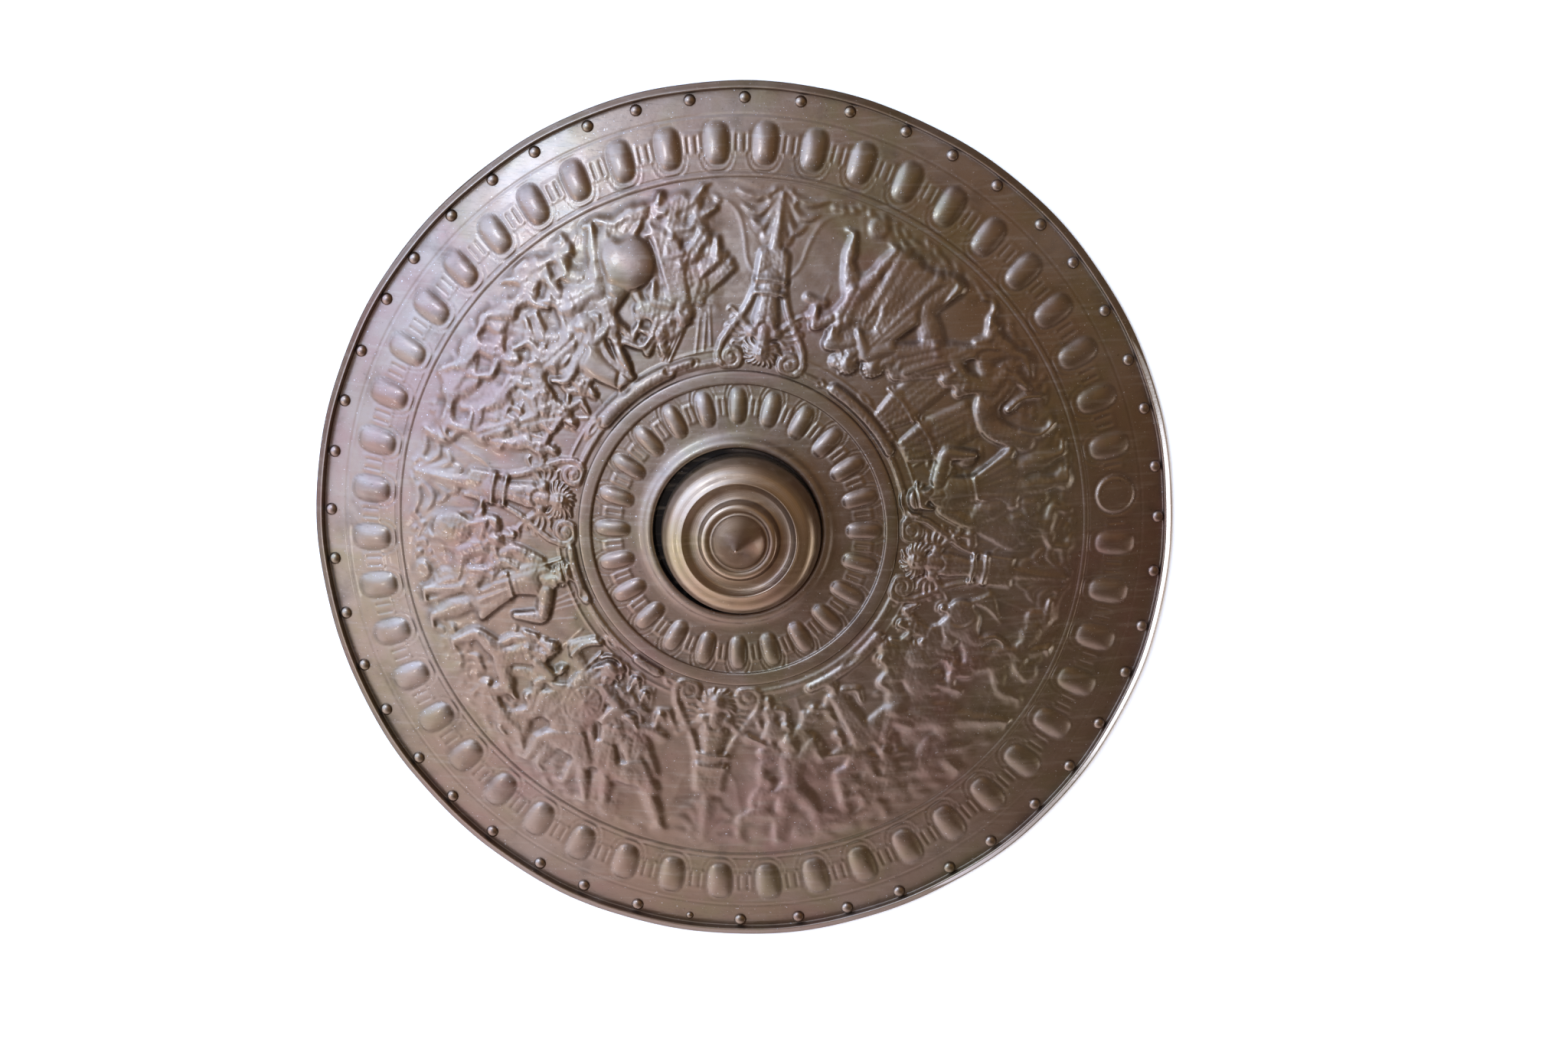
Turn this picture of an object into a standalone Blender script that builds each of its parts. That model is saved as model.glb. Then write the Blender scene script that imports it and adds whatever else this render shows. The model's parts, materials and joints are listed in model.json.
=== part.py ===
"""A round embossed parade buckler, lying on its rim with the boss upwards.

The dished plate carries a rolled rim, two rings of embossed eggs and a figured band between them.
Forty-eight rivets pass through its border, and a turned, hollow boss stands in its collar.
All sizes are in metres. Bearings are in degrees, clockwise from +Y as seen from the front.
"""

from dataclasses import dataclass
from math import atan, cos, hypot, pi, radians, sin, sqrt

import bmesh
import bpy
from mathutils import Matrix, Vector
from mathutils.geometry import delaunay_2d_cdt

MM = 0.001

# Plate
SHIELD_RADIUS = 280.0 * MM
DISH_DEPTH = 69.0 * MM
WALL = 1.6 * MM
LIP_WIDTH = 5.5 * MM
LIP_HEIGHT = 4.5 * MM
LIP_ROUND = 1.3 * MM
FIT_GAP = 0.3 * MM

# Riveted border
RIVET_COUNT = 48
RIVET_FIRST_BEARING = 0.2
RIVET_INSET = 10.0 * MM
RIVET_HEAD_RADIUS = 4.1 * MM
RIVET_HEAD_HEIGHT = 3.1 * MM
RIVET_UNDERCUT = 0.25 * MM
RIVET_SHANK_RADIUS = 1.5 * MM
RIVET_TAIL = 0.9 * MM
RIVET_WANDER = 0.35
WORN_RIVET = 25
WORN_SHARE = 0.62

# Outer ring of eggs
EGG_COUNT = 48
EGG_FIRST_BEARING = 3.6
EGG_INSET = 37.0 * MM
EGG_LENGTH = 23.5 * MM
EGG_WIDTH = 16.0 * MM
EGG_HEIGHT = 3.2 * MM
MEDALLION = 11
MEDALLION_RADIUS = 12.0 * MM
MEDALLION_HEIGHT = 1.4 * MM

# Figured band and the fillets on either side of it
OUTER_FILLET_INSET = 54.0 * MM
OUTER_FILLET_WIDTH = 5.0 * MM
OUTER_FILLET_HEIGHT = 0.9 * MM
INNER_RING_RADIUS = 104.0 * MM
INNER_RING_WIDTH = 9.0 * MM
INNER_RING_HEIGHT = 1.8 * MM
FILLET_SLOPE = 1.4 * MM

# Inner ring of eggs
SMALL_EGG_COUNT = 24
SMALL_EGG_RADIUS = 81.5 * MM
SMALL_EGG_LENGTH = 22.0 * MM
SMALL_EGG_WIDTH = 11.5 * MM
SMALL_EGG_HEIGHT = 3.0 * MM

# Collar round the boss
STEP_RADIUS = 66.5 * MM
STEP_HEIGHT = 1.0 * MM
COLLAR_RADIUS = 54.8 * MM
COLLAR_WIDTH = 4.2 * MM
COLLAR_HEIGHT = 3.2 * MM
RECESS_DEPTH = 8.0 * MM
LEDGE_WIDTH = 10.5 * MM

# Boss
BOSS_CLEARANCE = 3.2 * MM
BOSS_SHIFT = (2.6 * MM, -0.9 * MM)
BOSS_WALL = 1.8 * MM
SKIRT_HEIGHT = 10.0 * MM
SHOULDER_RADIUS = 37.8 * MM
SHOULDER_RISE = 24.0 * MM
SAUCER_SINK = 3.4 * MM
BEAD_RADIUS = 26.0 * MM
BEAD_RISE = 5.5 * MM
SPIKE_RADIUS = 17.4 * MM
SPIKE_RISE = 32.0 * MM
SPIKE_TIP = 0.9 * MM

# Fineness of the faceted solids
RIM_SIDES = 64
BACK_SIDES = 32
RING_SIDES = 36
BOSS_SIDES = 24
RIVET_SIDES = 6
SHANK_SIDES = 4
SHARP_ANGLE = 16.0
MERGE_DISTANCE = 0.25 * MM

# Relief in the figured band, above the plate
BODY_RELIEF = 5.2 * MM
LIMB_RELIEF = 3.8 * MM
STRAP_RELIEF = 1.8 * MM
TERM_BEARINGS = (7.6, 100.0, 187.0, 278.0)
# The straps between two terms: points along each, and the bearing left free beside a term
STRAP_COUNT = 5
STRAP_CLEAR_BEARING = 19.0


@dataclass(frozen=True)
class Pose:
    """A figure that faces its own right, with every point a share of its height."""

    hips: tuple
    chest: tuple
    head: tuple
    hands: tuple
    feet: tuple


POSES = {
    "stand": Pose(
        hips=(0.0, 0.52), chest=(0.0, 0.78), head=(0.02, 0.93),
        hands=((-0.17, 0.50), (0.20, 0.58)), feet=((-0.09, 0.0), (0.11, 0.0)),
    ),
    "stride": Pose(
        hips=(0.0, 0.49), chest=(0.05, 0.75), head=(0.09, 0.90),
        hands=((-0.25, 0.60), (0.30, 0.74)), feet=((-0.24, 0.0), (0.17, 0.0)),
    ),
    "lunge": Pose(
        hips=(0.0, 0.41), chest=(0.14, 0.64), head=(0.24, 0.79),
        hands=((-0.12, 0.44), (0.44, 0.72)), feet=((-0.36, 0.0), (0.24, 0.0)),
    ),
    "strike": Pose(
        hips=(0.0, 0.50), chest=(0.03, 0.76), head=(0.07, 0.91),
        hands=((-0.17, 1.02), (0.27, 0.62)), feet=((-0.18, 0.0), (0.18, 0.0)),
    ),
    "kneel": Pose(
        hips=(0.0, 0.34), chest=(0.08, 0.60), head=(0.15, 0.77),
        hands=((-0.08, 0.34), (0.34, 0.50)), feet=((-0.30, 0.0), (0.20, 0.0)),
    ),
    "fallen": Pose(
        hips=(0.0, 0.12), chest=(-0.27, 0.17), head=(-0.43, 0.20),
        hands=((-0.42, 0.02), (-0.12, 0.40)), feet=((0.44, 0.03), (0.36, 0.30)),
    ),
    "rider": Pose(
        hips=(0.0, 0.45), chest=(0.05, 0.72), head=(0.09, 0.88),
        hands=((-0.22, 0.86), (0.26, 0.62)), feet=((0.10, 0.06), (0.19, 0.10)),
    ),
}


@dataclass(frozen=True)
class Man:
    """One figure: its pose, where its ground point is, and its height.

    Ground and height are shares of the figured band's width, ground from the band's outer edge.
    """

    pose: str
    bearing: float
    ground: float
    height: float
    faces: int = 1


@dataclass(frozen=True)
class Horse:
    """One horse, with its length a share of the band's width and its body tipped up by rear degrees."""

    bearing: float
    ground: float
    length: float
    faces: int = 1
    rear: float = 0.0


@dataclass(frozen=True)
class Disc:
    """A round or oval shield, with its radii shares of the band's width."""

    bearing: float
    ground: float
    wide: float
    tall: float


MEN = (
    Man("stand", 24.5, 0.19, 0.58, -1),
    Man("stride", 35.5, 0.12, 0.80, -1),
    Man("lunge", 45.0, 0.12, 0.74, 1),
    Man("kneel", 60.0, 0.14, 0.56, -1),
    Man("stand", 80.5, 0.06, 0.84, -1),
    Man("strike", 112.5, 0.10, 0.62, 1),
    Man("rider", 124.0, 0.42, 0.50, 1),
    Man("fallen", 139.0, 0.06, 0.62, 1),
    Man("stride", 150.5, 0.22, 0.66, 1),
    Man("strike", 166.5, 0.07, 0.80, -1),
    Man("lunge", 203.5, 0.10, 0.70, 1),
    Man("strike", 217.5, 0.12, 0.80, 1),
    Man("kneel", 238.0, 0.10, 0.70, -1),
    Man("stand", 254.5, 0.08, 0.86, 1),
    Man("fallen", 291.5, 0.10, 0.60, 1),
    Man("lunge", 303.0, 0.10, 0.66, 1),
    Man("kneel", 316.0, 0.09, 0.72, -1),
    Man("rider", 331.5, 0.50, 0.48, -1),
    Man("strike", 346.5, 0.16, 0.74, -1),
)
HORSES = (
    Horse(124.0, 0.30, 0.62, 1, 10.0),
    Horse(331.0, 0.34, 0.66, -1, 34.0),
)
DISCS = (
    Disc(86.5, 0.58, 0.12, 0.15),
    Disc(117.0, 0.62, 0.11, 0.11),
    Disc(224.0, 0.50, 0.16, 0.19),
    Disc(267.0, 0.24, 0.17, 0.21),
    Disc(352.5, 0.30, 0.11, 0.13),
)


def polar(bearing, radius):
    """Plan point at a bearing in degrees and a radius."""
    return Vector((radius * sin(radians(bearing)), radius * cos(radians(bearing))))


def lip_foot_radius():
    """Radius where the border meets the rolled rim."""
    return SHIELD_RADIUS - LIP_WIDTH


def band_outer_radius():
    """Outer edge of the figured band."""
    return SHIELD_RADIUS - OUTER_FILLET_INSET - OUTER_FILLET_WIDTH


def band_width():
    """Width of the figured band between its fillets."""
    return band_outer_radius() - INNER_RING_RADIUS


def dome_rate():
    """Coefficient of the parabolic dome that runs on as a straight border from the band's edge."""
    turn = band_outer_radius()
    return DISH_DEPTH / (2 * turn * lip_foot_radius() - turn**2)


def border_slope():
    """Fall of the straight border for each metre outwards."""
    return 2 * dome_rate() * band_outer_radius()


def wall_drop():
    """Vertical distance through the wall on the straight border."""
    return WALL / cos(atan(border_slope()))


def front_level(radius):
    """Height of the plate's front, without mouldings."""
    if radius < band_outer_radius():
        return wall_drop() + DISH_DEPTH - dome_rate() * radius**2
    return wall_drop() + border_slope() * max(lip_foot_radius() - radius, 0.0)


def back_level(radius):
    """Height of the plate's back."""
    return front_level(radius) - wall_drop()


def mouldings():
    """Stations of the turned mouldings, as (radius, height above the plate), from the collar outwards."""
    collar_outer = COLLAR_RADIUS + COLLAR_WIDTH
    ring_inner = INNER_RING_RADIUS - INNER_RING_WIDTH
    fillet_outer = band_outer_radius() + OUTER_FILLET_WIDTH
    return (
        (COLLAR_RADIUS, COLLAR_HEIGHT),
        (collar_outer - COLLAR_WIDTH / 3, COLLAR_HEIGHT),
        (collar_outer, STEP_HEIGHT),
        (STEP_RADIUS, STEP_HEIGHT),
        (STEP_RADIUS + STEP_HEIGHT, 0.0),
        (ring_inner, 0.0),
        (ring_inner + FILLET_SLOPE, INNER_RING_HEIGHT),
        (INNER_RING_RADIUS - FILLET_SLOPE, INNER_RING_HEIGHT),
        (INNER_RING_RADIUS, 0.0),
        (band_outer_radius(), 0.0),
        (band_outer_radius() + OUTER_FILLET_WIDTH / 2, OUTER_FILLET_HEIGHT),
        (fillet_outer, 0.0),
        (lip_foot_radius(), 0.0),
        (SHIELD_RADIUS - LIP_ROUND, LIP_HEIGHT),
        (SHIELD_RADIUS, LIP_HEIGHT - LIP_ROUND),
    )


def moulding_level(radius, stations):
    """Height of the mouldings above the plate at a radius, straight between stations."""
    for (r0, h0), (r1, h1) in zip(stations, stations[1:]):
        if radius <= r1:
            share = max(radius - r0, 0.0) / (r1 - r0)
            return h0 + (h1 - h0) * share
    return stations[-1][1]


class Ribbon:
    """A raised ridge along a spine, with a half-width and a height at each spine point.

    An end with no width is a point at plate level. A blunt end belongs inside a higher shape.
    """

    def __init__(self, spine, widths, heights):
        self.spine = [Vector(p) for p in spine]
        self.widths = widths
        self.heights = [height if width else 0.0 for width, height in zip(widths, heights)]

    def outline(self):
        """Closed outline at the foot of the ridge."""
        left, right = [], []
        for i, point in enumerate(self.spine):
            along = self.spine[min(i + 1, len(self.spine) - 1)] - self.spine[max(i - 1, 0)]
            across = Vector((-along.y, along.x)).normalized() * self.widths[i]
            right.append(point - across)
            if self.widths[i]:
                left.append(point + across)
        return right + left[::-1]

    def lines(self):
        """Lines that the ridge needs in the skin: closed ones, then open ones."""
        return [self.outline()], [self.spine]

    def level(self, point):
        """Height of the sloping sides above the plate at a plan point."""
        highest = 0.0
        for i, (a, b) in enumerate(zip(self.spine, self.spine[1:])):
            side = b - a
            share = min(max((point - a).dot(side) / side.length_squared, 0.0), 1.0)
            width = self.widths[i] + (self.widths[i + 1] - self.widths[i]) * share
            height = self.heights[i] + (self.heights[i + 1] - self.heights[i]) * share
            off = (point - a - side * share).length
            if off < width:
                highest = max(highest, height * (1 - off / width))
        return highest


class Dome:
    """A raised oval with a flat crown or a peak, for shields, heads, volutes and the medallion."""

    def __init__(self, centre, half_length, half_width, height, along, sides=6, crown=0.0):
        self.centre = Vector(centre)
        self.half_length = half_length
        self.half_width = half_width
        self.height = height
        self.along = Vector(along).normalized()
        self.across = Vector((-self.along.y, self.along.x))
        self.sides = sides
        self.crown = crown

    def ring(self, share):
        """Points of the oval at a share of its size."""
        points = []
        for i in range(self.sides):
            angle = 2 * pi * (i + 0.5) / self.sides
            out = self.along * self.half_length * cos(angle) + self.across * self.half_width * sin(angle)
            points.append(self.centre + out * share)
        return points

    def lines(self):
        """Lines that the oval needs in the skin: closed ones, then open ones."""
        if self.crown:
            return [self.ring(1.0), self.ring(self.crown)], []
        return [self.ring(1.0)], [[self.centre]]

    def level(self, point):
        """Height above the plate at a plan point."""
        off = point - self.centre
        share = hypot(off.dot(self.along) / self.half_length, off.dot(self.across) / self.half_width)
        return self.height * min(max((1 - share) / (1 - self.crown), 0.0), 1.0)


class Place:
    """A local plan frame: x along the bearing, y towards the centre of the shield."""

    def __init__(self, bearing, radius, faces=1, turn=0.0):
        self.origin = polar(bearing, radius)
        self.inward = -self.origin.normalized()
        self.along = Vector((-self.inward.y, self.inward.x)) * faces
        self.turn = radians(turn)

    def at(self, x, y):
        """Plan point of a local point, in metres."""
        c, s = cos(self.turn), sin(self.turn)
        return self.origin + self.along * (x * c - y * s) + self.inward * (x * s + y * c)


def bent(a, b, first, second, side):
    """Joint of a two-part limb from a to b, bent to one side where the limb is longer than its reach."""
    reach = b - a
    length = max(reach.length, 1e-6)
    near = (first**2 - second**2 + length**2) / (2 * length)
    out = sqrt(max(first**2 - near**2, 0.0))
    if out == 0.0:
        near = length * first / (first + second)
    unit = reach / length
    return a + unit * near + Vector((-unit.y, unit.x)) * out * side


def man_shapes(man):
    """Head, trunk, arms and legs of a figure."""
    size = man.height * band_width()
    place = Place(man.bearing, band_outer_radius() - man.ground * band_width(), man.faces)
    pose = POSES[man.pose]
    hips, chest, head = (Vector(p) for p in (pose.hips, pose.chest, pose.head))
    spine = chest - hips

    def put(spine_points, widths, heights):
        points = [place.at(p.x * size, p.y * size) for p in spine_points]
        return Ribbon(points, [w * size for w in widths], heights)

    trunk = [hips - spine * 0.35, hips, chest, chest.lerp(head, 0.6)]
    shapes = [put(trunk, (0.0, 0.09, 0.11, 0.0), [BODY_RELIEF] * 4)]
    hands, feet = [Vector(p) for p in pose.hands], [Vector(p) for p in pose.feet]
    elbows = [bent(chest, hand, 0.20, 0.17, side) for hand, side in zip(hands, (-1, 1))]
    knees = [bent(hips, foot, 0.28, 0.28, 1) for foot in feet]
    arms = [hands[0], elbows[0], chest, elbows[1], hands[1]]
    legs = [feet[0], knees[0], hips, knees[1], feet[1]]
    shapes.append(put(arms, (0.0, 0.055, 0.06, 0.055, 0.0), [LIMB_RELIEF] * 5))
    shapes.append(put(legs, (0.0, 0.07, 0.09, 0.07, 0.0), [LIMB_RELIEF] * 5))
    up = place.at(0.0, size) - place.at(0.0, 0.0)
    middle = place.at(head.x * size, head.y * size)
    shapes.append(Dome(middle, 0.09 * size, 0.075 * size, BODY_RELIEF, up))
    return shapes


def horse_shapes(horse):
    """Barrel, neck, head, tail and four legs of a horse."""
    size = horse.length * band_width()
    radius = band_outer_radius() - horse.ground * band_width()
    place = Place(horse.bearing, radius, horse.faces, horse.rear)
    body, limb = BODY_RELIEF, LIMB_RELIEF
    taper = (0.0, 0.055, 0.09, 0.055, 0.0)
    parts = (
        (((-0.50, 0.02), (-0.28, 0.04), (0.24, 0.05), (0.40, 0.12)), (0.0, 0.20, 0.17, 0.0), body),
        (((0.26, 0.10), (0.46, 0.42), (0.68, 0.24)), (0.14, 0.09, 0.0), body),
        (((-0.38, -0.56), (-0.32, -0.26), (-0.28, 0.0), (-0.12, -0.28), (-0.16, -0.56)), taper, limb),
        (((0.30, -0.48), (0.38, -0.24), (0.24, -0.04), (0.38, -0.10), (0.54, -0.32)), taper, limb),
        (((-0.42, 0.10), (-0.58, 0.0), (-0.66, -0.26)), (0.04, 0.06, 0.0), limb),
    )
    shapes = []
    for spine, widths, height in parts:
        points = [place.at(x * size, y * size) for x, y in spine]
        shapes.append(Ribbon(points, [w * size for w in widths], [height] * len(spine)))
    return shapes


def disc_shape(disc):
    """A shield held or lying in the fight."""
    width = band_width()
    middle = polar(disc.bearing, band_outer_radius() - disc.ground * width)
    return Dome(middle, disc.tall * width, disc.wide * width, BODY_RELIEF, middle, 8, 0.3)


def term_shapes(bearing):
    """A bound half-figure on a tapering shaft, between two scrolled straps."""
    width = band_width()
    place = Place(bearing, band_outer_radius())
    body, limb, flat = BODY_RELIEF, LIMB_RELIEF, STRAP_RELIEF

    def put(spine, widths, height):
        points = [place.at(x * width, y * width) for x, y in spine]
        return Ribbon(points, [w * width for w in widths], [height] * len(spine))

    up = place.at(0.0, width) - place.at(0.0, 0.0)
    shapes = [
        put(((0.0, 0.06), (0.0, 0.14), (0.0, 0.70), (0.0, 0.84)), (0.0, 0.07, 0.13, 0.0), body),
        put(((-0.24, 0.66), (0.0, 0.75), (0.24, 0.66)), (0.0, 0.09, 0.0), limb),
        Dome(place.at(0.0, 0.88 * width), 0.09 * width, 0.075 * width, body, up),
    ]
    for side in (-1, 1):
        strap = ((side * 0.28, 0.82), (side * 0.22, 0.56), (side * 0.07, 0.24))
        shapes.append(put(strap, (0.04, 0.04, 0.0), flat))
        shapes.append(Dome(place.at(side * 0.25 * width, 0.88 * width), 0.08 * width, 0.08 * width, flat, up))
    return shapes


def strap_shapes():
    """Straps that run beside the inner ring from one term to the next."""
    shapes = []
    bearings = [*TERM_BEARINGS, TERM_BEARINGS[0] + 360.0]
    for start, end in zip(bearings, bearings[1:]):
        spine = []
        for i in range(STRAP_COUNT):
            share = i / (STRAP_COUNT - 1)
            sag = 0.05 + 0.03 * sin(pi * share)
            radius = INNER_RING_RADIUS + sag * band_width()
            spine.append(polar(start + STRAP_CLEAR_BEARING + (end - start - 2 * STRAP_CLEAR_BEARING) * share, radius))
        inner = [0.032 * band_width()] * (STRAP_COUNT - 2)
        shapes.append(Ribbon(spine, [0.0, *inner, 0.0], [STRAP_RELIEF] * STRAP_COUNT))
    return shapes


def egg(bearing, radius, length, width, height):
    """One embossed egg, with its length along the shield's radius."""
    stations = (-0.5 * length, -0.5 * length + 0.55 * width, 0.5 * length - 0.45 * width, 0.5 * length)
    return Ribbon(
        [polar(bearing, radius + s) for s in stations],
        (0.0, 0.44 * width, 0.5 * width, 0.0),
        (0.0, height, height, 0.0),
    )


def egg_shapes():
    """Embossed eggs of the outer and inner rings; one outer egg is a flat round medallion."""
    shapes = []
    radius = SHIELD_RADIUS - EGG_INSET
    for i in range(EGG_COUNT):
        bearing = EGG_FIRST_BEARING + 360.0 * i / EGG_COUNT
        if i == MEDALLION:
            middle = polar(bearing, radius)
            shapes.append(Dome(middle, MEDALLION_RADIUS, MEDALLION_RADIUS, MEDALLION_HEIGHT, middle, 10, 0.8))
        else:
            shapes.append(egg(bearing, radius, EGG_LENGTH, EGG_WIDTH, EGG_HEIGHT))
    for i in range(SMALL_EGG_COUNT):
        bearing = 360.0 * i / SMALL_EGG_COUNT
        shapes.append(egg(bearing, SMALL_EGG_RADIUS, SMALL_EGG_LENGTH, SMALL_EGG_WIDTH, SMALL_EGG_HEIGHT))
    return shapes


def figure_shapes():
    """All the raised shapes of the figured band."""
    shapes = []
    for bearing in TERM_BEARINGS:
        shapes += term_shapes(bearing)
    shapes += strap_shapes()
    for horse in HORSES:
        shapes += horse_shapes(horse)
    for man in MEN:
        shapes += man_shapes(man)
    shapes += [disc_shape(disc) for disc in DISCS]
    return shapes


class Skin:
    """One face of the plate, drawn in plan as points and lines and then cut into triangles."""

    def __init__(self):
        self.points = []
        self.lines = []
        self.holes = []

    def loop(self, points, hole=False):
        """Adds a closed line. A hole is left open. Returns the indices of its points."""
        first = len(self.points)
        self.points += [Vector(p) for p in points]
        index = list(range(first, len(self.points)))
        self.lines += list(zip(index, index[1:] + index[:1]))
        if hole:
            self.holes.append(set(index))
        return index

    def path(self, points):
        """Adds an open line."""
        first = len(self.points)
        self.points += [Vector(p) for p in points]
        self.lines += [(i, i + 1) for i in range(first, len(self.points) - 1)]

    def circle(self, radius, sides, hole=False):
        """Adds a circle as a closed line."""
        return self.loop([polar(360.0 * i / sides, radius) for i in range(sides)], hole)

    def shape(self, shape):
        """Adds the lines of a ribbon or a dome."""
        closed, opened = shape.lines()
        for points in closed:
            self.loop(points)
        for points in opened:
            self.path(points)

    def mesh(self, bm, level):
        """Makes the triangles in bm, at the heights that level gives.

        Returns the vertex made for each drawn point.
        """
        made, _, faces, sources, _, _ = delaunay_2d_cdt(self.points, self.lines, [], 0, MERGE_DISTANCE)
        vertices = [bm.verts.new((p.x, p.y, level(p))) for p in made]
        vertex_of = {source: vertices[i] for i, group in enumerate(sources) for source in group}
        drawn = [set(group) for group in sources]
        for face in faces:
            if not any(all(drawn[i] & hole for i in face) for hole in self.holes):
                bm.faces.new([vertices[i] for i in face])
        return vertex_of


def bridge(bm, first, second):
    """Closes the strip between two rings of as many vertices."""
    for i in range(len(first)):
        j = (i + 1) % len(first)
        bm.faces.new((first[i], first[j], second[j], second[i]))


def ring(bm, radius, level, sides):
    """A ring of vertices at one height."""
    points = (polar(360.0 * i / sides, radius) for i in range(sides))
    return [bm.verts.new((p.x, p.y, level)) for p in points]


def rivet_bearings():
    """Bearings of the rivets, which the maker set out by eye."""
    spacing = 360.0 / RIVET_COUNT
    return [RIVET_FIRST_BEARING + spacing * i + RIVET_WANDER * sin(2.4 * i) for i in range(RIVET_COUNT)]


def rivet_frame(bearing):
    """Frame of a rivet: its seat on the plate's front, with z square to the border."""
    radius = SHIELD_RADIUS - RIVET_INSET
    seat = polar(bearing, radius)
    out = Vector((seat.x, seat.y, 0.0)).normalized()
    tilt = atan(border_slope())
    axis = out * sin(tilt) + Vector((0.0, 0.0, cos(tilt)))
    fall = out * cos(tilt) - Vector((0.0, 0.0, sin(tilt)))
    side = axis.cross(fall)
    frame = Matrix((fall, side, axis)).transposed().to_4x4()
    frame.translation = (seat.x, seat.y, front_level(radius))
    return frame


def rivet_hole(bearing, depth):
    """Plan outline of a rivet's hole at a depth below the front."""
    frame = rivet_frame(bearing)
    radius = RIVET_SHANK_RADIUS + FIT_GAP
    points = []
    for i in range(SHANK_SIDES):
        angle = 2 * pi * i / SHANK_SIDES
        point = frame @ Vector((radius * cos(angle), radius * sin(angle), -depth))
        points.append(Vector((point.x, point.y)))
    return points


def front_skin(bm):
    """Front of the plate with its mouldings, eggs and figures. Returns its edge rings and the rivet holes."""
    skin = Skin()
    stations = mouldings()
    rims = {}
    for radius, _ in stations:
        sides = RIM_SIDES if radius >= band_outer_radius() else RING_SIDES
        rims[radius] = skin.circle(radius, sides, hole=radius == COLLAR_RADIUS)
    holes = [skin.loop(rivet_hole(bearing, 0.0), hole=True) for bearing in rivet_bearings()]
    eggs, figures = egg_shapes(), figure_shapes()
    for shape in eggs + figures:
        skin.shape(shape)
    for share in (0.3, 0.7):
        for i in range(RING_SIDES):
            point = polar(360.0 * (i + share) / RING_SIDES, INNER_RING_RADIUS + band_width() * share)
            if all(shape.level(point) == 0.0 for shape in figures):
                skin.path([point])

    def level(point):
        radius = point.length
        inside = INNER_RING_RADIUS < radius < band_outer_radius()
        shapes = figures if inside else eggs
        relief = max(shape.level(point) for shape in shapes)
        return front_level(radius) + moulding_level(radius, stations) + relief

    vertex_of = skin.mesh(bm, level)
    outer = [vertex_of[i] for i in rims[SHIELD_RADIUS]]
    inner = [vertex_of[i] for i in rims[COLLAR_RADIUS]]
    return outer, inner, [[vertex_of[i] for i in hole] for hole in holes]


def back_skin(bm):
    """Plain back of the plate. Returns its edge rings and the rivet holes."""
    skin = Skin()
    outer = skin.circle(lip_foot_radius(), RIM_SIDES)
    for share in (0.0, 0.35, 0.7, 1.0):
        skin.circle(INNER_RING_RADIUS + band_width() * share, BACK_SIDES)
    inner = skin.circle(COLLAR_RADIUS + WALL, RING_SIDES, hole=True)
    holes = [skin.loop(rivet_hole(bearing, WALL), hole=True) for bearing in rivet_bearings()]
    vertex_of = skin.mesh(bm, lambda point: back_level(min(point.length, lip_foot_radius())))
    outer = [vertex_of[i] for i in outer]
    inner = [vertex_of[i] for i in inner]
    return outer, inner, [[vertex_of[i] for i in hole] for hole in holes]


def ledge_level():
    """Height of the ledge that the boss stands on."""
    return front_level(COLLAR_RADIUS) + COLLAR_HEIGHT - RECESS_DEPTH


def make_plate(material):
    """The dished, embossed plate as one closed solid."""
    bm = bmesh.new()
    outer_front, inner_front, holes_front = front_skin(bm)
    outer_back, inner_back, holes_back = back_skin(bm)
    floor_edge = ring(bm, SHIELD_RADIUS - LIP_ROUND, 0.0, RIM_SIDES)
    bridge(bm, outer_front, floor_edge)
    bridge(bm, floor_edge, outer_back)
    hole_radius = COLLAR_RADIUS - LEDGE_WIDTH
    recess = [
        inner_front,
        ring(bm, COLLAR_RADIUS, ledge_level(), RING_SIDES),
        ring(bm, hole_radius, ledge_level(), RING_SIDES),
        ring(bm, hole_radius, ledge_level() - WALL, RING_SIDES),
        ring(bm, COLLAR_RADIUS + WALL, ledge_level() - WALL, RING_SIDES),
        inner_back,
    ]
    for first, second in zip(recess, recess[1:]):
        bridge(bm, first, second)
    for front, back in zip(holes_front, holes_back):
        bridge(bm, front, back)
    return solid("shield_plate", bm, material)


def ovolo(share, inset):
    """Point of the boss's convex side, from its foot at share 0 to its shoulder at share 1."""
    across = COLLAR_RADIUS - BOSS_CLEARANCE - SHOULDER_RADIUS - inset
    angle = pi / 2 * share
    return SHOULDER_RADIUS + across * cos(angle), SKIRT_HEIGHT + (SHOULDER_RISE - inset) * sin(angle)


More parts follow.
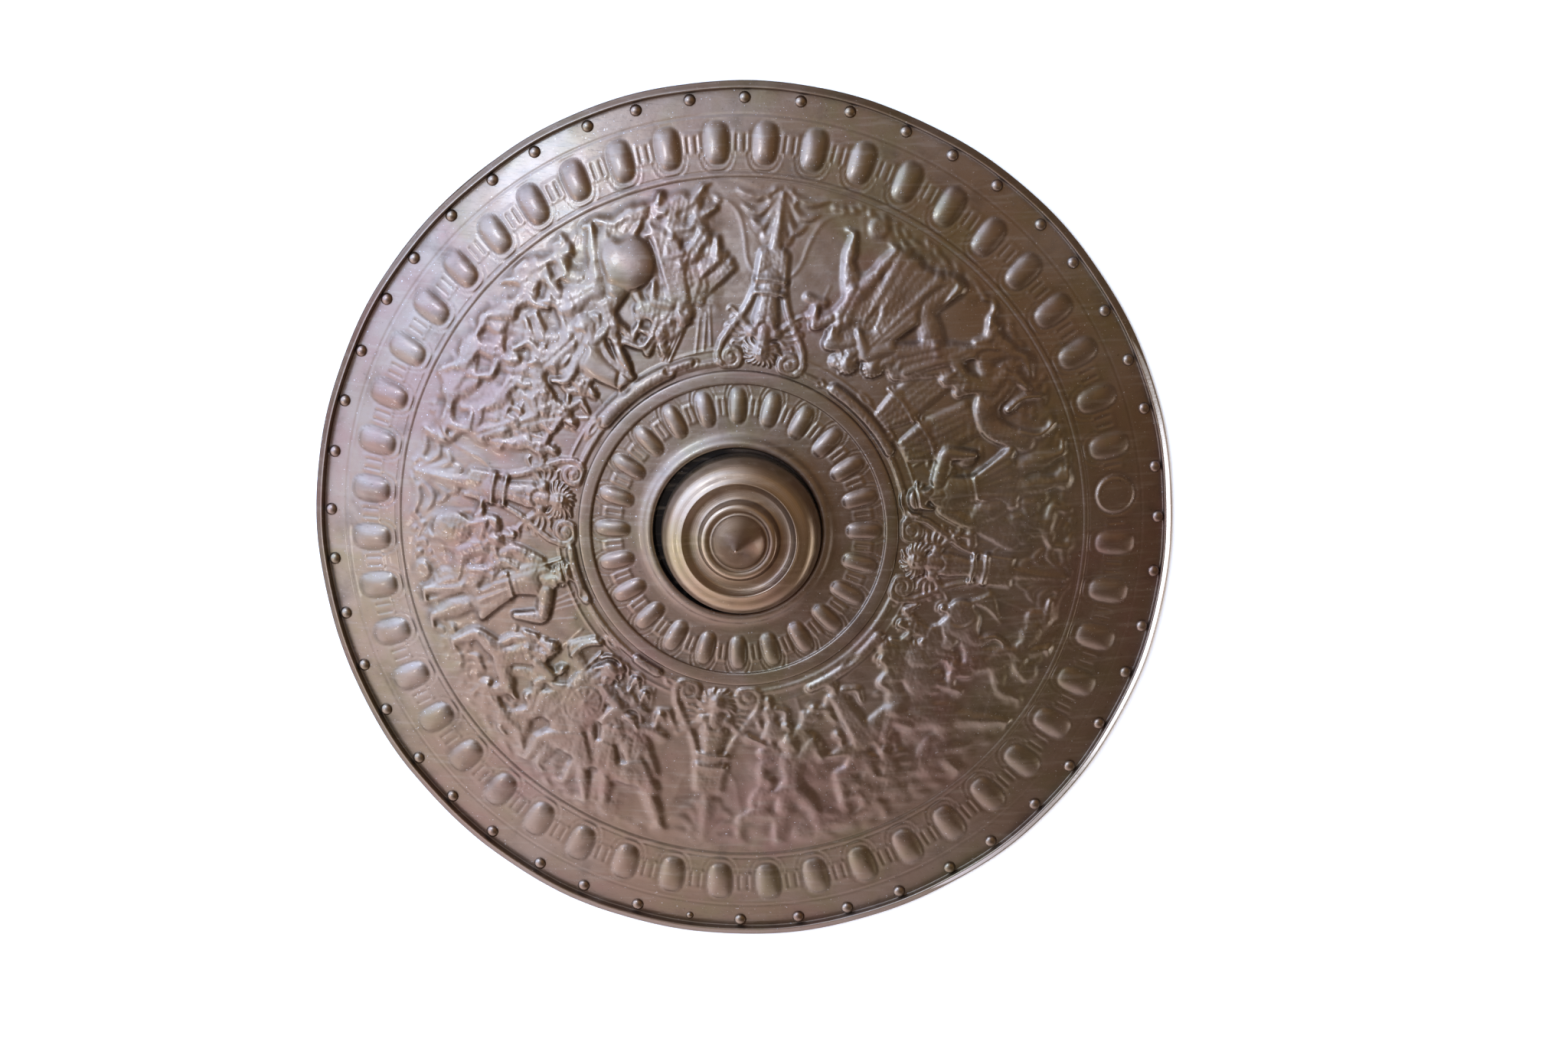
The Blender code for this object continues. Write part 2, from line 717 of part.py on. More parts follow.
def boss_profile():
    """Half-section of the boss, from the spike's tip down the outside and back up the hollow inside."""
    radius = COLLAR_RADIUS - BOSS_CLEARANCE
    shoulder = SKIRT_HEIGHT + SHOULDER_RISE
    crown = shoulder + BEAD_RISE
    saucer = (BEAD_RADIUS + SHOULDER_RADIUS) / 2
    outside = [(0.0, crown + SPIKE_RISE), (SPIKE_TIP, crown + SPIKE_RISE * 0.97)]
    for rise, swell in ((0.86, 0.13), (0.64, 0.40), (0.36, 0.72), (0.12, 0.93)):
        outside.append((SPIKE_TIP + (SPIKE_RADIUS - SPIKE_TIP) * swell, crown + SPIKE_RISE * rise))
    outside += [
        (SPIKE_RADIUS, crown),
        (BEAD_RADIUS - BEAD_RISE / 3, crown - BEAD_RISE / 4),
        (BEAD_RADIUS, shoulder - SAUCER_SINK / 2),
        (saucer, shoulder - SAUCER_SINK),
        (SHOULDER_RADIUS - SAUCER_SINK / 2, shoulder),
    ]
    outside += [ovolo(share, 0.0) for share in (0.85, 0.5, 0.25, 0.0)]
    outside.append((radius, 0.0))
    inside = [(radius - BOSS_WALL, 0.0)]
    inside += [ovolo(share, BOSS_WALL) for share in (0.0, 0.5, 1.0)]
    inside += [
        (saucer, shoulder - SAUCER_SINK - BOSS_WALL),
        (SPIKE_RADIUS - BOSS_WALL, crown - BOSS_WALL),
        (0.0, crown + SPIKE_RISE * 0.8),
    ]
    return outside + inside


def make_boss(material):
    """The turned hollow boss, which stands on the ledge a little off the shield's middle."""
    bm = bmesh.new()
    profile = [bm.verts.new((r, 0.0, z)) for r, z in boss_profile()]
    edges = [bm.edges.new(pair) for pair in zip(profile, profile[1:])]
    turn = {"cent": (0, 0, 0), "axis": (0, 0, 1), "angle": 2 * pi, "steps": BOSS_SIDES}
    bmesh.ops.spin(bm, geom=profile + edges, use_merge=True, **turn)
    bmesh.ops.remove_doubles(bm, verts=bm.verts, dist=MERGE_DISTANCE / 10)
    boss = solid("boss", bm, material)
    boss.location = (*BOSS_SHIFT, ledge_level() + FIT_GAP)
    return boss


def rivet_mesh(name, head_radius, head_height):
    """A domed head with a plain shank, standing on the plate at z = 0."""
    bm = bmesh.new()
    sections = (
        (head_radius * 0.62, head_height * 0.82, RIVET_SIDES),
        (head_radius, FIT_GAP, RIVET_SIDES),
        (RIVET_SHANK_RADIUS, FIT_GAP + RIVET_UNDERCUT, SHANK_SIDES),
        (RIVET_SHANK_RADIUS, -WALL - RIVET_TAIL, SHANK_SIDES),
    )
    rings = [ring(bm, *section) for section in sections]
    loops = [[bm.edges.new(pair) for pair in zip(verts, verts[1:] + verts[:1])] for verts in rings]
    for first, second in zip(loops, loops[1:]):
        bmesh.ops.bridge_loops(bm, edges=first + second)
    crown = bm.verts.new((0.0, 0.0, head_height))
    for first, second in zip(rings[0], rings[0][1:] + rings[0][:1]):
        bm.faces.new((crown, first, second))
    bm.faces.new(rings[-1])
    return finished(name, bm)


def make_rivets(material):
    """The border rivets, one of them with its head worn to a stub."""
    whole = rivet_mesh("rivet", RIVET_HEAD_RADIUS, RIVET_HEAD_HEIGHT)
    worn = rivet_mesh("worn_rivet", RIVET_HEAD_RADIUS * WORN_SHARE, RIVET_HEAD_HEIGHT * WORN_SHARE)
    for mesh in (whole, worn):
        mesh.materials.append(material)
    for i, bearing in enumerate(rivet_bearings()):
        rivet = bpy.data.objects.new(f"rivet_{i + 1:02d}", worn if i == WORN_RIVET else whole)
        rivet.matrix_world = rivet_frame(bearing)
        bpy.context.scene.collection.objects.link(rivet)


def finished(name, bm):
    """A mesh from bm with its faces pointing out and its round parts shaded smooth."""
    bmesh.ops.recalc_face_normals(bm, faces=bm.faces)
    mesh = bpy.data.meshes.new(name)
    bm.to_mesh(mesh)
    bm.free()
    mesh.shade_smooth()
    mesh.set_sharp_from_angle(angle=radians(SHARP_ANGLE))
    return mesh


def solid(name, bm, material):
    """An object made from bm."""
    mesh = finished(name, bm)
    mesh.materials.append(material)
    made = bpy.data.objects.new(name, mesh)
    bpy.context.scene.collection.objects.link(made)
    return made


def metal(name, colour, roughness):
    """A patinated metal."""
    material = bpy.data.materials.new(name)
    material.use_nodes = True
    shader = material.node_tree.nodes["Principled BSDF"]
    shader.inputs["Base Color"].default_value = (*colour, 1.0)
    shader.inputs["Roughness"].default_value = roughness
    shader.inputs["Metallic"].default_value = 1.0
    return material


def main():
    """Builds the shield in an empty scene."""
    for old in list(bpy.data.objects):
        bpy.data.objects.remove(old)
    plate_bronze = metal("plate_bronze", (0.20, 0.155, 0.125), 0.38)
    boss_bronze = metal("boss_bronze", (0.33, 0.22, 0.15), 0.32)
    rivet_bronze = metal("rivet_bronze", (0.24, 0.185, 0.15), 0.36)
    make_plate(plate_bronze)
    make_boss(boss_bronze)
    make_rivets(rivet_bronze)


main()
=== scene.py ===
"""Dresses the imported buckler: embossed relief, turned boss, rivets, patina, camera and light.

Plan positions are in millimetres, x to the right and y to the top of the shield as seen from its front.
Bearings are in degrees, clockwise from the top.
"""

from __future__ import annotations

import json
import logging
from dataclasses import dataclass, field
from enum import Enum, Flag, auto
from math import atan, cos, degrees, hypot, pi, radians, sin, sqrt
from typing import Callable, Sequence

import bmesh
import bpy
import numpy as np
from mathutils import Matrix, Vector

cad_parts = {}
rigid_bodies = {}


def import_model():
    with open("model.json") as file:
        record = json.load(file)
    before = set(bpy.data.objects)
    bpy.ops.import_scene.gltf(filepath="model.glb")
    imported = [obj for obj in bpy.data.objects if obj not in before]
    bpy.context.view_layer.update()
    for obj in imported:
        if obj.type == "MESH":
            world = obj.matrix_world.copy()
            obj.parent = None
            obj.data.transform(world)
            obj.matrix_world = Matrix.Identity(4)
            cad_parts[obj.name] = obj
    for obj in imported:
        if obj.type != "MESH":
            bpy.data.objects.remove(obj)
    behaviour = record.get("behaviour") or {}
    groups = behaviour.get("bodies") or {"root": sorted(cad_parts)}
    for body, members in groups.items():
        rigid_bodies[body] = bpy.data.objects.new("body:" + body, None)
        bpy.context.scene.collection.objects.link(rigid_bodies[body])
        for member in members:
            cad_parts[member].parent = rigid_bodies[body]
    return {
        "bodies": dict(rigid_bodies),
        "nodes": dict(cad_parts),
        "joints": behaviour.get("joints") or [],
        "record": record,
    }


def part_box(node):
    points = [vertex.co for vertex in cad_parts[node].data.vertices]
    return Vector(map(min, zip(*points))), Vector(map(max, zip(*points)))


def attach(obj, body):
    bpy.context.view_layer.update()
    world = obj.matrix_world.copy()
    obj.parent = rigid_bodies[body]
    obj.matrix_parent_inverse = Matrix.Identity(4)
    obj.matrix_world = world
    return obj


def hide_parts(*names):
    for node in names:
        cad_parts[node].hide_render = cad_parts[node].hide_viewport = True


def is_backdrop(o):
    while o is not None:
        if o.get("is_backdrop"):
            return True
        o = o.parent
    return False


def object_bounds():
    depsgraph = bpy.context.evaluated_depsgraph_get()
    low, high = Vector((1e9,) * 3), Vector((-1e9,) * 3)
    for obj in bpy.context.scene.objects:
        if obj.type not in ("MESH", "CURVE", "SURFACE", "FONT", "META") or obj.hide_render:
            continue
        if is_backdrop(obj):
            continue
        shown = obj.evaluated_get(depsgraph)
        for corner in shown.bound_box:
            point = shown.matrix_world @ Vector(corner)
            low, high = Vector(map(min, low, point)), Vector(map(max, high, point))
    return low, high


LOG = logging.getLogger("buckler")
MM = 0.001
BODY = "root"
PLATE = "shield_plate"

Field = np.ndarray
Point = tuple[float, float]


def polar(bearing: float, radius: float) -> Point:
    """Plan point at a bearing and a radius."""
    return radius * sin(radians(bearing)), radius * cos(radians(bearing))


def smooth(edge0: float, edge1: float, value: Field) -> Field:
    """Smooth step from 0 at edge0 to 1 at edge1."""
    share = np.clip((value - edge0) / (edge1 - edge0), 0.0, 1.0)
    return share * share * (3 - 2 * share)


def directions(angles: Sequence[float]) -> list[Point]:
    """Unit steps to the right and up for angles in degrees."""
    return [(cos(radians(angle)), sin(radians(angle))) for angle in angles]


def bell(value: Field, width: float) -> Field:
    """Bell curve that is 1 at zero."""
    return np.exp(-((value / width) ** 2))


def bow(points: Sequence[Point], steps: int = 5) -> list[Point]:
    """Smooth curve through points.

    Args:
        points: The points to pass through.
        steps: Parts that each stretch is cut into.

    Returns:
        The points of the curve.
    """
    knots = [np.array(p, float) for p in points]
    ends = [2 * knots[0] - knots[1], *knots, 2 * knots[-1] - knots[-2]]
    curve = []
    for a, b, c, d in zip(ends, ends[1:], ends[2:], ends[3:]):
        for i in range(steps):
            t = i / steps
            square, cube = (2 * a - 5 * b + 4 * c - d) * t**2, (3 * b - a - 3 * c + d) * t**3
            curve.append(0.5 * (2 * b + (c - a) * t + square + cube))
    curve.append(knots[-1])
    return [(float(p[0]), float(p[1])) for p in curve]


def spiral(
    centre: Point, start: float, turns: float, outer: float, inner: float, steps: int = 40
) -> list[Point]:
    """Points of a spiral that winds inwards.

    Args:
        centre: Its middle.
        start: Direction of its first point from the middle, in degrees.
        turns: How often it winds round, negative for the other way.
        outer: Radius at its first point.
        inner: Radius at its last point.
        steps: How many parts it is cut into.

    Returns:
        The points of the spiral.
    """
    points = []
    for i in range(steps + 1):
        share = i / steps
        angle = radians(start + 360 * turns * share)
        radius = outer + (inner - outer) * share**0.85
        points.append((centre[0] + radius * cos(angle), centre[1] + radius * sin(angle)))
    return points


def ripple(x: Field, y: Field, length: float, seed: int) -> Field:
    """Uneven waves of about one length, from -1 to 1, the same for the same seed."""
    turn = np.random.default_rng(seed)
    total = np.zeros_like(x)
    for _ in range(7):
        angle, phase = turn.uniform(0, 2 * pi, 2)
        pace = 2 * pi / (length * turn.uniform(0.7, 1.5))
        total += np.sin((x * cos(angle) + y * sin(angle)) * pace + phase)
    return total / 4.0


@dataclass(frozen=True)
class Dish:
    """The plate's dished form: a parabolic dome that runs out as a straight border.

    Attributes:
        radius: Outer radius.
        depth: Height of the dome.
        wall: Thickness of the sheet.
        lip_width: Width of the rolled rim.
        turn: Radius where the dome runs out as the straight border.
        oval: How much taller than wide the outline is, as a share.
    """

    radius: float
    depth: float = 69.0
    wall: float = 1.6
    lip_width: float = 5.5
    turn: float = 221.0
    oval: float = 0.012

    @property
    def lip_foot(self) -> float:
        """Radius where the border meets the rolled rim."""
        return self.radius - self.lip_width

    @property
    def rate(self) -> float:
        """Coefficient of the parabola."""
        return self.depth / (2 * self.turn * self.lip_foot - self.turn**2)

    @property
    def slope(self) -> float:
        """Fall of the straight border for each millimetre outwards."""
        return 2 * self.rate * self.turn

    @property
    def drop(self) -> float:
        """Vertical distance through the wall on the border."""
        return self.wall / cos(atan(self.slope))

    def stretch(self, distance: Field) -> Field:
        """How much taller than wide the real plate is at a distance from its middle, as a factor."""
        return 1 + self.oval * smooth(0.5, 1.0, distance / self.radius)

    def bend(self, sheet: Sheet) -> Sheet:
        """Gives a sheet the plate's slightly tall outline."""
        sheet.y = sheet.y * self.stretch(np.hypot(sheet.x, sheet.y))
        return sheet

    def bend_mesh(self, mesh: bpy.types.Mesh) -> None:
        """Gives a mesh in metres the plate's slightly tall outline."""
        points = np.empty(len(mesh.vertices) * 3, np.float32)
        mesh.vertices.foreach_get("co", points)
        points = points.reshape(-1, 3)
        points[:, 1] *= self.stretch(np.hypot(points[:, 0], points[:, 1]) / MM)
        mesh.vertices.foreach_set("co", points.ravel())

    def front(self, radius: Field) -> Field:
        """Height of the front without mouldings at each radius."""
        dome = self.depth - self.rate * radius**2
        border = self.slope * np.maximum(self.lip_foot - radius, 0.0)
        return self.drop + np.where(radius < self.turn, dome, border)

    def back(self, radius: Field) -> Field:
        """Height of the back at each radius."""
        return self.front(radius) - self.drop


class Canvas:
    """The figured band as a field of heights on a polar grid of nearly square cells.

    Its rows run outwards and its columns follow the bearing.
    """

    def __init__(self, inner: float, outer: float, columns: int, rows: int) -> None:
        """Lays out the grid.

        Args:
            inner: Inner radius of the band.
            outer: Outer radius of the band.
            columns: Cells round the band.
            rows: Cells across the band.
        """
        self.radius = inner * (outer / inner) ** np.linspace(0, 1, rows + 1)
        self.bearing = np.arange(columns) * 360.0 / columns
        angle = np.radians(self.bearing)
        self.x = self.radius[:, None] * np.sin(angle)[None, :]
        self.y = self.radius[:, None] * np.cos(angle)[None, :]
        self.z = np.zeros_like(self.x)

    @property
    def width(self) -> float:
        """Width of the band."""
        return self.radius[-1] - self.radius[0]

    def level(self, share: float) -> float:
        """Radius at a share of the band's width from its outer edge."""
        return self.radius[-1] - share * self.width


class Clay:
    """A patch of the canvas with its own plan axes, on which forms are laid one over another.

    Its u axis follows the bearing, or runs against it where faces is -1. Its v axis runs to the
    shield's centre.
    """

    STRIP_INWARD = 4.0
    STRIP_OUTWARD = 140.0
    WIDEST = 120.0

    def __init__(
        self, canvas: Canvas, bearing: float, radius: float, faces: int, lean: float,
        inward: float, outward: float, aside: float,
    ) -> None:
        """Cuts the patch out of the canvas.

        Args:
            canvas: The field of heights.
            bearing: Bearing of the patch's origin.
            radius: Radius of the patch's origin.
            faces: 1 to look along the bearing, -1 to look against it.
            lean: Turn of the axes in degrees.
            inward: Reach towards the centre.
            outward: Reach towards the rim.
            aside: Reach to each side.
        """
        self.canvas = canvas
        self.bearing = bearing
        self.faces = faces
        self.lean = lean
        self.origin = polar(bearing, radius)
        rows = np.nonzero((canvas.radius > radius - inward) & (canvas.radius < radius + outward))[0]
        count = len(canvas.bearing)
        half = min(degrees(aside / float(canvas.radius[rows[0]])), self.WIDEST)
        first = int((bearing - half) / 360.0 * count)
        last = int((bearing + half) / 360.0 * count) + 1
        self.index = np.ix_(rows, np.arange(first, last) % count)
        self.z = canvas.z[self.index]
        self.u, self.v = self._local(canvas.x[self.index], canvas.y[self.index])

    @classmethod
    def strip(cls, canvas: Canvas, bearing: float, aside: float) -> Clay:
        """Patch over the whole width of the band, with its origin on the inner edge.

        Args:
            canvas: The field of heights.
            bearing: Bearing of the patch's origin.
            aside: Reach to each side.

        Returns:
            The patch.
        """
        return cls(canvas, bearing, canvas.radius[0], 1, 0.0, cls.STRIP_INWARD, cls.STRIP_OUTWARD, aside)

    def _local(self, x: Field | float, y: Field | float) -> tuple[Field | float, Field | float]:
        """Turns plan positions into the patch's own.

        Args:
            x: Plan positions to the right.
            y: Plan positions to the top.

        Returns:
            Their u and v.
        """
        x, y = x - self.origin[0], y - self.origin[1]
        s, c = sin(radians(self.bearing)), cos(radians(self.bearing))
        across, inwards = (x * c - y * s) * self.faces, -x * s - y * c
        s, c = sin(radians(self.lean)), cos(radians(self.lean))
        return across * c + inwards * s, -across * s + inwards * c

    def at(self, bearing: float, share: float) -> Point:
        """Local point of a bearing and a share of the band's width from its outer edge."""
        return self._local(*polar(bearing, self.canvas.level(share)))

    def beside(self, off: float, share: float) -> Point:
        """Local point some degrees beside the patch's own bearing, at a share of the band's width."""
        return self.at(self.bearing + off, share)

    def keep(self) -> None:
        """Puts the worked patch back into the canvas."""
        self.canvas.z[self.index] = self.z


def measure(
    u: Field, v: Field, points: Sequence[Point], radii: Sequence[float], margin: float = 2.5
) -> tuple[Field | None, Field | None, Field | None]:
    """Distances from a chain of points with a half-width at each.

    Args:
        u: First coordinates.
        v: Second coordinates.
        points: The chain.
        radii: Half-width at each point.
        margin: How far beyond the half-width still counts.

    Returns:
        The cells near the chain, their distance, and their distance as a share of the half-width there.
    """
    chain = np.array(points, float)
    pad = max(radii) + margin
    low, high = chain.min(axis=0) - pad, chain.max(axis=0) + pad
    box = (u > low[0]) & (u < high[0]) & (v > low[1]) & (v < high[1])
    if not box.any():
        return None, None, None
    pu, pv = u[box], v[box]
    distance = np.full(pu.shape, np.inf)
    share = np.full(pu.shape, np.inf)
    for (ax, ay), (bx, by), ra, rb in zip(chain, chain[1:], radii, radii[1:]):
        dx, dy = bx - ax, by - ay
        t = np.clip(((pu - ax) * dx + (pv - ay) * dy) / max(dx * dx + dy * dy, 1e-9), 0, 1)
        off = np.hypot(pu - ax - t * dx, pv - ay - t * dy)
        ratio = off / np.maximum(ra + (rb - ra) * t, 1e-3)
        share = np.minimum(share, ratio)
        distance = np.minimum(distance, off)
    return box, distance, share


class Layer:
    """Forms that run into each other, worked together and then laid on the clay as one."""

    STEP = 0.5
    HIGHEST_GROUND = 4.5

    def __init__(self, clay: Clay, melt: float = 0.35) -> None:
        """Starts an empty layer.

        Args:
            clay: The patch that it will lie on.
            melt: How far its forms flow into each other.
        """
        self.clay = clay
        self.melt = melt
        self.height = np.zeros_like(clay.z)
        self.edge = np.full_like(clay.z, -50.0)

    def _join(self, box: Field, height: Field, edge: Field) -> None:
        """Joins one form to the layer.

        Args:
            box: The cells near the form.
            height: Its height there.
            edge: How far inside its outline each cell is.
        """
        old = self.height[box]
        blend = np.maximum(self.melt - np.abs(old - height), 0.0) ** 2 / (4 * max(self.melt, 1e-6))
        both = (old > 0) & (height > 0)
        self.height[box] = np.maximum(old, height) + np.where(both, blend, 0.0)
        self.edge[box] = np.maximum(self.edge[box], edge)

    def limb(
        self, points: Sequence[Point], radii: Sequence[float], height: float, full: float = 0.8
    ) -> Layer:
        """Adds a rounded form along a chain.

        Args:
            points: The chain.
            radii: Half-width at each point.
            height: Height over its middle line.
            full: 0.5 for a round section, more for a peaked one, less for a flat one.

        Returns:
            The layer itself.
        """
        box, _, share = measure(self.clay.u, self.clay.v, points, radii)
        if box is not None:
            form = height * np.maximum(1 - share**2, 0.0) ** full
            self._join(box, form, (1 - share) * float(np.mean(radii)))
        return self

    def taper(
        self, joints: Sequence[Point], shares: Sequence[float], size: float, height: float, full: float = 0.8,
        least: float = 0.0, more: float = 0.0,
    ) -> Layer:
        """Adds a limb that runs smoothly through its joints.

        Args:
            joints: The joints.
            shares: Half-width at each joint, as a share of the size.
            size: Height or length of the whole figure.
            height: Height over its middle line.
            full: As for a limb.
            least: Smallest half-width.
            more: What is added to each half-width.

        Returns:
            The layer itself.
        """
        curve = bow(joints, 3)
        radii = np.interp(np.arange(len(curve)), 3 * np.arange(len(joints)), shares) * size
        return self.limb(curve, list(np.maximum(radii, least) + more), height, full)

    def ribbon(self, points: Sequence[Point], half: float, height: float, rim: float = 0.4) -> Layer:
        """Adds a flat strap with raised edges.

        Args:
            points: Its middle line.
            half: Its half-width.
            height: Height of its flat.
            rim: Further height of its edges.

        Returns:
            The layer itself.
        """
        box, distance, share = measure(self.clay.u, self.clay.v, points, [half] * len(points))
        if box is not None:
            flat = height * np.maximum(1 - share**8, 0.0) ** 0.6
            edge = rim * bell(distance - 0.72 * half, 0.22 * half + 0.2)
            self._join(box, flat + edge * (share < 1), half - distance)
        return self

    def oval(
        self, centre: Point, long: float, wide: float, height: float, turn: float = 0.0, full: float = 0.75
    ) -> Layer:
        """Adds a domed oval.

        Args:
            centre: Its middle.
            long: Half-length along its first axis.
            wide: Half-width across it.
            height: Height of its middle.
            turn: Direction of its first axis in degrees.
            full: As for a limb.

        Returns:
            The layer itself.
        """
        box, share = self.near_oval(centre, long, wide, turn)
        if box is not None:
            form = height * np.maximum(1 - share**2, 0.0) ** full
            self._join(box, form, (1 - share) * min(long, wide))
        return self

    def near_oval(
        self, centre: Point, long: float, wide: float, turn: float
    ) -> tuple[Field | None, Field | None]:
        """Finds the cells near an oval.

        Args:
            centre: Its middle.
            long: Half-length along its first axis.
            wide: Half-width across it.
            turn: Direction of its first axis in degrees.

        Returns:
            The cells, and how far out each one is as a share of the oval's size.
        """
        u, v = self.clay.u, self.clay.v
        reach = max(long, wide) * 1.3 + 2.5
        box = (np.abs(u - centre[0]) < reach) & (np.abs(v - centre[1]) < reach)
        if not box.any():
            return None, None
        s, c = sin(radians(turn)), cos(radians(turn))
        du, dv = u[box] - centre[0], v[box] - centre[1]
        return box, np.hypot((du * c + dv * s) / long, (-du * s + dv * c) / wide)

    def swell(self, centre: Point, long: float, wide: float, amount: float, turn: float = 0.0) -> Layer:
        """Raises or sinks an oval part of the layer's forms.

        Args:
            centre: Its middle.
            long: Half-length along its first axis.
            wide: Half-width across it.
            amount: How far its middle is raised, negative to sink it.
            turn: Direction of its first axis in degrees.

        Returns:
            The layer itself.
        """
        box, share = self.near_oval(centre, long, wide, turn)
        if box is not None:
            self.height[box] += amount * bell(share, 0.75) * (self.edge[box] > -0.5)
        return self

    def crease(self, points: Sequence[Point], width: float, depth: float) -> Layer:
        """Cuts a line into the layer's forms.

        Args:
            points: The line.
            width: Its half-width.
            depth: Its depth.

        Returns:
            The layer itself.
        """
        box, distance, _ = measure(self.clay.u, self.clay.v, points, [width] * len(points))
        if box is not None:
            self.height[box] -= depth * bell(distance, width)
        return self

    def lay(self, lift: float, groove: float = 0.08, soft: float = 2.0, follow: float = 0.4) -> None:
        """Lays the layer over what the clay already shows.

        Args:
            lift: Twice the height of its edge over the ground.
            groove: Depth of the line chased round it.
            soft: Width over which its edge falls.
            follow: Share of the ground's own height that it takes on.
        """
        clay = self.clay
        cover = smooth(0.0, soft, self.edge + 0.45)
        solid = cover > 0.5
        if not solid.any():
            return
        under = float(np.clip(clay.z[solid], 0, self.HIGHEST_GROUND).mean()) * follow
        chased = bell(self.edge + 0.75, 0.55) * (1 - cover)
        ground = clay.z - groove * chased
        clay.z = ground * (1 - cover) + (self.STEP * lift + under + self.height) * cover


def two_bones(a: Point, b: Point, first: float, second: float, side: float) -> Point:
    """Finds the joint between two bones.

    Args:
        a: Where the first bone starts.
        b: Where the second one ends.
        first: Length of the first bone.
        second: Length of the second bone.
        side: Which way the joint bends, 1 or -1.

    Returns:
        The joint.
    """
    dx, dy = b[0] - a[0], b[1] - a[1]
    length = max(hypot(dx, dy), 1e-6)
    near = min((first**2 - second**2 + length**2) / (2 * length), first)
    out = sqrt(max(first**2 - near**2, 0.0)) * side
    return a[0] + (dx * near - dy * out) / length, a[1] + (dy * near + dx * out) / length


def mix(a: Point, b: Point, share: float) -> Point:
    """Point a share of the way from a to b."""
    return a[0] + (b[0] - a[0]) * share, a[1] + (b[1] - a[1]) * share


def square_to(a: Point, b: Point, at: Point, half: float) -> tuple[Point, Point]:
    """Finds a short line square to a limb.

    Args:
        a: Where the limb starts.
        b: Where it ends.
        at: The line's middle.
        half: Half the line's length.

    Returns:
        Both ends of the line.
    """
    dx, dy = b[0] - a[0], b[1] - a[1]
    length = max(hypot(dx, dy), 1e-6)
    ox, oy = -dy / length * half, dx / length * half
    return (at[0] - ox, at[1] - oy), (at[0] + ox, at[1] + oy)


def drape(
    layer: Layer, top: tuple[Point, Point], hem: tuple[Point, Point], pleats: int, sway: float,
    height: float, seed: int,
) -> None:
    """Adds cloth that hangs in pleats between two edges.

    Args:
        layer: The layer to work on.
        top: Both ends of the upper edge.
        hem: Both ends of the lower edge.
        pleats: How many folds.
        sway: How far the folds bow aside.
        height: Height of the folds.
        seed: Which uneven set of folds.
    """
    chance = np.random.default_rng(seed)
    wide = hypot(hem[1][0] - hem[0][0], hem[1][1] - hem[0][1]) / pleats
    narrow = hypot(top[1][0] - top[0][0], top[1][1] - top[0][1]) / pleats
    for i in range(pleats):
        share = (i + 0.5) / pleats
        a = mix(top[0], top[1], share)
        b = mix(hem[0], hem[1], share + chance.uniform(-0.2, 0.2) / pleats)
        b = mix(a, b, 1.0 + chance.uniform(-0.08, 0.08))
        middle = mix(a, b, 0.5)
        dx, dy = b[0] - a[0], b[1] - a[1]
        bend = sway * (0.6 + 0.8 * share) / max(hypot(dx, dy), 1e-6)
        middle = middle[0] - dy * bend, middle[1] + dx * bend
        curve = bow((a, middle, b), 4)
        radii = np.linspace(narrow * 0.75 + 0.4, wide * 0.78 + 0.3, len(curve))
        layer.limb(curve, list(radii), height * chance.uniform(0.75, 1.1), 0.8)


def curls(layer: Layer, spots: Sequence[Point], size: float, height: float, seed: int) -> None:
    """Adds small rounded locks or fruit.

    Args:
        layer: The layer to work on.
        spots: Where they are.
        size: Their usual half-length.
        height: Their height.
        seed: Which uneven set of them.
    """
    chance = np.random.default_rng(seed)
    for spot in spots:
        turn = chance.uniform(0, 180)
        long, wide = size * chance.uniform(0.9, 1.25), size * chance.uniform(0.6, 0.8)
        layer.oval(spot, long, wide, height, turn, 0.7)


class Kit(Flag):
    """What a figure wears and carries."""

    NONE = 0
    TUNIC = auto()
    CUIRASS = auto()
    ROBE = auto()
    CLOAK = auto()
    HELMET = auto()
    PLUME = auto()
    BEARD = auto()
    BACK_VIEW = auto()


@dataclass(frozen=True)
class Pose:
    """A figure that faces its own right, with every point a share of its height.

    Attributes:
        hips: Middle of its hips.
        chest: Middle of its chest.
        head: Middle of its head.
        hands: Its far and its near hand.
        feet: Its near and its far foot.
        elbows: Which way each elbow bends.
        knees: Which way each knee bends.
        breadth: Half the breadth of its shoulders.
    """

    USUAL_BREADTH = 0.095

    hips: Point
    chest: Point
    head: Point
    hands: tuple[Point, Point]
    feet: tuple[Point, Point]
    elbows: tuple[float, float] = (-1.0, 1.0)
    knees: tuple[float, float] = (1.0, 1.0)
    breadth: float = USUAL_BREADTH


STAND = Pose(
    (0.0, 0.51), (0.0, 0.74), (0.015, 0.92), ((-0.19, 0.50), (0.21, 0.56)), ((-0.08, 0.0), (0.10, 0.0)),
)
STRIDE = Pose(
    (0.0, 0.49), (0.04, 0.72), (0.08, 0.89), ((-0.25, 0.58), (0.30, 0.72)), ((-0.25, 0.01), (0.17, 0.0)),
)
LUNGE = Pose(
    (0.0, 0.41), (0.12, 0.61), (0.22, 0.77), ((-0.16, 0.44), (0.45, 0.70)), ((-0.38, 0.0), (0.24, 0.0)),
)
STRIKE = Pose(
    (0.0, 0.49), (0.02, 0.72), (0.07, 0.89), ((-0.17, 1.00), (0.29, 0.60)), ((-0.20, 0.0), (0.18, 0.0)),
    elbows=(1.0, 1.0),
)
KNEEL = Pose(
    (0.0, 0.33), (0.08, 0.56), (0.15, 0.74), ((-0.10, 0.34), (0.34, 0.48)), ((-0.32, 0.0), (0.20, 0.0)),
    knees=(-1.0, 1.0),
)
FALLEN = Pose(
    (0.0, 0.12), (-0.23, 0.17), (-0.40, 0.21), ((-0.44, 0.02), (-0.08, 0.38)), ((0.46, 0.02), (0.37, 0.10)),
    breadth=0.06,
)
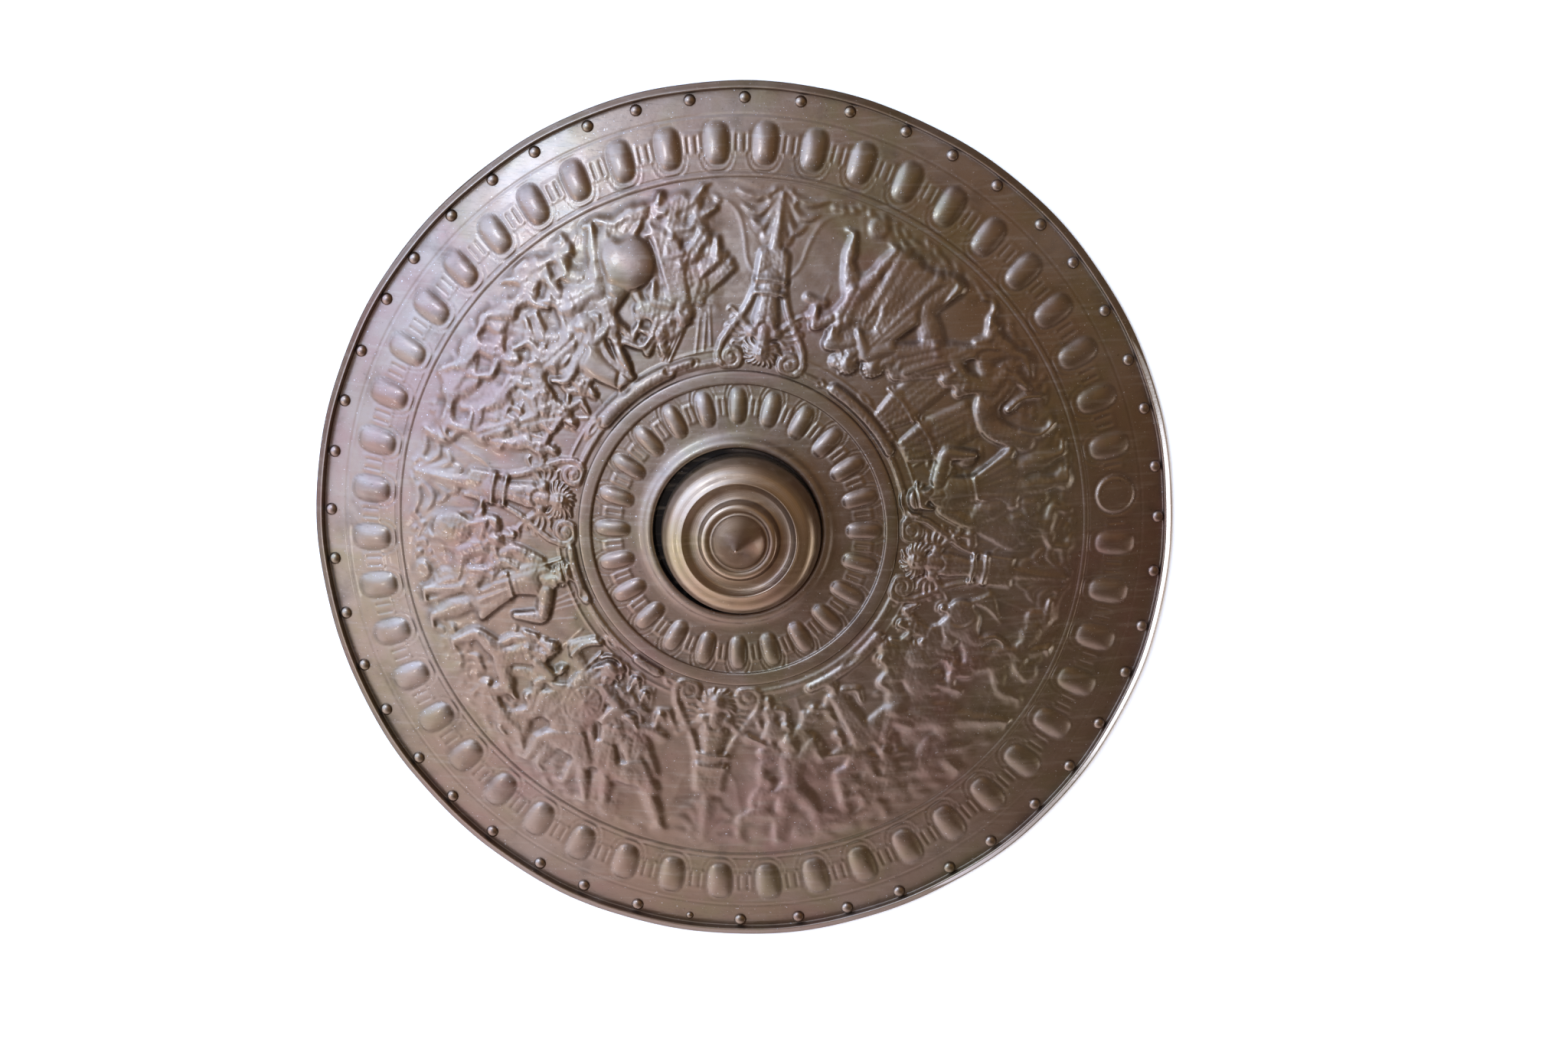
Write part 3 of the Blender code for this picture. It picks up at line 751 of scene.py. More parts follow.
RIDER = Pose(
    (0.0, 0.46), (0.05, 0.69), (0.10, 0.86), ((-0.22, 0.84), (0.28, 0.60)), ((0.12, 0.06), (0.20, 0.12)),
)
BEND = Pose(
    (0.0, 0.47), (0.20, 0.58), (0.36, 0.56), ((0.30, 0.20), (0.46, 0.26)), ((-0.16, 0.0), (0.14, 0.0)),
    elbows=(-1.0, -1.0),
)
CROUCH = Pose(
    (0.0, 0.30), (0.14, 0.46), (0.28, 0.56), ((0.10, 0.10), (0.40, 0.30)), ((-0.20, 0.0), (0.16, 0.0)),
)
REACH = Pose(
    (0.0, 0.46), (0.16, 0.63), (0.29, 0.74), ((0.02, 0.34), (0.52, 0.66)), ((-0.34, 0.02), (0.14, 0.0)),
)
SIT = Pose(
    (0.0, 0.14), (-0.10, 0.36), (-0.12, 0.54), ((-0.34, 0.12), (0.24, 0.34)), ((0.40, 0.0), (0.34, 0.06)),
)
SPRAWL = Pose(
    (0.0, 0.16), (0.22, 0.20), (0.39, 0.15), ((0.50, 0.02), (0.30, 0.44)), ((-0.46, 0.10), (-0.30, 0.0)),
    elbows=(1.0, 1.0), knees=(1.0, -1.0), breadth=0.08,
)
ARCH = Pose(
    (0.0, 0.44), (0.23, 0.44), (0.38, 0.34), ((0.28, 0.10), (0.46, 0.12)), ((-0.22, 0.0), (0.06, 0.0)),
    elbows=(-1.0, -1.0), breadth=0.10,
)


class Body:
    """A posed body on a patch, with its joints in the patch's millimetres."""

    def __init__(self, pose: Pose, foot: Point, size: float) -> None:
        """Finds the joints.

        Args:
            pose: How the body stands.
            foot: Its ground point.
            size: Its height.
        """
        self.size = size
        self.bulk = 0.024 * size + 0.45
        self.wide = pose.breadth / Pose.USUAL_BREADTH
        points = (pose.hips, pose.chest, pose.head, *pose.hands, *pose.feet)
        placed = [(foot[0] + x * size, foot[1] + y * size) for x, y in points]
        self.hips, self.chest, self.head = placed[:3]
        self.hands, self.feet = placed[3:5], placed[5:]
        spine = (self.chest[0] - self.hips[0]) / size, (self.chest[1] - self.hips[1]) / size
        length = hypot(*spine)
        self.up = spine[0] / length, spine[1] / length
        self.waist = mix(self.hips, self.chest, 0.42)
        self.shoulders = [self.on(self.chest, pose.breadth * side, 0.055) for side in (-1, 1)]
        self.thighs = [self.on(self.hips, 0.04 * side, -0.01) for side in (-1, 1)]
        self.elbows = [
            two_bones(a, b, 0.175 * size, 0.165 * size, bend)
            for a, b, bend in zip(self.shoulders, self.hands, pose.elbows)
        ]
        self.knees = [
            two_bones(a, b, 0.25 * size, 0.25 * size, bend)
            for a, b, bend in zip(self.thighs, self.feet, pose.knees)
        ]

    def on(self, base: Point, across: float, along: float) -> Point:
        """Finds a point near a joint.

        Args:
            base: The joint.
            across: How far it is across the spine, as a share of the height.
            along: How far it is up the spine, as a share of the height.

        Returns:
            The point.
        """
        (x, y), size = self.up, self.size
        return base[0] + (y * across + x * along) * size, base[1] + (y * along - x * across) * size


@dataclass(frozen=True)
class Person:
    """One carved figure, with its place and size as shares of the band's width.

    Attributes:
        pose: How it stands.
        bearing: Where its ground point is.
        ground: How far its ground point is from the band's outer edge.
        tall: Its height.
        faces: 1 to look along the bearing, -1 to look against it.
        kit: What it wears and carries.
        lift: How far it stands over what is behind it, in millimetres.
        lean: Turn of the whole figure in degrees.
    """

    pose: Pose
    bearing: float
    ground: float
    tall: float
    faces: int = 1
    kit: Kit = Kit.NONE
    lift: float = 1.2
    lean: float = 0.0

    def carve(self, canvas: Canvas) -> None:
        """Carves the figure into the band."""
        size = self.tall * canvas.width
        radius = canvas.level(self.ground)
        clay = Clay(canvas, self.bearing, radius, self.faces, self.lean, size * 1.35, size * 0.5, size * 0.85)
        self.carve_on(clay, (0.0, 0.0), size)
        clay.keep()

    def carve_on(self, clay: Clay, foot: Point, size: float) -> None:
        """Carves the figure on a patch.

        Args:
            clay: The patch.
            foot: The figure's ground point there.
            size: Its height in millimetres.
        """
        body = Body(self.pose, foot, size)
        if Kit.CLOAK in self.kit:
            self._cloak(clay, body)
        far = Layer(clay)
        self._arm(far, body, 0, 0.75)
        self._leg(far, body, 1, 0.85)
        far.lay(self.lift * 0.7)
        near = Layer(clay, 0.5)
        self._leg(near, body, 0, 1.0)
        self._torso(near, body)
        near.lay(self.lift)
        if self.kit & (Kit.TUNIC | Kit.CUIRASS):
            self._skirt(clay, body)
        if Kit.ROBE in self.kit:
            self._robe(clay, body)
        self.carve_head(clay, body.head, body.chest, 1.2 * size, body.bulk)
        arm = Layer(clay)
        self._arm(arm, body, 1, 0.9)
        arm.lay(self.lift + 0.45 * body.bulk)

    def _cloak(self, clay: Clay, body: Body) -> None:
        """Lays a cloak that flies behind the body."""
        cloak = Layer(clay, 0.1)
        top = body.on(body.chest, -0.10, 0.09), body.on(body.chest, 0.03, 0.02)
        hem = body.on(body.hips, -0.46, -0.10), body.on(body.hips, -0.12, -0.34)
        drape(cloak, top, hem, 6, -0.10, 0.6 * body.bulk, int(self.bearing))
        cloak.lay(self.lift * 0.5)

    def _skirt(self, clay: Clay, body: Body) -> None:
        """Lays the pleated skirt of a tunic or a cuirass, with its belt."""
        skirt = Layer(clay, 0.1)
        top = body.on(body.hips, -0.075, 0.06), body.on(body.hips, 0.075, 0.06)
        drop = mix(body.hips, mix(body.knees[0], body.knees[1], 0.5), 0.62)
        flare = 0.14 + 0.25 * abs(body.feet[0][0] - body.feet[1][0]) / body.size
        half = flare * body.size * body.up[1]
        hem = (drop[0] - half, drop[1]), (drop[0] + half, drop[1])
        drape(skirt, top, hem, 7, 0.02, 0.7 * body.bulk, int(self.bearing) + 3)
        skirt.limb(top, [0.018 * body.size] * 2, 0.9 * body.bulk, 0.5)
        skirt.lay(self.lift + 0.35 * body.bulk, 0.3)

    def _robe(self, clay: Clay, body: Body) -> None:
        """Lays a robe that hangs from the shoulders to the feet."""
        size, (left, right) = body.size, body.feet
        robe = Layer(clay, 0.15)
        top = body.on(body.chest, -0.085, 0.05), body.on(body.chest, 0.085, 0.05)
        hem = (
            (left[0] - 0.07 * size, left[1] + 0.03 * size),
            (right[0] + 0.05 * size, right[1] + 0.03 * size),
        )
        drape(robe, top, hem, 7, 0.03, body.bulk, int(self.bearing) + 5)
        belt = body.on(body.hips, -0.08, 0.12), body.on(body.hips, 0.08, 0.09)
        robe.limb(belt, [0.014 * size] * 2, body.bulk, 0.5)
        robe.lay(self.lift + 0.2 * body.bulk, 0.35)

    def _arm(self, layer: Layer, body: Body, side: int, share: float) -> None:
        """Adds an arm with its shoulder and hand.

        Args:
            layer: The layer to work on.
            body: The body it belongs to.
            side: 0 for the far arm, 1 for the near one.
            share: Its height as a share of the body's.
        """
        shoulder, elbow, hand = body.shoulders[side], body.elbows[side], body.hands[side]
        size, bulk = body.size, body.bulk * share
        joints = shoulder, mix(shoulder, elbow, 0.5), elbow, mix(elbow, hand, 0.35), hand
        layer.taper(joints, (0.054, 0.056, 0.043, 0.048, 0.029), size, bulk, least=1.5, more=0.35)
        layer.oval(shoulder, 0.056 * size, 0.050 * size, bulk * 1.05)
        layer.oval(mix(elbow, hand, 1.08), 0.034 * size, 0.028 * size, bulk * 0.9)
        if self.kit & (Kit.CUIRASS | Kit.TUNIC):
            for place in (0.42, 0.52):
                layer.crease(square_to(shoulder, elbow, mix(shoulder, elbow, place), 0.05 * size), 0.5, 0.5)

    @staticmethod
    def _leg(layer: Layer, body: Body, side: int, share: float) -> None:
        """Adds a leg with its knee, calf and foot.

        Args:
            layer: The layer to work on.
            body: The body it belongs to.
            side: 0 for the near leg, 1 for the far one.
            share: Its height as a share of the body's.
        """
        hip, knee, foot = body.thighs[side], body.knees[side], body.feet[side]
        size, bulk = body.size, body.bulk * share
        shin = mix(knee, foot, 0.32), mix(knee, foot, 0.68), mix(knee, foot, 0.94)
        joints = hip, mix(hip, knee, 0.45), knee, *shin
        layer.taper(joints, (0.092, 0.088, 0.056, 0.065, 0.041, 0.029), size, bulk, least=1.6, more=0.35)
        layer.swell(knee, 0.038 * size, 0.032 * size, 0.3 * bulk)
        layer.swell(mix(hip, knee, 0.45), 0.06 * size, 0.034 * size, 0.25 * bulk)
        toe = foot[0] + 0.075 * size, foot[1] - 0.008 * size
        layer.limb((foot, toe), [0.026 * size, 0.018 * size], 0.8 * bulk)

    def _torso(self, layer: Layer, body: Body) -> None:
        """Adds the trunk with its muscles, or with a cuirass's plainer form.

        Args:
            layer: The layer to work on.
            body: The body it belongs to.
        """
        on, size, bulk = body.on, body.size, body.bulk
        hips, waist, chest = body.hips, body.waist, body.chest
        radii = [size * r for r in (0.100, 0.086 * body.wide, 0.120 * body.wide, 0.085)]
        layer.limb((hips, waist, chest, on(chest, 0.0, 0.06)), radii, 1.15 * bulk, 0.5)
        if Kit.BACK_VIEW in self.kit:
            layer.crease(bow((on(hips, 0.0, -0.06), waist, on(chest, 0.0, 0.08))), 0.9, 0.8)
            for s in (-1, 1):
                layer.swell(on(chest, 0.05 * s, 0.02), 0.05 * size, 0.03 * size, 0.3 * bulk, 60.0 * s)
                layer.swell(on(hips, 0.038 * s, -0.035), 0.045 * size, 0.038 * size, 0.45 * bulk)
            return
        if self.kit & (Kit.CUIRASS | Kit.ROBE):
            layer.crease(bow((on(chest, -0.07, 0.05), on(chest, 0.0, 0.0), on(chest, 0.07, 0.05))), 0.5, 0.4)
            layer.crease((on(waist, -0.08, -0.02), on(waist, 0.08, -0.02)), 0.5, 0.6)
            layer.crease((on(waist, -0.08, 0.02), on(waist, 0.08, 0.02)), 0.5, 0.5)
            return
        for s in (-1, 1):
            breast = on(chest, 0.0, -0.03), on(chest, 0.05 * s, -0.035), on(chest, 0.085 * s, 0.0)
            flank = on(chest, 0.0, -0.05), on(waist, 0.05 * s, 0.05), on(waist, 0.065 * s, -0.01)
            layer.swell(on(chest, 0.043 * s, 0.01), 0.042 * size, 0.032 * size, 0.32 * bulk)
            layer.crease(bow(breast), 0.5, 0.5)
            layer.crease(bow(flank), 0.5, 0.4)
        layer.crease((on(chest, 0.0, 0.06), on(hips, 0.0, 0.02)), 0.6, 0.5)
        layer.crease((on(waist, -0.04, 0.01), on(waist, 0.04, 0.01)), 0.5, 0.3)

    def carve_head(self, clay: Clay, head: Point, chest: Point, size: float, bulk: float) -> None:
        """Lays the neck and head, with hair, beard or helmet.

        Args:
            clay: The patch.
            head: Middle of the head.
            chest: Middle of the chest.
            size: Height of the figure that the head fits.
            bulk: Height of its rounded forms.
        """
        dx, dy = head[0] - chest[0], head[1] - chest[1]
        tilt = degrees(atan(-dx / dy)) * 0.4 if dy > 0 else 40.0
        s, c = sin(radians(tilt)), cos(radians(tilt))

        def at(x: float, y: float) -> Point:
            """Point on the head, as shares of the height."""
            return head[0] + (x * c - y * s) * size, head[1] + (x * s + y * c) * size

        neck = Layer(clay)
        neck.limb((mix(chest, head, 0.35), head), [0.036 * size, 0.030 * size], bulk * 0.9)
        neck.lay(self.lift + 0.2 * bulk, 0.2)
        face = Layer(clay, 0.25)
        face.oval(at(-0.008, 0.012), 0.054 * size, 0.056 * size, 1.35 * bulk)
        face.limb((at(0.012, 0.0), at(0.020, -0.042)), [0.038 * size, 0.024 * size], 1.25 * bulk)
        nose = [0.006 * size + 0.3, 0.009 * size + 0.3]
        face.limb((at(0.042, 0.008), at(0.056, -0.012)), nose, 0.8 * bulk)
        face.limb((at(0.034, 0.019), at(0.050, 0.016)), [0.008 * size + 0.2] * 2, 1.0 * bulk)
        face.oval(at(0.032, -0.052), 0.014 * size + 0.2, 0.012 * size + 0.2, 0.95 * bulk)
        face.crease((at(0.026, 0.005), at(0.042, 0.006)), 0.5, 0.5)
        face.crease((at(0.028, -0.032), at(0.052, -0.030)), 0.4, 0.35)
        face.lay(self.lift + 0.3 * bulk)
        if Kit.HELMET in self.kit:
            self._helmet(clay, at, tilt, size, bulk)
        else:
            hair = Layer(clay, 0.0)
            spots = [at(0.052 * x - 0.012, 0.056 * y + 0.016) for x, y in directions(range(40, 260, 26))]
            spots += [at(0.030 * x - 0.016, 0.032 * y + 0.022) for x, y in directions(range(50, 250, 45))]
            curls(hair, spots, 0.020 * size, 0.9 * bulk, int(self.bearing * 3))
            hair.lay(self.lift + 0.65 * bulk, 0.2)
        if Kit.BEARD in self.kit:
            beard = Layer(clay, 0.0)
            for i in range(5):
                root = at(-0.002 + 0.012 * i, -0.036)
                tip = at(0.002 + 0.016 * i, -0.105 + 0.008 * abs(i - 2))
                beard.limb(bow((root, mix(root, tip, 0.5), tip), 3), [0.011 * size] * 7, bulk)
            beard.lay(self.lift + 0.5 * bulk, 0.3)

    def _helmet(
        self, clay: Clay, at: Callable[[float, float], Point], tilt: float, size: float, bulk: float
    ) -> None:
        """Lays a helmet with its neck guard, peak and crest or plume.

        Args:
            clay: The patch.
            at: Gives a point on the head.
            tilt: Turn of the head in degrees.
            size: Height of the figure that the head fits.
            bulk: Height of its rounded forms.
        """
        bowl = Layer(clay, 0.3)
        bowl.oval(at(-0.010, 0.030), 0.064 * size, 0.050 * size, 1.3 * bulk, tilt, 0.5)
        bowl.limb((at(-0.055, 0.0), at(-0.074, -0.045)), [0.024 * size, 0.014 * size], bulk)
        bowl.limb((at(0.030, 0.022), at(0.080, 0.014)), [0.012 * size, 0.008 * size], 0.9 * bulk)
        bowl.crease((at(-0.07, 0.016), at(0.06, 0.022)), 0.5, 0.6)
        bowl.lay(self.lift + 0.35 * bulk)
        crest = Layer(clay, 0.0)
        ridge = [at(0.085 * x - 0.012, 0.085 * y + 0.022) for x, y in directions(range(50, 200, 25))]
        if Kit.PLUME in self.kit:
            middle = at(0.0, 0.0)
            radii = [0.012 * size] * 4 + [0.016 * size] * 3
            for i, knot in enumerate(ridge):
                sweep = at(-0.10 - 0.02 * i, 0.13 - 0.035 * i)
                crest.limb(bow((mix(middle, knot, 0.7), knot, sweep), 3), radii, bulk)
        else:
            crest.limb(ridge, [0.015 * size] * len(ridge), bulk * 0.9)
        crest.lay(self.lift + 0.1 * bulk)


@dataclass(frozen=True)
class RoundShield:
    """A round or oval shield in the relief.

    Attributes:
        long: Half-length in millimetres.
        wide: Half-width in millimetres.
        petals: Flutes round its middle.
    """

    long: float
    wide: float
    petals: int = 12

    def lay_on(self, clay: Clay, centre: Point, lift: float, turn: float = 0.0) -> None:
        """Lays the shield on a patch.

        Args:
            clay: The patch.
            centre: Its middle.
            lift: How far its edge stands over the ground.
            turn: Direction of its length in degrees.
        """
        layer = Layer(clay, 0.0)
        layer.oval(centre, self.long, self.wide, 1.9, turn, 0.45)
        box, share = layer.near_oval(centre, self.long, self.wide, turn)
        if box is None:
            return
        angle = np.arctan2(clay.v[box] - centre[1], clay.u[box] - centre[0])
        inside = share < 1
        flutes = 0.28 * np.cos(self.petals * angle) * smooth(0.2, 0.35, share) * smooth(0.74, 0.62, share)
        rims = 0.6 * bell(share - 0.9, 0.07) + 0.4 * bell(share - 0.7, 0.035)
        layer.height[box] += (rims + flutes) * inside
        layer.height[box] += 0.9 * bell(share, 0.15) - 0.35 * bell(share - 0.8, 0.04)
        layer.lay(lift)


@dataclass(frozen=True)
class Steed:
    """A galloping horse, with its place and length as shares of the band's width.

    Attributes:
        bearing: Where its ground point is.
        ground: How far its ground point is from the band's outer edge.
        long: Length of its trunk.
        faces: 1 to look along the bearing, -1 to look against it.
        rear: How far its forehand is raised, in degrees.
        lift: How far it stands over what is behind it, in millimetres.
        rider: Its rider, if it has one.
    """

    bearing: float
    ground: float
    long: float
    faces: int
    rear: float
    lift: float
    rider: Person | None = None

    def carve(self, canvas: Canvas) -> None:
        """Carves the horse into the band."""
        size = self.long * canvas.width
        radius = canvas.level(self.ground)
        clay = Clay(canvas, self.bearing, radius, self.faces, 0.0, size * 2.1, size * 1.0, size * 1.6)
        bulk = 0.034 * size + 0.5
        self._far_legs(clay, size, bulk)
        self._tail(clay, size, bulk)
        self._trunk(clay, size, bulk)
        self._head(clay, size, bulk)
        if self.rider is not None:
            cloth = Layer(clay, 0.1)
            corners = self._fore(size, (-0.16, 0.94), (0.14, 0.93), (-0.20, 0.66), (0.16, 0.64))
            drape(cloth, corners[:2], corners[2:], 5, 0.0, 0.5 * bulk, 4)
            cloth.lay(self.lift + 0.7 * bulk, 0.3)
            seat, tall = self._fore(size, (-0.06, 0.90))[0], self.rider.tall * canvas.width
            self.rider.carve_on(clay, (seat[0], seat[1] - 0.46 * tall), tall)
        clay.keep()

    @staticmethod
    def _low(size: float, *points: Point) -> list[Point]:
        """Places points of the hind quarters, which stay on the ground.

        Args:
            size: Length of the trunk in millimetres.
            points: The points, as shares of it.

        Returns:
            The points on the patch.
        """
        return [(x * size, y * size) for x, y in points]

    def _fore(self, size: float, *points: Point) -> list[Point]:
        """Places points of the forehand, which is raised about the haunches.

        Args:
            size: Length of the trunk in millimetres.
            points: The points, as shares of it.

        Returns:
            The points on the patch.
        """
        s, c = sin(radians(self.rear)), cos(radians(self.rear))
        moved = [(x + 0.40, y - 0.70) for x, y in points]
        return [((x * c - y * s - 0.40) * size, (x * s + y * c + 0.70) * size) for x, y in moved]

    def _trunk(self, clay: Clay, size: float, bulk: float) -> None:
        """Lays the trunk, the neck and the legs on the near side.

        Args:
            clay: The patch.
            size: Length of the trunk in millimetres.
            bulk: Height of its rounded forms.
        """
        trunk = Layer(clay, 0.6)
        barrel = self._fore(size, (-0.44, 0.76), (-0.20, 0.79), (0.10, 0.75), (0.34, 0.78))
        trunk.taper(barrel, (0.215, 0.185, 0.20, 0.18), size, 1.45 * bulk, 0.6)
        neck = bow(self._fore(size, (0.28, 0.86), (0.44, 1.04), (0.50, 1.20)), 3)
        trunk.limb(neck, list(np.linspace(0.17, 0.095, len(neck)) * size), bulk * 1.2)
        hind = self._low(size, (-0.42, 0.68), (-0.30, 0.48), (-0.46, 0.30), (-0.42, 0.10), (-0.36, 0.02))
        trunk.taper(hind, (0.15, 0.10, 0.052, 0.034, 0.042), size, bulk)
        fore = self._fore(size, (0.32, 0.66), (0.54, 0.58), (0.52, 0.38), (0.43, 0.31))
        trunk.taper(fore, (0.105, 0.052, 0.033, 0.040), size, bulk)
        croup, shoulder = self._fore(size, (-0.42, 0.76), (0.30, 0.72))
        trunk.swell(croup, 0.20 * size, 0.18 * size, 0.55 * bulk)
        trunk.swell(shoulder, 0.12 * size, 0.14 * size, 0.25 * bulk)
        for line, width, depth in (
            (((0.20, 0.90), (0.18, 0.74), (0.24, 0.60)), 0.9, 0.6),
            (((-0.24, 0.90), (-0.20, 0.74), (-0.24, 0.60)), 0.9, 0.5),
            (((0.24, 0.98), (0.38, 0.90), (0.48, 0.80)), 0.6, 0.5),
        ):
            trunk.crease(bow(self._fore(size, *line)), width, depth)
        trunk.lay(self.lift)

    def _far_legs(self, clay: Clay, size: float, bulk: float) -> None:
        """Lays the legs on the far side.

        Args:
            clay: The patch.
            size: Length of the trunk in millimetres.
            bulk: Height of its rounded forms.
        """
        legs = Layer(clay)
        hind = self._low(size, (-0.36, 0.64), (-0.16, 0.50), (-0.26, 0.29), (-0.18, 0.10), (-0.12, 0.02))
        legs.taper(hind, (0.13, 0.09, 0.048, 0.032, 0.040), size, bulk * 0.8)
        fore = self._fore(size, (0.36, 0.70), (0.62, 0.66), (0.68, 0.46), (0.62, 0.38))
        legs.taper(fore, (0.095, 0.050, 0.032, 0.040), size, bulk * 0.8)
        legs.lay(self.lift * 0.6)

    def _tail(self, clay: Clay, size: float, bulk: float) -> None:
        """Lays the tail in long locks.

        Args:
            clay: The patch.
            size: Length of the trunk in millimetres.
            bulk: Height of its rounded forms.
        """
        tail = Layer(clay, 0.0)
        radii = np.interp(range(13), (0, 7, 12), [0.025 * size, 0.034 * size, 0.008 * size])
        for i in range(5):
            out = 0.04 * i
            lock = (-0.54, 0.84), (-0.66 - out, 0.86 - out), (-0.74 - out, 0.62), (-0.66 - out, 0.34 + out)
            tail.limb(bow(self._low(size, *lock), 4), list(radii), bulk * 0.8)
        tail.lay(self.lift * 0.6)

    def _head(self, clay: Clay, size: float, bulk: float) -> None:
        """Lays the head, ears, bridle and mane.

        Args:
            clay: The patch.
            size: Length of the trunk in millimetres.
            bulk: Height of its rounded forms.
        """
        head = Layer(clay, 0.3)
        poll, cheek, muzzle = self._fore(size, (0.50, 1.20), (0.60, 1.06), (0.68, 0.93))
        head.limb((poll, cheek, muzzle), [size * r for r in (0.095, 0.070, 0.050)], 1.2 * bulk)
        brow, root, tip, eye = self._fore(size, (0.52, 1.14), (0.50, 1.27), (0.52, 1.36), (0.60, 1.15))
        head.oval(brow, 0.09 * size, 0.07 * size, 1.25 * bulk)
        head.limb((root, tip), [0.024 * size, 0.008 * size], bulk)
        head.swell(eye, 0.022 * size, 0.018 * size, 0.5 * bulk)
        for line, width, depth in (
            (((0.66, 0.93), (0.75, 1.0)), 0.5, 0.5),
            (((0.60, 1.02), (0.70, 1.09)), 0.6, 0.5),
            (((0.50, 1.10), (0.64, 1.20)), 0.6, 0.4),
        ):
            head.crease(self._fore(size, *line), width, depth)
        head.lay(self.lift + 0.35 * bulk)
        mane = Layer(clay, 0.0)
        top, withers = self._fore(size, (0.46, 1.30), (0.14, 0.96))
        for i in range(9):
            root = mix(top, withers, i / 8)
            tip = root[0] + 0.02 * size, root[1] - 0.17 * size
            middle = root[0] + 0.05 * size, root[1] - 0.06 * size
            lock = bow((root, middle, (tip[0] - 0.01 * size, tip[1])), 3)
            mane.limb(lock, [0.020 * size] * 5 + [0.008 * size] * 2, bulk * 0.8)
        mane.lay(self.lift + 0.55 * bulk, 0.2)


class Edge(Enum):
    """Section of a stroke."""

    ROUND = auto()
    STRAP = auto()
    BLADE = auto()
    REED = auto()


@dataclass(frozen=True)
class Stroke:
    """A strap, roll, lance or bundle along a path of bearings and shares of the band's width.

    Attributes:
        path: Points as a bearing and a share of the band's width from its outer edge.
        half: Half-width in millimetres, or one at each end.
        height: Height over its own edge in millimetres.
        edge: Its section.
        lift: How far its edge stands over what is behind it.
        curved: Whether it runs smoothly through its points.
    """

    path: tuple[Point, ...]
    half: float | tuple[float, float]
    height: float = 1.4
    edge: Edge = Edge.STRAP
    lift: float = 0.7
    curved: bool = True

    def carve(self, canvas: Canvas) -> None:
        """Carves the stroke into the band."""
        middle = self.path[len(self.path) // 2]
        reach = max(abs(p[0] - middle[0]) for p in self.path)
        clay = Clay.strip(canvas, middle[0], radians(reach + 8) * canvas.radius[0])
        dense = bow(self.path, 6) if self.curved else list(self.path)
        points = [clay.at(bearing, share) for bearing, share in dense]
        layer = Layer(clay, 0.2)
        if self.edge is Edge.STRAP:
            layer.ribbon(points, float(np.mean(self.half)), self.height)
        elif self.edge is Edge.REED:
            width = float(np.mean(self.half))
            for i in (-1, 0, 1):
                shifted = [(x + 0.62 * width * i, y + 0.35 * width * i) for x, y in points]
                layer.limb(shifted, [0.36 * width] * len(shifted), self.height, 0.6)
        else:
            ends = self.half if isinstance(self.half, tuple) else (self.half, self.half)
            full = 0.5 if self.edge is Edge.ROUND else 0.9
            layer.limb(points, list(np.linspace(ends[0], ends[1], len(points))), self.height, full)
        layer.lay(self.lift)
        clay.keep()


def roll(
    path: Sequence[Point], half: float | tuple[float, float], height: float, lift: float = 1.5,
    curved: bool = True,
) -> Stroke:
    """Makes a stroke with a round section.

    Args:
        path: As for a stroke.
        half: As for a stroke.
        height: As for a stroke.
        lift: As for a stroke.
        curved: As for a stroke.

    Returns:
        The stroke.
    """
    return Stroke(tuple(path), half, height, Edge.ROUND, lift, curved)


def lance(path: Sequence[Point], half: float | tuple[float, float]) -> Stroke:
    """Makes a straight lance in low relief.

    Args:
        path: As for a stroke.
        half: As for a stroke.

    Returns:
        The stroke.
    """
    return Stroke(tuple(path), half, 0.9, Edge.BLADE, 0.25, False)


@dataclass(frozen=True)
class Loop:
    """An oval eye in the strapwork.

    Attributes:
        bearing: Where its middle is.
        share: How far its middle is from the band's outer edge, as a share of the band's width.
        long: Half-length in millimetres.
        wide: Half-width in millimetres.
        height: Height of its rim.
    """

    bearing: float
    share: float
    long: float
    wide: float
    height: float = 1.8

    def carve(self, canvas: Canvas) -> None:
        """Carves the loop into the band."""
        clay = Clay.strip(canvas, self.bearing, 30.0)
        centre = clay.beside(0.0, self.share)
        layer = Layer(clay, 0.0)
        layer.oval(centre, self.long, self.wide, self.height, full=0.4)
        layer.swell(centre, 0.95 * self.long, 0.8 * self.wide, -1.15 * self.height)
        layer.lay(0.8)
        clay.keep()


@dataclass(frozen=True)
class Target:
    """A shield that stands or lies by itself in the fight.

    Attributes:
        bearing: Where its middle is.
        share: How far its middle is from the band's outer edge, as a share of the band's width.
        long: Half-length in millimetres.
        wide: Half-width in millimetres.
        turn: Direction of its length in degrees.
        lift: How far it stands over what is behind it.
    """

    bearing: float
    share: float
    long: float
    wide: float
    turn: float
    lift: float

    def carve(self, canvas: Canvas) -> None:
        """Carves the shield into the band."""
        clay = Clay.strip(canvas, self.bearing, 45.0)
        RoundShield(self.long, self.wide).lay_on(clay, clay.beside(0.0, self.share), self.lift, self.turn)
        clay.keep()


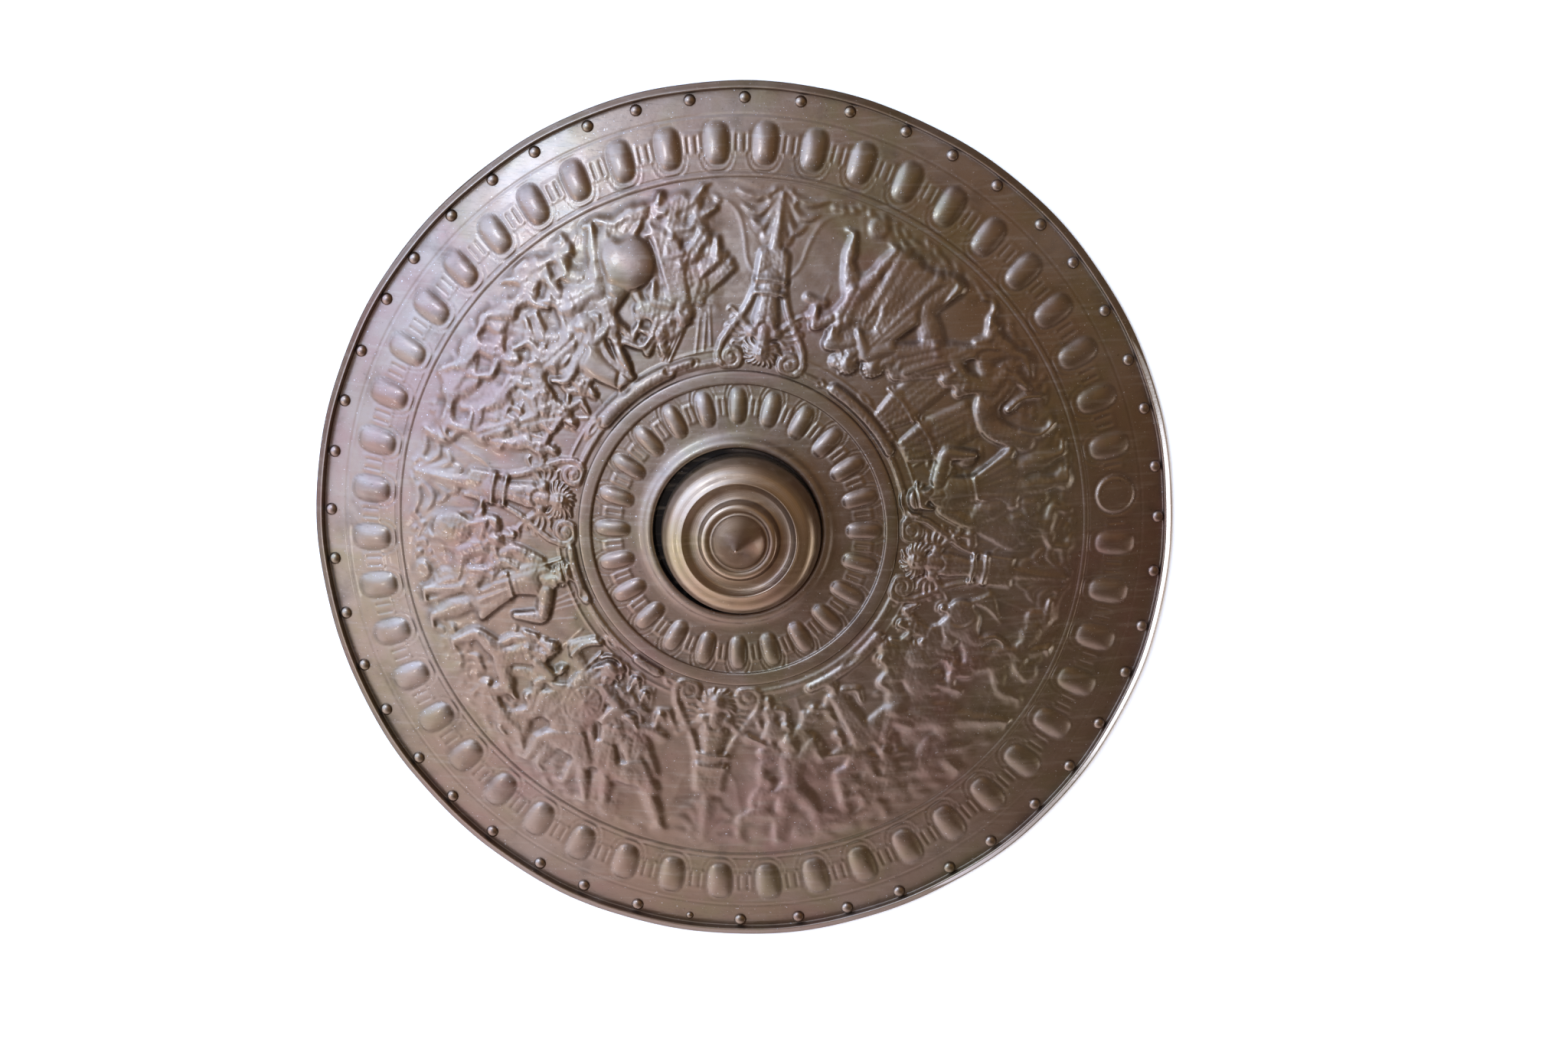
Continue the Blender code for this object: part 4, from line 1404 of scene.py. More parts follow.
@dataclass(frozen=True)
class Bust:
    """A head and shoulders in the crowd behind the fight.

    Attributes:
        bearing: Where its head is.
        share: How far its head is from the band's outer edge, as a share of the band's width.
        tall: Height of a whole figure of its size, as a share of the band's width.
        faces: 1 to look along the bearing, -1 to look against it.
        kit: What it wears.
        lift: How far it stands over what is behind it.
    """

    bearing: float
    share: float
    tall: float
    faces: int
    kit: Kit
    lift: float = 0.7

    def carve(self, canvas: Canvas) -> None:
        """Carves the bust into the band."""
        size = self.tall * canvas.width
        radius = canvas.level(self.share)
        clay = Clay(canvas, self.bearing, radius, self.faces, 0.0, 0.5 * size, 0.6 * size, 0.6 * size)
        bulk = 0.026 * size + 0.5
        chest = Layer(clay)
        shoulders = (-0.12 * size, -0.21 * size), (0.0, -0.19 * size), (0.12 * size, -0.21 * size)
        chest.limb(shoulders, [0.075 * size] * 3, bulk)
        chest.lay(self.lift * 0.7)
        person = Person(STAND, self.bearing, self.share, self.tall, self.faces, self.kit, self.lift)
        person.carve_head(clay, (0.0, 0.0), (-0.02 * size, -0.19 * size), size, bulk)
        clay.keep()


@dataclass(frozen=True)
class Tent:
    """A round camp tent with a pleated eave behind the figures.

    Attributes:
        bearing: Where its middle is.
        ground: How far its foot is from the band's outer edge, as a share of the band's width.
        eave: How far its eave is from that edge.
        top: How far its top is from that edge.
        half: Half its width in degrees.
    """

    bearing: float
    ground: float
    eave: float
    top: float
    half: float

    def carve(self, canvas: Canvas) -> None:
        """Carves the tent into the band."""
        clay = Clay.strip(canvas, self.bearing, 60.0)
        at, h = clay.beside, self.half
        eave = at(-0.9 * h, self.eave), at(0.9 * h, self.eave)
        foot = at(-0.6 * h, self.ground), at(0.7 * h, self.ground)
        peak = at(-0.62 * h, self.top), at(0.62 * h, self.top)
        wall = Layer(clay, 0.1)
        drape(wall, eave, foot, 5, 0.0, 1.2, 3)
        wall.lay(0.4, 0.3, 1.6)
        roof = Layer(clay, 0.2)
        drape(roof, peak, eave, 4, 0.0, 1.6, 5)
        roof.lay(0.8, 0.3, 1.6)
        rim = Layer(clay, 0.0)
        edge = bow([at(x * h, self.eave + 0.01 * abs(x)) for x in (-1.15, -0.5, 0.0, 0.5, 1.15)])
        rim.limb(edge, [1.3] * len(edge), 1.6)
        for i in range(7):
            rim.oval(at(-1.05 * h + 2.1 * h * i / 6, self.eave - 0.012), 1.4, 1.2, 1.0, 90.0)
        rim.lay(0.9, 0.3)
        clay.keep()


@dataclass(frozen=True)
class Drift:
    """A soft uneven mass of cloth and bodies that fills the ground between figures.

    Attributes:
        first: Bearing where it starts.
        last: Bearing where it ends.
        low: Its outer edge, as a share of the band's width.
        high: Its inner edge, as a share of the band's width.
        height: Its height in millimetres.
        grain: Size of its folds in millimetres.
        seed: Choice of its folds.
    """

    first: float
    last: float
    low: float
    high: float
    height: float
    grain: float
    seed: int

    def carve(self, canvas: Canvas) -> None:
        """Carves the mass into the band."""
        share = (canvas.radius[-1] - canvas.radius) / canvas.width
        off = (canvas.bearing - self.first) % 360
        span = self.last - self.first
        along = smooth(0.0, 4.0, off) * smooth(span, span - 4.0, off)
        across = smooth(self.low, self.low + 0.08, share) * smooth(self.high, self.high - 0.12, share)
        folds = 1.0 - 1.3 * np.abs(ripple(canvas.x, canvas.y, self.grain, self.seed + 40))
        lumps = ripple(canvas.x, canvas.y, 2.2 * self.grain, self.seed + 70)
        form = np.clip(0.45 + 0.4 * folds + 0.35 * lumps, 0.0, 1.4)
        canvas.z += self.height * across[:, None] * along[None, :] * form


@dataclass(frozen=True)
class Rocks:
    """Broken ground or foliage under the figures.

    Attributes:
        first: Bearing where it starts.
        last: Bearing where it ends.
        share: How far it reaches from the band's outer edge, as a share of the band's width.
        size: Size of one stone or leaf in millimetres.
        seed: Which uneven set of them.
        leaves: Whether it is foliage.
    """

    USUAL_RADIUS = 200.0

    first: float
    last: float
    share: float
    size: float
    seed: int
    leaves: bool = False

    def carve(self, canvas: Canvas) -> None:
        """Carves the ground into the band."""
        chance = np.random.default_rng(self.seed)
        middle = (self.first + self.last) / 2
        reach = radians((self.last - self.first) / 2 + 6) * canvas.radius[0]
        clay = Clay.strip(canvas, middle, reach)
        count = int((self.last - self.first) / 360 * 2 * pi * self.USUAL_RADIUS / self.size)
        for i in range(count):
            bearing = self.first + (self.last - self.first) * (i + chance.uniform(0.2, 0.8)) / count
            at = clay.at(bearing, max(self.share * chance.uniform(0.3, 1.1), 0.03))
            if self.leaves:
                self._leaf(clay, at, chance)
            else:
                self._stone(clay, at, chance)
        clay.keep()

    def _leaf(self, clay: Clay, at: Point, chance: np.random.Generator) -> None:
        """Lays one leaf.

        Args:
            clay: The patch.
            at: Its foot.
            chance: Draws its lean and length.
        """
        lean = chance.uniform(-1.0, 1.0)
        tip = at[0] + lean * self.size * 1.2, at[1] + self.size * chance.uniform(0.2, 0.9)
        mid = mix(at, tip, 0.5)
        bent = mid[0] - 0.3 * lean * self.size, mid[1] + 0.3 * self.size
        curve = bow((at, bent, tip), 4)
        radii = [0.12, 0.24, 0.34, 0.36, 0.33, 0.28, 0.22, 0.15, 0.06]
        leaf = Layer(clay, 0.1)
        leaf.limb(curve, [r * self.size for r in radii], 1.3, 0.7)
        leaf.crease(curve, 0.45, 0.6)
        leaf.lay(0.5, 0.35)

    def _stone(self, clay: Clay, at: Point, chance: np.random.Generator) -> None:
        """Lays one stone.

        Args:
            clay: The patch.
            at: Its middle.
            chance: Draws its size and turn.
        """
        long, wide = self.size * chance.uniform(0.6, 1.1), self.size * chance.uniform(0.3, 0.5)
        stone = Layer(clay, 0.1)
        stone.oval(at, long, wide, 1.0, chance.uniform(-25, 25), 0.7)
        stone.lay(0.3, 0.35)


@dataclass(frozen=True)
class Term:
    """A bound half-figure on a tapering shaft between scrolled straps, which divides two battle scenes.

    Attributes:
        bearing: Where it stands.
        seed: Which uneven set of pleats and hair it has.
    """

    bearing: float
    seed: int

    def carve(self, canvas: Canvas) -> None:
        """Carves the term and its straps into the band."""
        clay = Clay.strip(canvas, self.bearing, radians(30) * canvas.radius[0] * 1.3)
        for side in (-1, 1):
            self._straps(clay, side, canvas.width)
        for side in (-1, 1):
            self._leaves(clay, side, canvas.width)
        self._fruit(clay)
        for side in (-1, 1):
            self._wing(clay, side)
        self._shaft(clay, canvas.width)
        self._trunk(clay, canvas.width)
        self._face(clay, clay.beside(0.0, 0.885), canvas.width)
        clay.keep()

    @staticmethod
    def _straps(clay: Clay, side: int, width: float) -> None:
        """Lays the scrolled straps on one side.

        Args:
            clay: The patch.
            side: 1 along the bearing, -1 against it.
            width: Width of the band.
        """
        at = clay.beside
        low = Layer(clay, 0.1)
        stations = (2.4, 0.52), (5.6, 0.42), (6.6, 0.27), (8.2, 0.15), (12.0, 0.075), (16.2, 0.05)
        low.ribbon(bow([at(side * x, y) for x, y in stations]), 1.1, 0.7, 0.2)
        low.lay(0.4)
        disc = Layer(clay, 0.0)
        disc.oval(at(side * 17.8, 0.085), 0.062 * width, 0.056 * width, 1.9, 0.0, 0.35)
        disc.swell(at(side * 17.8, 0.085), 0.040 * width, 0.036 * width, -0.7)
        disc.lay(1.1)
        high = Layer(clay, 0.1)
        centre = at(side * 9.7, 0.925)
        coil = spiral(centre, 0.0 if side > 0 else 180.0, 1.45 * side, 0.074 * width, 0.018 * width)
        stations = (2.6, 0.47), (3.6, 0.56), (5.4, 0.66), (9.0, 0.76), (12.4, 0.84)
        high.ribbon(bow([at(side * x, y) for x, y in stations]) + coil, 0.021 * width, 1.7, 0.6)
        high.oval(centre, 0.026 * width, 0.026 * width, 2.4)
        high.lay(1.0)

    @staticmethod
    def _leaves(clay: Clay, side: int, width: float) -> None:
        """Lays the leaves at the foot of the shaft on one side.

        Args:
            clay: The patch.
            side: 1 along the bearing, -1 against it.
            width: Width of the band.
        """
        at = clay.beside
        for reach, rise, low in ((8.0, 0.05, 0.03), (7.0, 0.13, 0.05), (5.2, 0.20, 0.07), (3.0, 0.26, 0.09)):
            leaf = Layer(clay, 0.0)
            middle, tip = at(0.55 * reach * side, rise + 0.035), at(reach * side, rise)
            curve = bow((at(0.4 * side, low), middle, tip), 5)
            radii = np.interp(np.arange(len(curve)), (0, 5, 8, 10), (1.0, 3.2, 2.4, 0.8)) * width / 117
            leaf.limb(curve, list(radii), 1.5, 0.7)
            leaf.crease(curve, 0.5, 0.7)
            for x, y in curve[3:8:2]:
                for rise_step in (2.2, -2.2):
                    leaf.crease(((x, y), (x + 2.6 * side, y + rise_step)), 0.4, 0.4)
            leaf.lay(0.6, 0.4)

    @staticmethod
    def _fruit(clay: Clay) -> None:
        """Lays the fruit between the leaves."""
        fruit = Layer(clay, 0.0)
        places = (-1.5, 0.04), (1.5, 0.04), (0.0, 0.07), (-2.4, 0.09), (2.4, 0.09)
        curls(fruit, [clay.beside(x, y) for x, y in places], 2.3, 1.7, 5)
        fruit.lay(1.0)

    @staticmethod
    def _wing(clay: Clay, side: int) -> None:
        """Lays the flying cloth on one shoulder.

        Args:
            clay: The patch.
            side: 1 along the bearing, -1 against it.
        """
        at = clay.beside
        for i in range(5):
            cloth = Layer(clay, 0.0)
            start, end = at(side * 4.5, 0.81 - 0.012 * i), at(side * (8.6 + 0.8 * (i % 3)), 0.84 - 0.045 * i)
            middle = mix(start, end, 0.55)
            middle, tip = (middle[0], middle[1] + 2.0 - 0.7 * i), (end[0] + side * 1.4, end[1] + 1.8)
            curve = bow((start, middle, end, tip), 4)
            cloth.limb(curve, list(np.linspace(2.0, 0.9, len(curve))), 1.3, 0.7)
            cloth.lay(0.6, 0.4)

    def _shaft(self, clay: Clay, width: float) -> None:
        """Lays the tapering shaft and the pleats over its top.

        Args:
            clay: The patch.
            width: Width of the band.
        """
        at = clay.beside
        shaft = Layer(clay, 0.3)
        stations = ((0.05, 0.008), (0.12, 0.014), (0.30, 0.034), (0.44, 0.062), (0.50, 0.075))
        shaft.limb([at(0.0, y) for y, _ in stations], [r * width for _, r in stations], 2.5, 0.55)
        for side in (-1, 0, 1):
            shaft.crease((at(0.0, 0.08), at(2.1 * side, 0.45)), 0.6, 0.6)
        shaft.lay(1.5)
        hips = Layer(clay, 0.1)
        top, hem = (at(-3.7, 0.52), at(3.7, 0.52)), (at(-3.0, 0.36), at(3.0, 0.36))
        drape(hips, top, hem, 7, 0.0, 1.8, self.seed)
        hips.lay(1.9, 0.4)

    @staticmethod
    def _trunk(clay: Clay, width: float) -> None:
        """Lays the half-figure's trunk, belt and neck.

        Args:
            clay: The patch.
            width: Width of the band.
        """
        at = clay.beside
        trunk = Layer(clay, 0.5)
        stations = ((0.50, 0.066), (0.60, 0.056), (0.72, 0.078), (0.79, 0.066))
        trunk.limb([at(0.0, y) for y, _ in stations], [r * width for _, r in stations], 3.4, 0.5)
        for side in (-1, 1):
            trunk.oval(at(3.1 * side, 0.785), 0.046 * width, 0.040 * width, 3.3)
            trunk.swell(at(1.7 * side, 0.735), 0.040 * width, 0.034 * width, 1.1)
            trunk.crease(bow((at(0.2 * side, 0.70), at(2.0 * side, 0.69), at(3.4 * side, 0.73))), 0.6, 0.6)
        trunk.crease((at(0.0, 0.78), at(0.0, 0.56)), 0.7, 0.6)
        trunk.lay(2.0)
        belt = Layer(clay, 0.0)
        for share in (0.505, 0.575):
            belt.ribbon((at(-3.4, share), at(0.0, share - 0.006), at(3.4, share)), 0.017 * width, 3.5, 0.4)
        belt.lay(1.9, 0.4)
        neck = Layer(clay)
        neck.limb((at(0.0, 0.77), at(0.0, 0.88)), [0.045 * width, 0.034 * width], 3.2)
        neck.lay(1.8, 0.2)

    def _face(self, clay: Clay, head: Point, width: float) -> None:
        """Lays a plain front face with wild hair.

        Args:
            clay: The patch.
            head: Middle of the head.
            width: Width of the band.
        """
        chance = np.random.default_rng(self.seed)
        x, y = head
        hair = Layer(clay, 0.0)
        for c, s in directions(np.linspace(-35, 215, 15)):
            reach = width * chance.uniform(0.085, 0.115)
            root = x + 0.030 * width * c, y + 0.036 * width * s
            tip = x + reach * c - 1.2 * s, min(y + reach * 0.9 * s + 1.2 * c, y + 0.088 * width)
            bend = mix(root, tip, 0.6)
            curve = bow((root, (bend[0] + 1.1 * s, bend[1] - 1.1 * c), tip), 4)
            hair.limb(curve, list(np.linspace(0.022, 0.008, len(curve)) * width), 2.8)
        hair.lay(1.6, 0.4)
        face = Layer(clay, 0.25)
        face.oval(head, 0.048 * width, 0.060 * width, 4.0)
        for side in (-1, 1):
            face.swell((x + 0.019 * width * side, y + 0.010 * width), 0.014 * width, 0.008 * width, -0.9)
            face.swell((x + 0.022 * width * side, y - 0.018 * width), 0.015 * width, 0.013 * width, 0.5)
            brow = (x, y + 0.019 * width), (x + 0.030 * width * side, y + 0.021 * width)
            face.limb(brow, [1.0, 0.8], 4.3)
        face.limb(((x, y + 0.016 * width), (x, y - 0.012 * width)), [0.9, 1.6], 5.0)
        mouth = (x - 0.016 * width, y - 0.028 * width), (x + 0.016 * width, y - 0.028 * width)
        face.crease(mouth, 0.6, 0.8)
        face.lay(2.2)


class Composition:
    """Everything that is carved in the figured band, from back to front.

    Heights are in millimetres. FADED gives the bearings between which the relief is rubbed down: where that
    starts and is full, and where it starts to end and has ended.
    """

    TERMS = (7.3, 100.0, 186.8, 278.0)
    TERM_SHARE = 0.72
    FILL_REACH = 3
    FILL_SHARE = 0.22
    SMOOTHINGS = 3
    FADED = (112.0, 138.0, 196.0, 214.0)
    FADED_SHARE = 0.92
    CRINKLE = 0.08
    LOWEST = -0.8
    HIGHEST = 8.5

    def __init__(self, canvas: Canvas) -> None:
        """Takes the canvas that the scenes are carved in."""
        self.canvas = canvas

    def strapwork(self) -> list[Stroke | Loop]:
        """Straps, rolls and eyes beside the inner ring."""
        items: list[Stroke | Loop] = []
        bounds = [*self.TERMS, self.TERMS[0] + 360]
        for start, end in zip(bounds, bounds[1:]):
            items.append(roll(self._along(start + 14, end - 14, 0.885, 6), 0.9, 0.9, 0.3))
            items.append(Stroke(self._along(start + 13, end - 13, 0.955, 6), 2.2, 1.0, lift=0.4))
        for first, last, share, half in (
            (309.0, 336.0, 0.935, 6.0), (128.0, 156.0, 0.905, 4.4), (209.0, 217.0, 0.955, 4.2),
            (244.0, 262.0, 0.95, 3.8), (34.0, 62.0, 0.945, 4.6),
        ):
            items.append(roll(self._along(first, last, share, 6), (half, half * 0.9), 0.62 * half, 1.0))
        for place in (
            (304.5, 0.915, 9.0, 3.2), (321.0, 0.895, 6.6, 3.0), (44.0, 0.88, 7.0, 2.8),
            (140.0, 0.925, 8.0, 3.0),
            (227.0, 0.925, 7.0, 2.8), (345.0, 0.935, 4.4, 3.6), (58.0, 0.90, 4.0, 3.2),
            (246.0, 0.945, 4.0, 4.0),
            (114.5, 0.93, 5.0, 3.2), (203.5, 0.94, 4.4, 3.6), (29.0, 0.955, 3.2, 3.2),
        ):
            items.append(Loop(*place))
        items.append(roll(self._along(336.5, 344.0, 0.925, 4), 3.0, 1.8, 0.9))
        return items

    @staticmethod
    def _along(first: float, last: float, share: float, count: int) -> tuple[Point, ...]:
        """Gives evenly spaced places round the band.

        Args:
            first: Bearing of the first place.
            last: Bearing of the last place.
            share: How far they are from the band's outer edge, as a share of its width.
            count: How many there are.

        Returns:
            The places, as a bearing and a share.
        """
        return tuple((bearing, share) for bearing in np.linspace(first, last, count))

    def distance(self) -> list[Stroke | Tent | Bust | Rocks]:
        """Tents, lances and the crowd behind the fight."""
        items: list[Stroke | Tent | Bust | Rocks] = [
            Tent(52.5, 0.42, 0.74, 0.88, 5.0), Tent(64.5, 0.46, 0.72, 0.86, 5.5),
            Rocks(64, 78, 0.72, 5.0, 3), Rocks(140, 152, 0.62, 5.0, 8),
            lance(((306, 0.86), (297, 0.60)), 1.0),
            roll(((152, 0.42), (160, 0.50), (170, 0.60), (179, 0.70)), 1.6, 1.2, 0.5),
            Stroke(((336.8, 0.875), (346.5, 0.67)), 3.0, 1.5, Edge.REED, 0.9, False),
            roll(((335.5, 0.70), (340, 0.74), (345, 0.70)), 2.4, 1.4, 0.5),
        ]
        for bearing, lean, low, high in (
            (346.5, 3.0, 0.70, 0.88), (349.0, 2.5, 0.68, 0.88), (351.5, 1.0, 0.64, 0.86),
            (243.5, 1.2, 0.76, 0.90), (245.5, 0.6, 0.74, 0.90), (247.8, -0.8, 0.73, 0.90),
            (240.0, 3.4, 0.66, 0.84), (236.0, -1.5, 0.66, 0.84), (115.5, 2.6, 0.66, 0.88),
            (121.0, 1.8, 0.66, 0.84), (146.5, 1.5, 0.56, 0.82), (150.0, -0.8, 0.54, 0.82),
            (161.5, 0.8, 0.52, 0.88), (166.5, -1.0, 0.60, 0.88), (76.0, 3.0, 0.60, 0.86),
            (70.0, -2.0, 0.60, 0.86), (30.0, -1.5, 0.66, 0.84), (19.5, 1.0, 0.46, 0.72),
            (93.0, 1.2, 0.40, 0.80), (207.0, -3.0, 0.60, 0.86), (222.0, 2.5, 0.74, 0.88),
            (290.5, 3.0, 0.66, 0.84), (300.5, -2.0, 0.66, 0.84), (312.0, 2.0, 0.74, 0.88),
        ):
            items.append(lance(((bearing, high), (bearing + lean, low)), (0.9, 0.7)))
        for place in (
            (311.5, 0.74, 0.46, 1, Kit.NONE), (315.0, 0.70, 0.48, 1, Kit.BEARD),
            (337.5, 0.70, 0.50, -1, Kit.NONE),
            (342.0, 0.62, 0.52, -1, Kit.HELMET), (294.0, 0.70, 0.44, 1, Kit.NONE),
            (290.0, 0.58, 0.46, 1, Kit.BEARD), (302.0, 0.62, 0.46, -1, Kit.NONE),
            (297.5, 0.52, 0.48, 1, Kit.NONE), (350.0, 0.60, 0.46, -1, Kit.NONE),
            (209.0, 0.80, 0.42, 1, Kit.HELMET), (213.5, 0.84, 0.50, 1, Kit.HELMET),
            (219.5, 0.83, 0.60, 1, Kit.HELMET), (202.5, 0.72, 0.50, 1, Kit.HELMET | Kit.PLUME),
            (230.0, 0.60, 0.50, -1, Kit.NONE), (262.0, 0.66, 0.46, -1, Kit.NONE),
            (267.0, 0.62, 0.44, -1, Kit.HELMET), (269.0, 0.53, 0.46, -1, Kit.NONE),
            (112.0, 0.66, 0.48, 1, Kit.HELMET), (120.5, 0.64, 0.50, 1, Kit.HELMET),
            (129.5, 0.60, 0.46, -1, Kit.NONE), (163.0, 0.64, 0.52, -1, Kit.HELMET),
            (166.5, 0.72, 0.54, -1, Kit.HELMET), (171.5, 0.70, 0.50, -1, Kit.NONE),
            (155.0, 0.58, 0.46, -1, Kit.NONE), (29.5, 0.73, 0.50, 1, Kit.NONE),
            (73.0, 0.74, 0.34, 1, Kit.HELMET),
            (354.5, 0.48, 0.44, -1, Kit.BEARD), (18.5, 0.64, 0.40, 1, Kit.NONE),
            (92.0, 0.68, 0.40, -1, Kit.HELMET),
        ):
            items.append(Bust(*place))
        return items

    def masses(self) -> list[Drift]:
        """The press of cloth and bodies between the figures."""
        fields = (
            (285, 319, 0.04, 0.60), (318, 357, 0.02, 0.34), (336, 357, 0.30, 0.76), (107, 179, 0.02, 0.32),
            (124, 146, 0.28, 0.60), (158, 179, 0.30, 0.62), (199, 251, 0.02, 0.26), (204, 233, 0.45, 0.86),
            (256, 272, 0.15, 0.62), (55, 79, 0.03, 0.32), (20, 48, 0.03, 0.20), (28, 47, 0.45, 0.78),
        )
        return [Drift(*place, 1.5, 9.0 + i % 3, i) for i, place in enumerate(fields)]

    def fight(self) -> list[Person | Steed | Target | Stroke | Rocks]:
        """The four battle scenes in front."""
        return [*self._first(), *self._second(), *self._third(), *self._fourth()]

    @staticmethod
    def _first() -> list[Person | Steed | Target | Stroke | Rocks]:
        """The camp, from the top term to the right-hand one."""
        nude = Kit.NONE
        return [
            Rocks(16, 60, 0.07, 5.0, 1), Rocks(60, 94, 0.09, 6.0, 9), Rocks(60, 77, 0.13, 5.0, 12, True),
            Target(73.0, 0.57, 6.5, 6.0, 90.0, 0.4),
            Person(STAND, 29.8, 0.34, 0.50, 1, Kit.ROBE, 1.0),
            Person(STRIDE, 35.8, 0.11, 0.75, -1, Kit.ROBE | Kit.BEARD, 1.5),
            Stroke(((30.2, 0.60), (34.2, 0.12)), 2.6, 1.4, Edge.REED, 1.0, False),
            Stroke(((33.0, 0.62), (37.8, 0.14)), 2.2, 1.2, Edge.REED, 1.0, False),
            Person(STRIDE, 24.8, 0.15, 0.60, -1, Kit.BACK_VIEW, 1.8, 7.0),
            Person(LUNGE, 47.5, 0.12, 0.78, -1, Kit.BACK_VIEW, 1.8),
            roll(((46.5, 0.62), (50.0, 0.46), (54.0, 0.28), (57.5, 0.16)), (4.4, 2.0), 2.6, 1.6),
            roll(((61.5, 0.24), (64.0, 0.37), (69.0, 0.38), (73.5, 0.25)), (9.5, 7.5), 3.4, 1.0),
            roll(((66.5, 0.27), (65.8, 0.18), (67.0, 0.08)), (3.4, 1.7), 2.6, 1.6),
            roll(((71.5, 0.25), (73.2, 0.16), (72.2, 0.07)), (3.2, 1.6), 2.6, 1.6),
            Person(CROUCH, 60.8, 0.13, 0.60, -1, nude, 1.8),
            Person(SPRAWL, 56.5, 0.05, 0.44, -1, nude, 1.4),
            Person(STAND, 80.3, 0.06, 0.87, -1, Kit.CUIRASS | Kit.HELMET | Kit.CLOAK, 1.7),
            Target(86.0, 0.50, 13.0, 7.2, 78.0, 1.6),
            Person(KNEEL, 90.5, 0.06, 0.40, -1, nude, 1.2),
        ]

    @staticmethod
    def _second() -> list[Person | Steed | Target | Stroke | Rocks]:
        """The charge, from the right-hand term to the bottom one."""
        nude, soldier = Kit.NONE, Kit.TUNIC | Kit.HELMET
        return [
            Rocks(108, 178, 0.10, 6.0, 2), Rocks(128, 164, 0.20, 6.5, 14, True),
            roll(((148.5, 0.46), (154, 0.455), (160, 0.50), (168, 0.58), (178, 0.70)), 2.2, 1.8, 0.9),
            Steed(121.5, 0.22, 0.44, 1, 16.0, 1.2, Person(RIDER, 121.5, 0.4, 0.44, 1, soldier, 0.8)),
            Steed(142.0, 0.26, 0.34, -1, 8.0, 0.9),
            Person(STRIKE, 131.0, 0.34, 0.50, 1, soldier, 1.0),
            Person(STAND, 150.0, 0.44, 0.46, -1, Kit.ROBE, 1.2),
            Person(REACH, 163.5, 0.50, 0.38, -1, soldier, 1.0),
            Person(STAND, 170.5, 0.56, 0.36, -1, Kit.TUNIC, 1.0),
            Target(111.3, 0.57, 9.5, 9.5, 90.0, 1.8), Target(130.8, 0.57, 11.0, 10.0, 90.0, 1.6),
            Person(LUNGE, 118.8, 0.04, 0.54, 1, nude, 1.8),
            Person(SPRAWL, 111.5, 0.08, 0.50, 1, nude, 1.4),
            Person(LUNGE, 134.5, 0.03, 0.64, 1, nude, 2.0),
            Stroke(((143.0, 0.54), (150.5, 0.455)), (1.4, 0.9), 1.4, Edge.BLADE, 1.4, False),
            Person(FALLEN, 143.5, 0.12, 0.54, -1, nude, 1.5), Person(SIT, 150.5, 0.10, 0.50, 1, nude, 1.5),
            Person(BEND, 158.0, 0.10, 0.52, -1, nude, 1.6), Person(FALLEN, 160.5, 0.04, 0.46, 1, nude, 1.6),
            Person(STRIDE, 169.0, 0.05, 0.64, -1, Kit.BACK_VIEW, 1.9),
            Person(KNEEL, 176.0, 0.09, 0.44, -1, nude, 1.2),
        ]

    @staticmethod
    def _third() -> list[Person | Steed | Target | Stroke | Rocks]:
        """The stand with the great shield, from the bottom term to the left-hand one."""
        nude, armed = Kit.NONE, Kit.CUIRASS | Kit.TUNIC
        return [
            Rocks(198, 236, 0.08, 6.0, 3), Rocks(236, 270, 0.09, 6.0, 16, True),
            Rocks(239, 251, 0.44, 5.0, 6, True),
            Rocks(226, 250, 0.30, 6.0, 17), Rocks(255, 272, 0.16, 5.0, 18, True),
            Person(LUNGE, 202.5, 0.09, 0.68, 1, armed | Kit.HELMET, 1.5),
            Person(STRIDE, 210.5, 0.09, 0.62, 1, Kit.TUNIC | Kit.BEARD, 1.6),
            Person(STRIKE, 224.0, 0.09, 0.78, -1, armed | Kit.HELMET, 1.5),
            Person(LUNGE, 216.5, 0.07, 0.66, 1, Kit.TUNIC, 1.7),
            Target(220.5, 0.555, 17.0, 13.5, 92.0, 2.4),
            roll(((226.9, 0.84), (225.8, 0.28)), 1.1, 1.6, 1.3, False),
            roll(((229.5, 0.88), (231.8, 0.80), (231.6, 0.70)), (2.8, 1.8), 2.4, 1.3),
            Person(REACH, 232.5, 0.26, 0.46, 1, nude, 1.2), Person(FALLEN, 230.0, 0.10, 0.46, -1, nude, 1.2),
            Person(KNEEL, 240.0, 0.14, 0.64, -1, Kit.BEARD, 2.0),
            Person(STAND, 254.8, 0.07, 0.87, -1, armed | Kit.BEARD | Kit.CLOAK, 1.7),
            roll(((259.4, 0.89), (254.6, 0.06)), 1.1, 1.6, 1.5, False),
            Person(SPRAWL, 265.5, 0.42, 0.50, -1, nude, 1.3), Person(KNEEL, 263.0, 0.16, 0.50, 1, nude, 1.3),
            Target(268.4, 0.28, 13.5, 11.5, 90.0, 2.2),
        ]

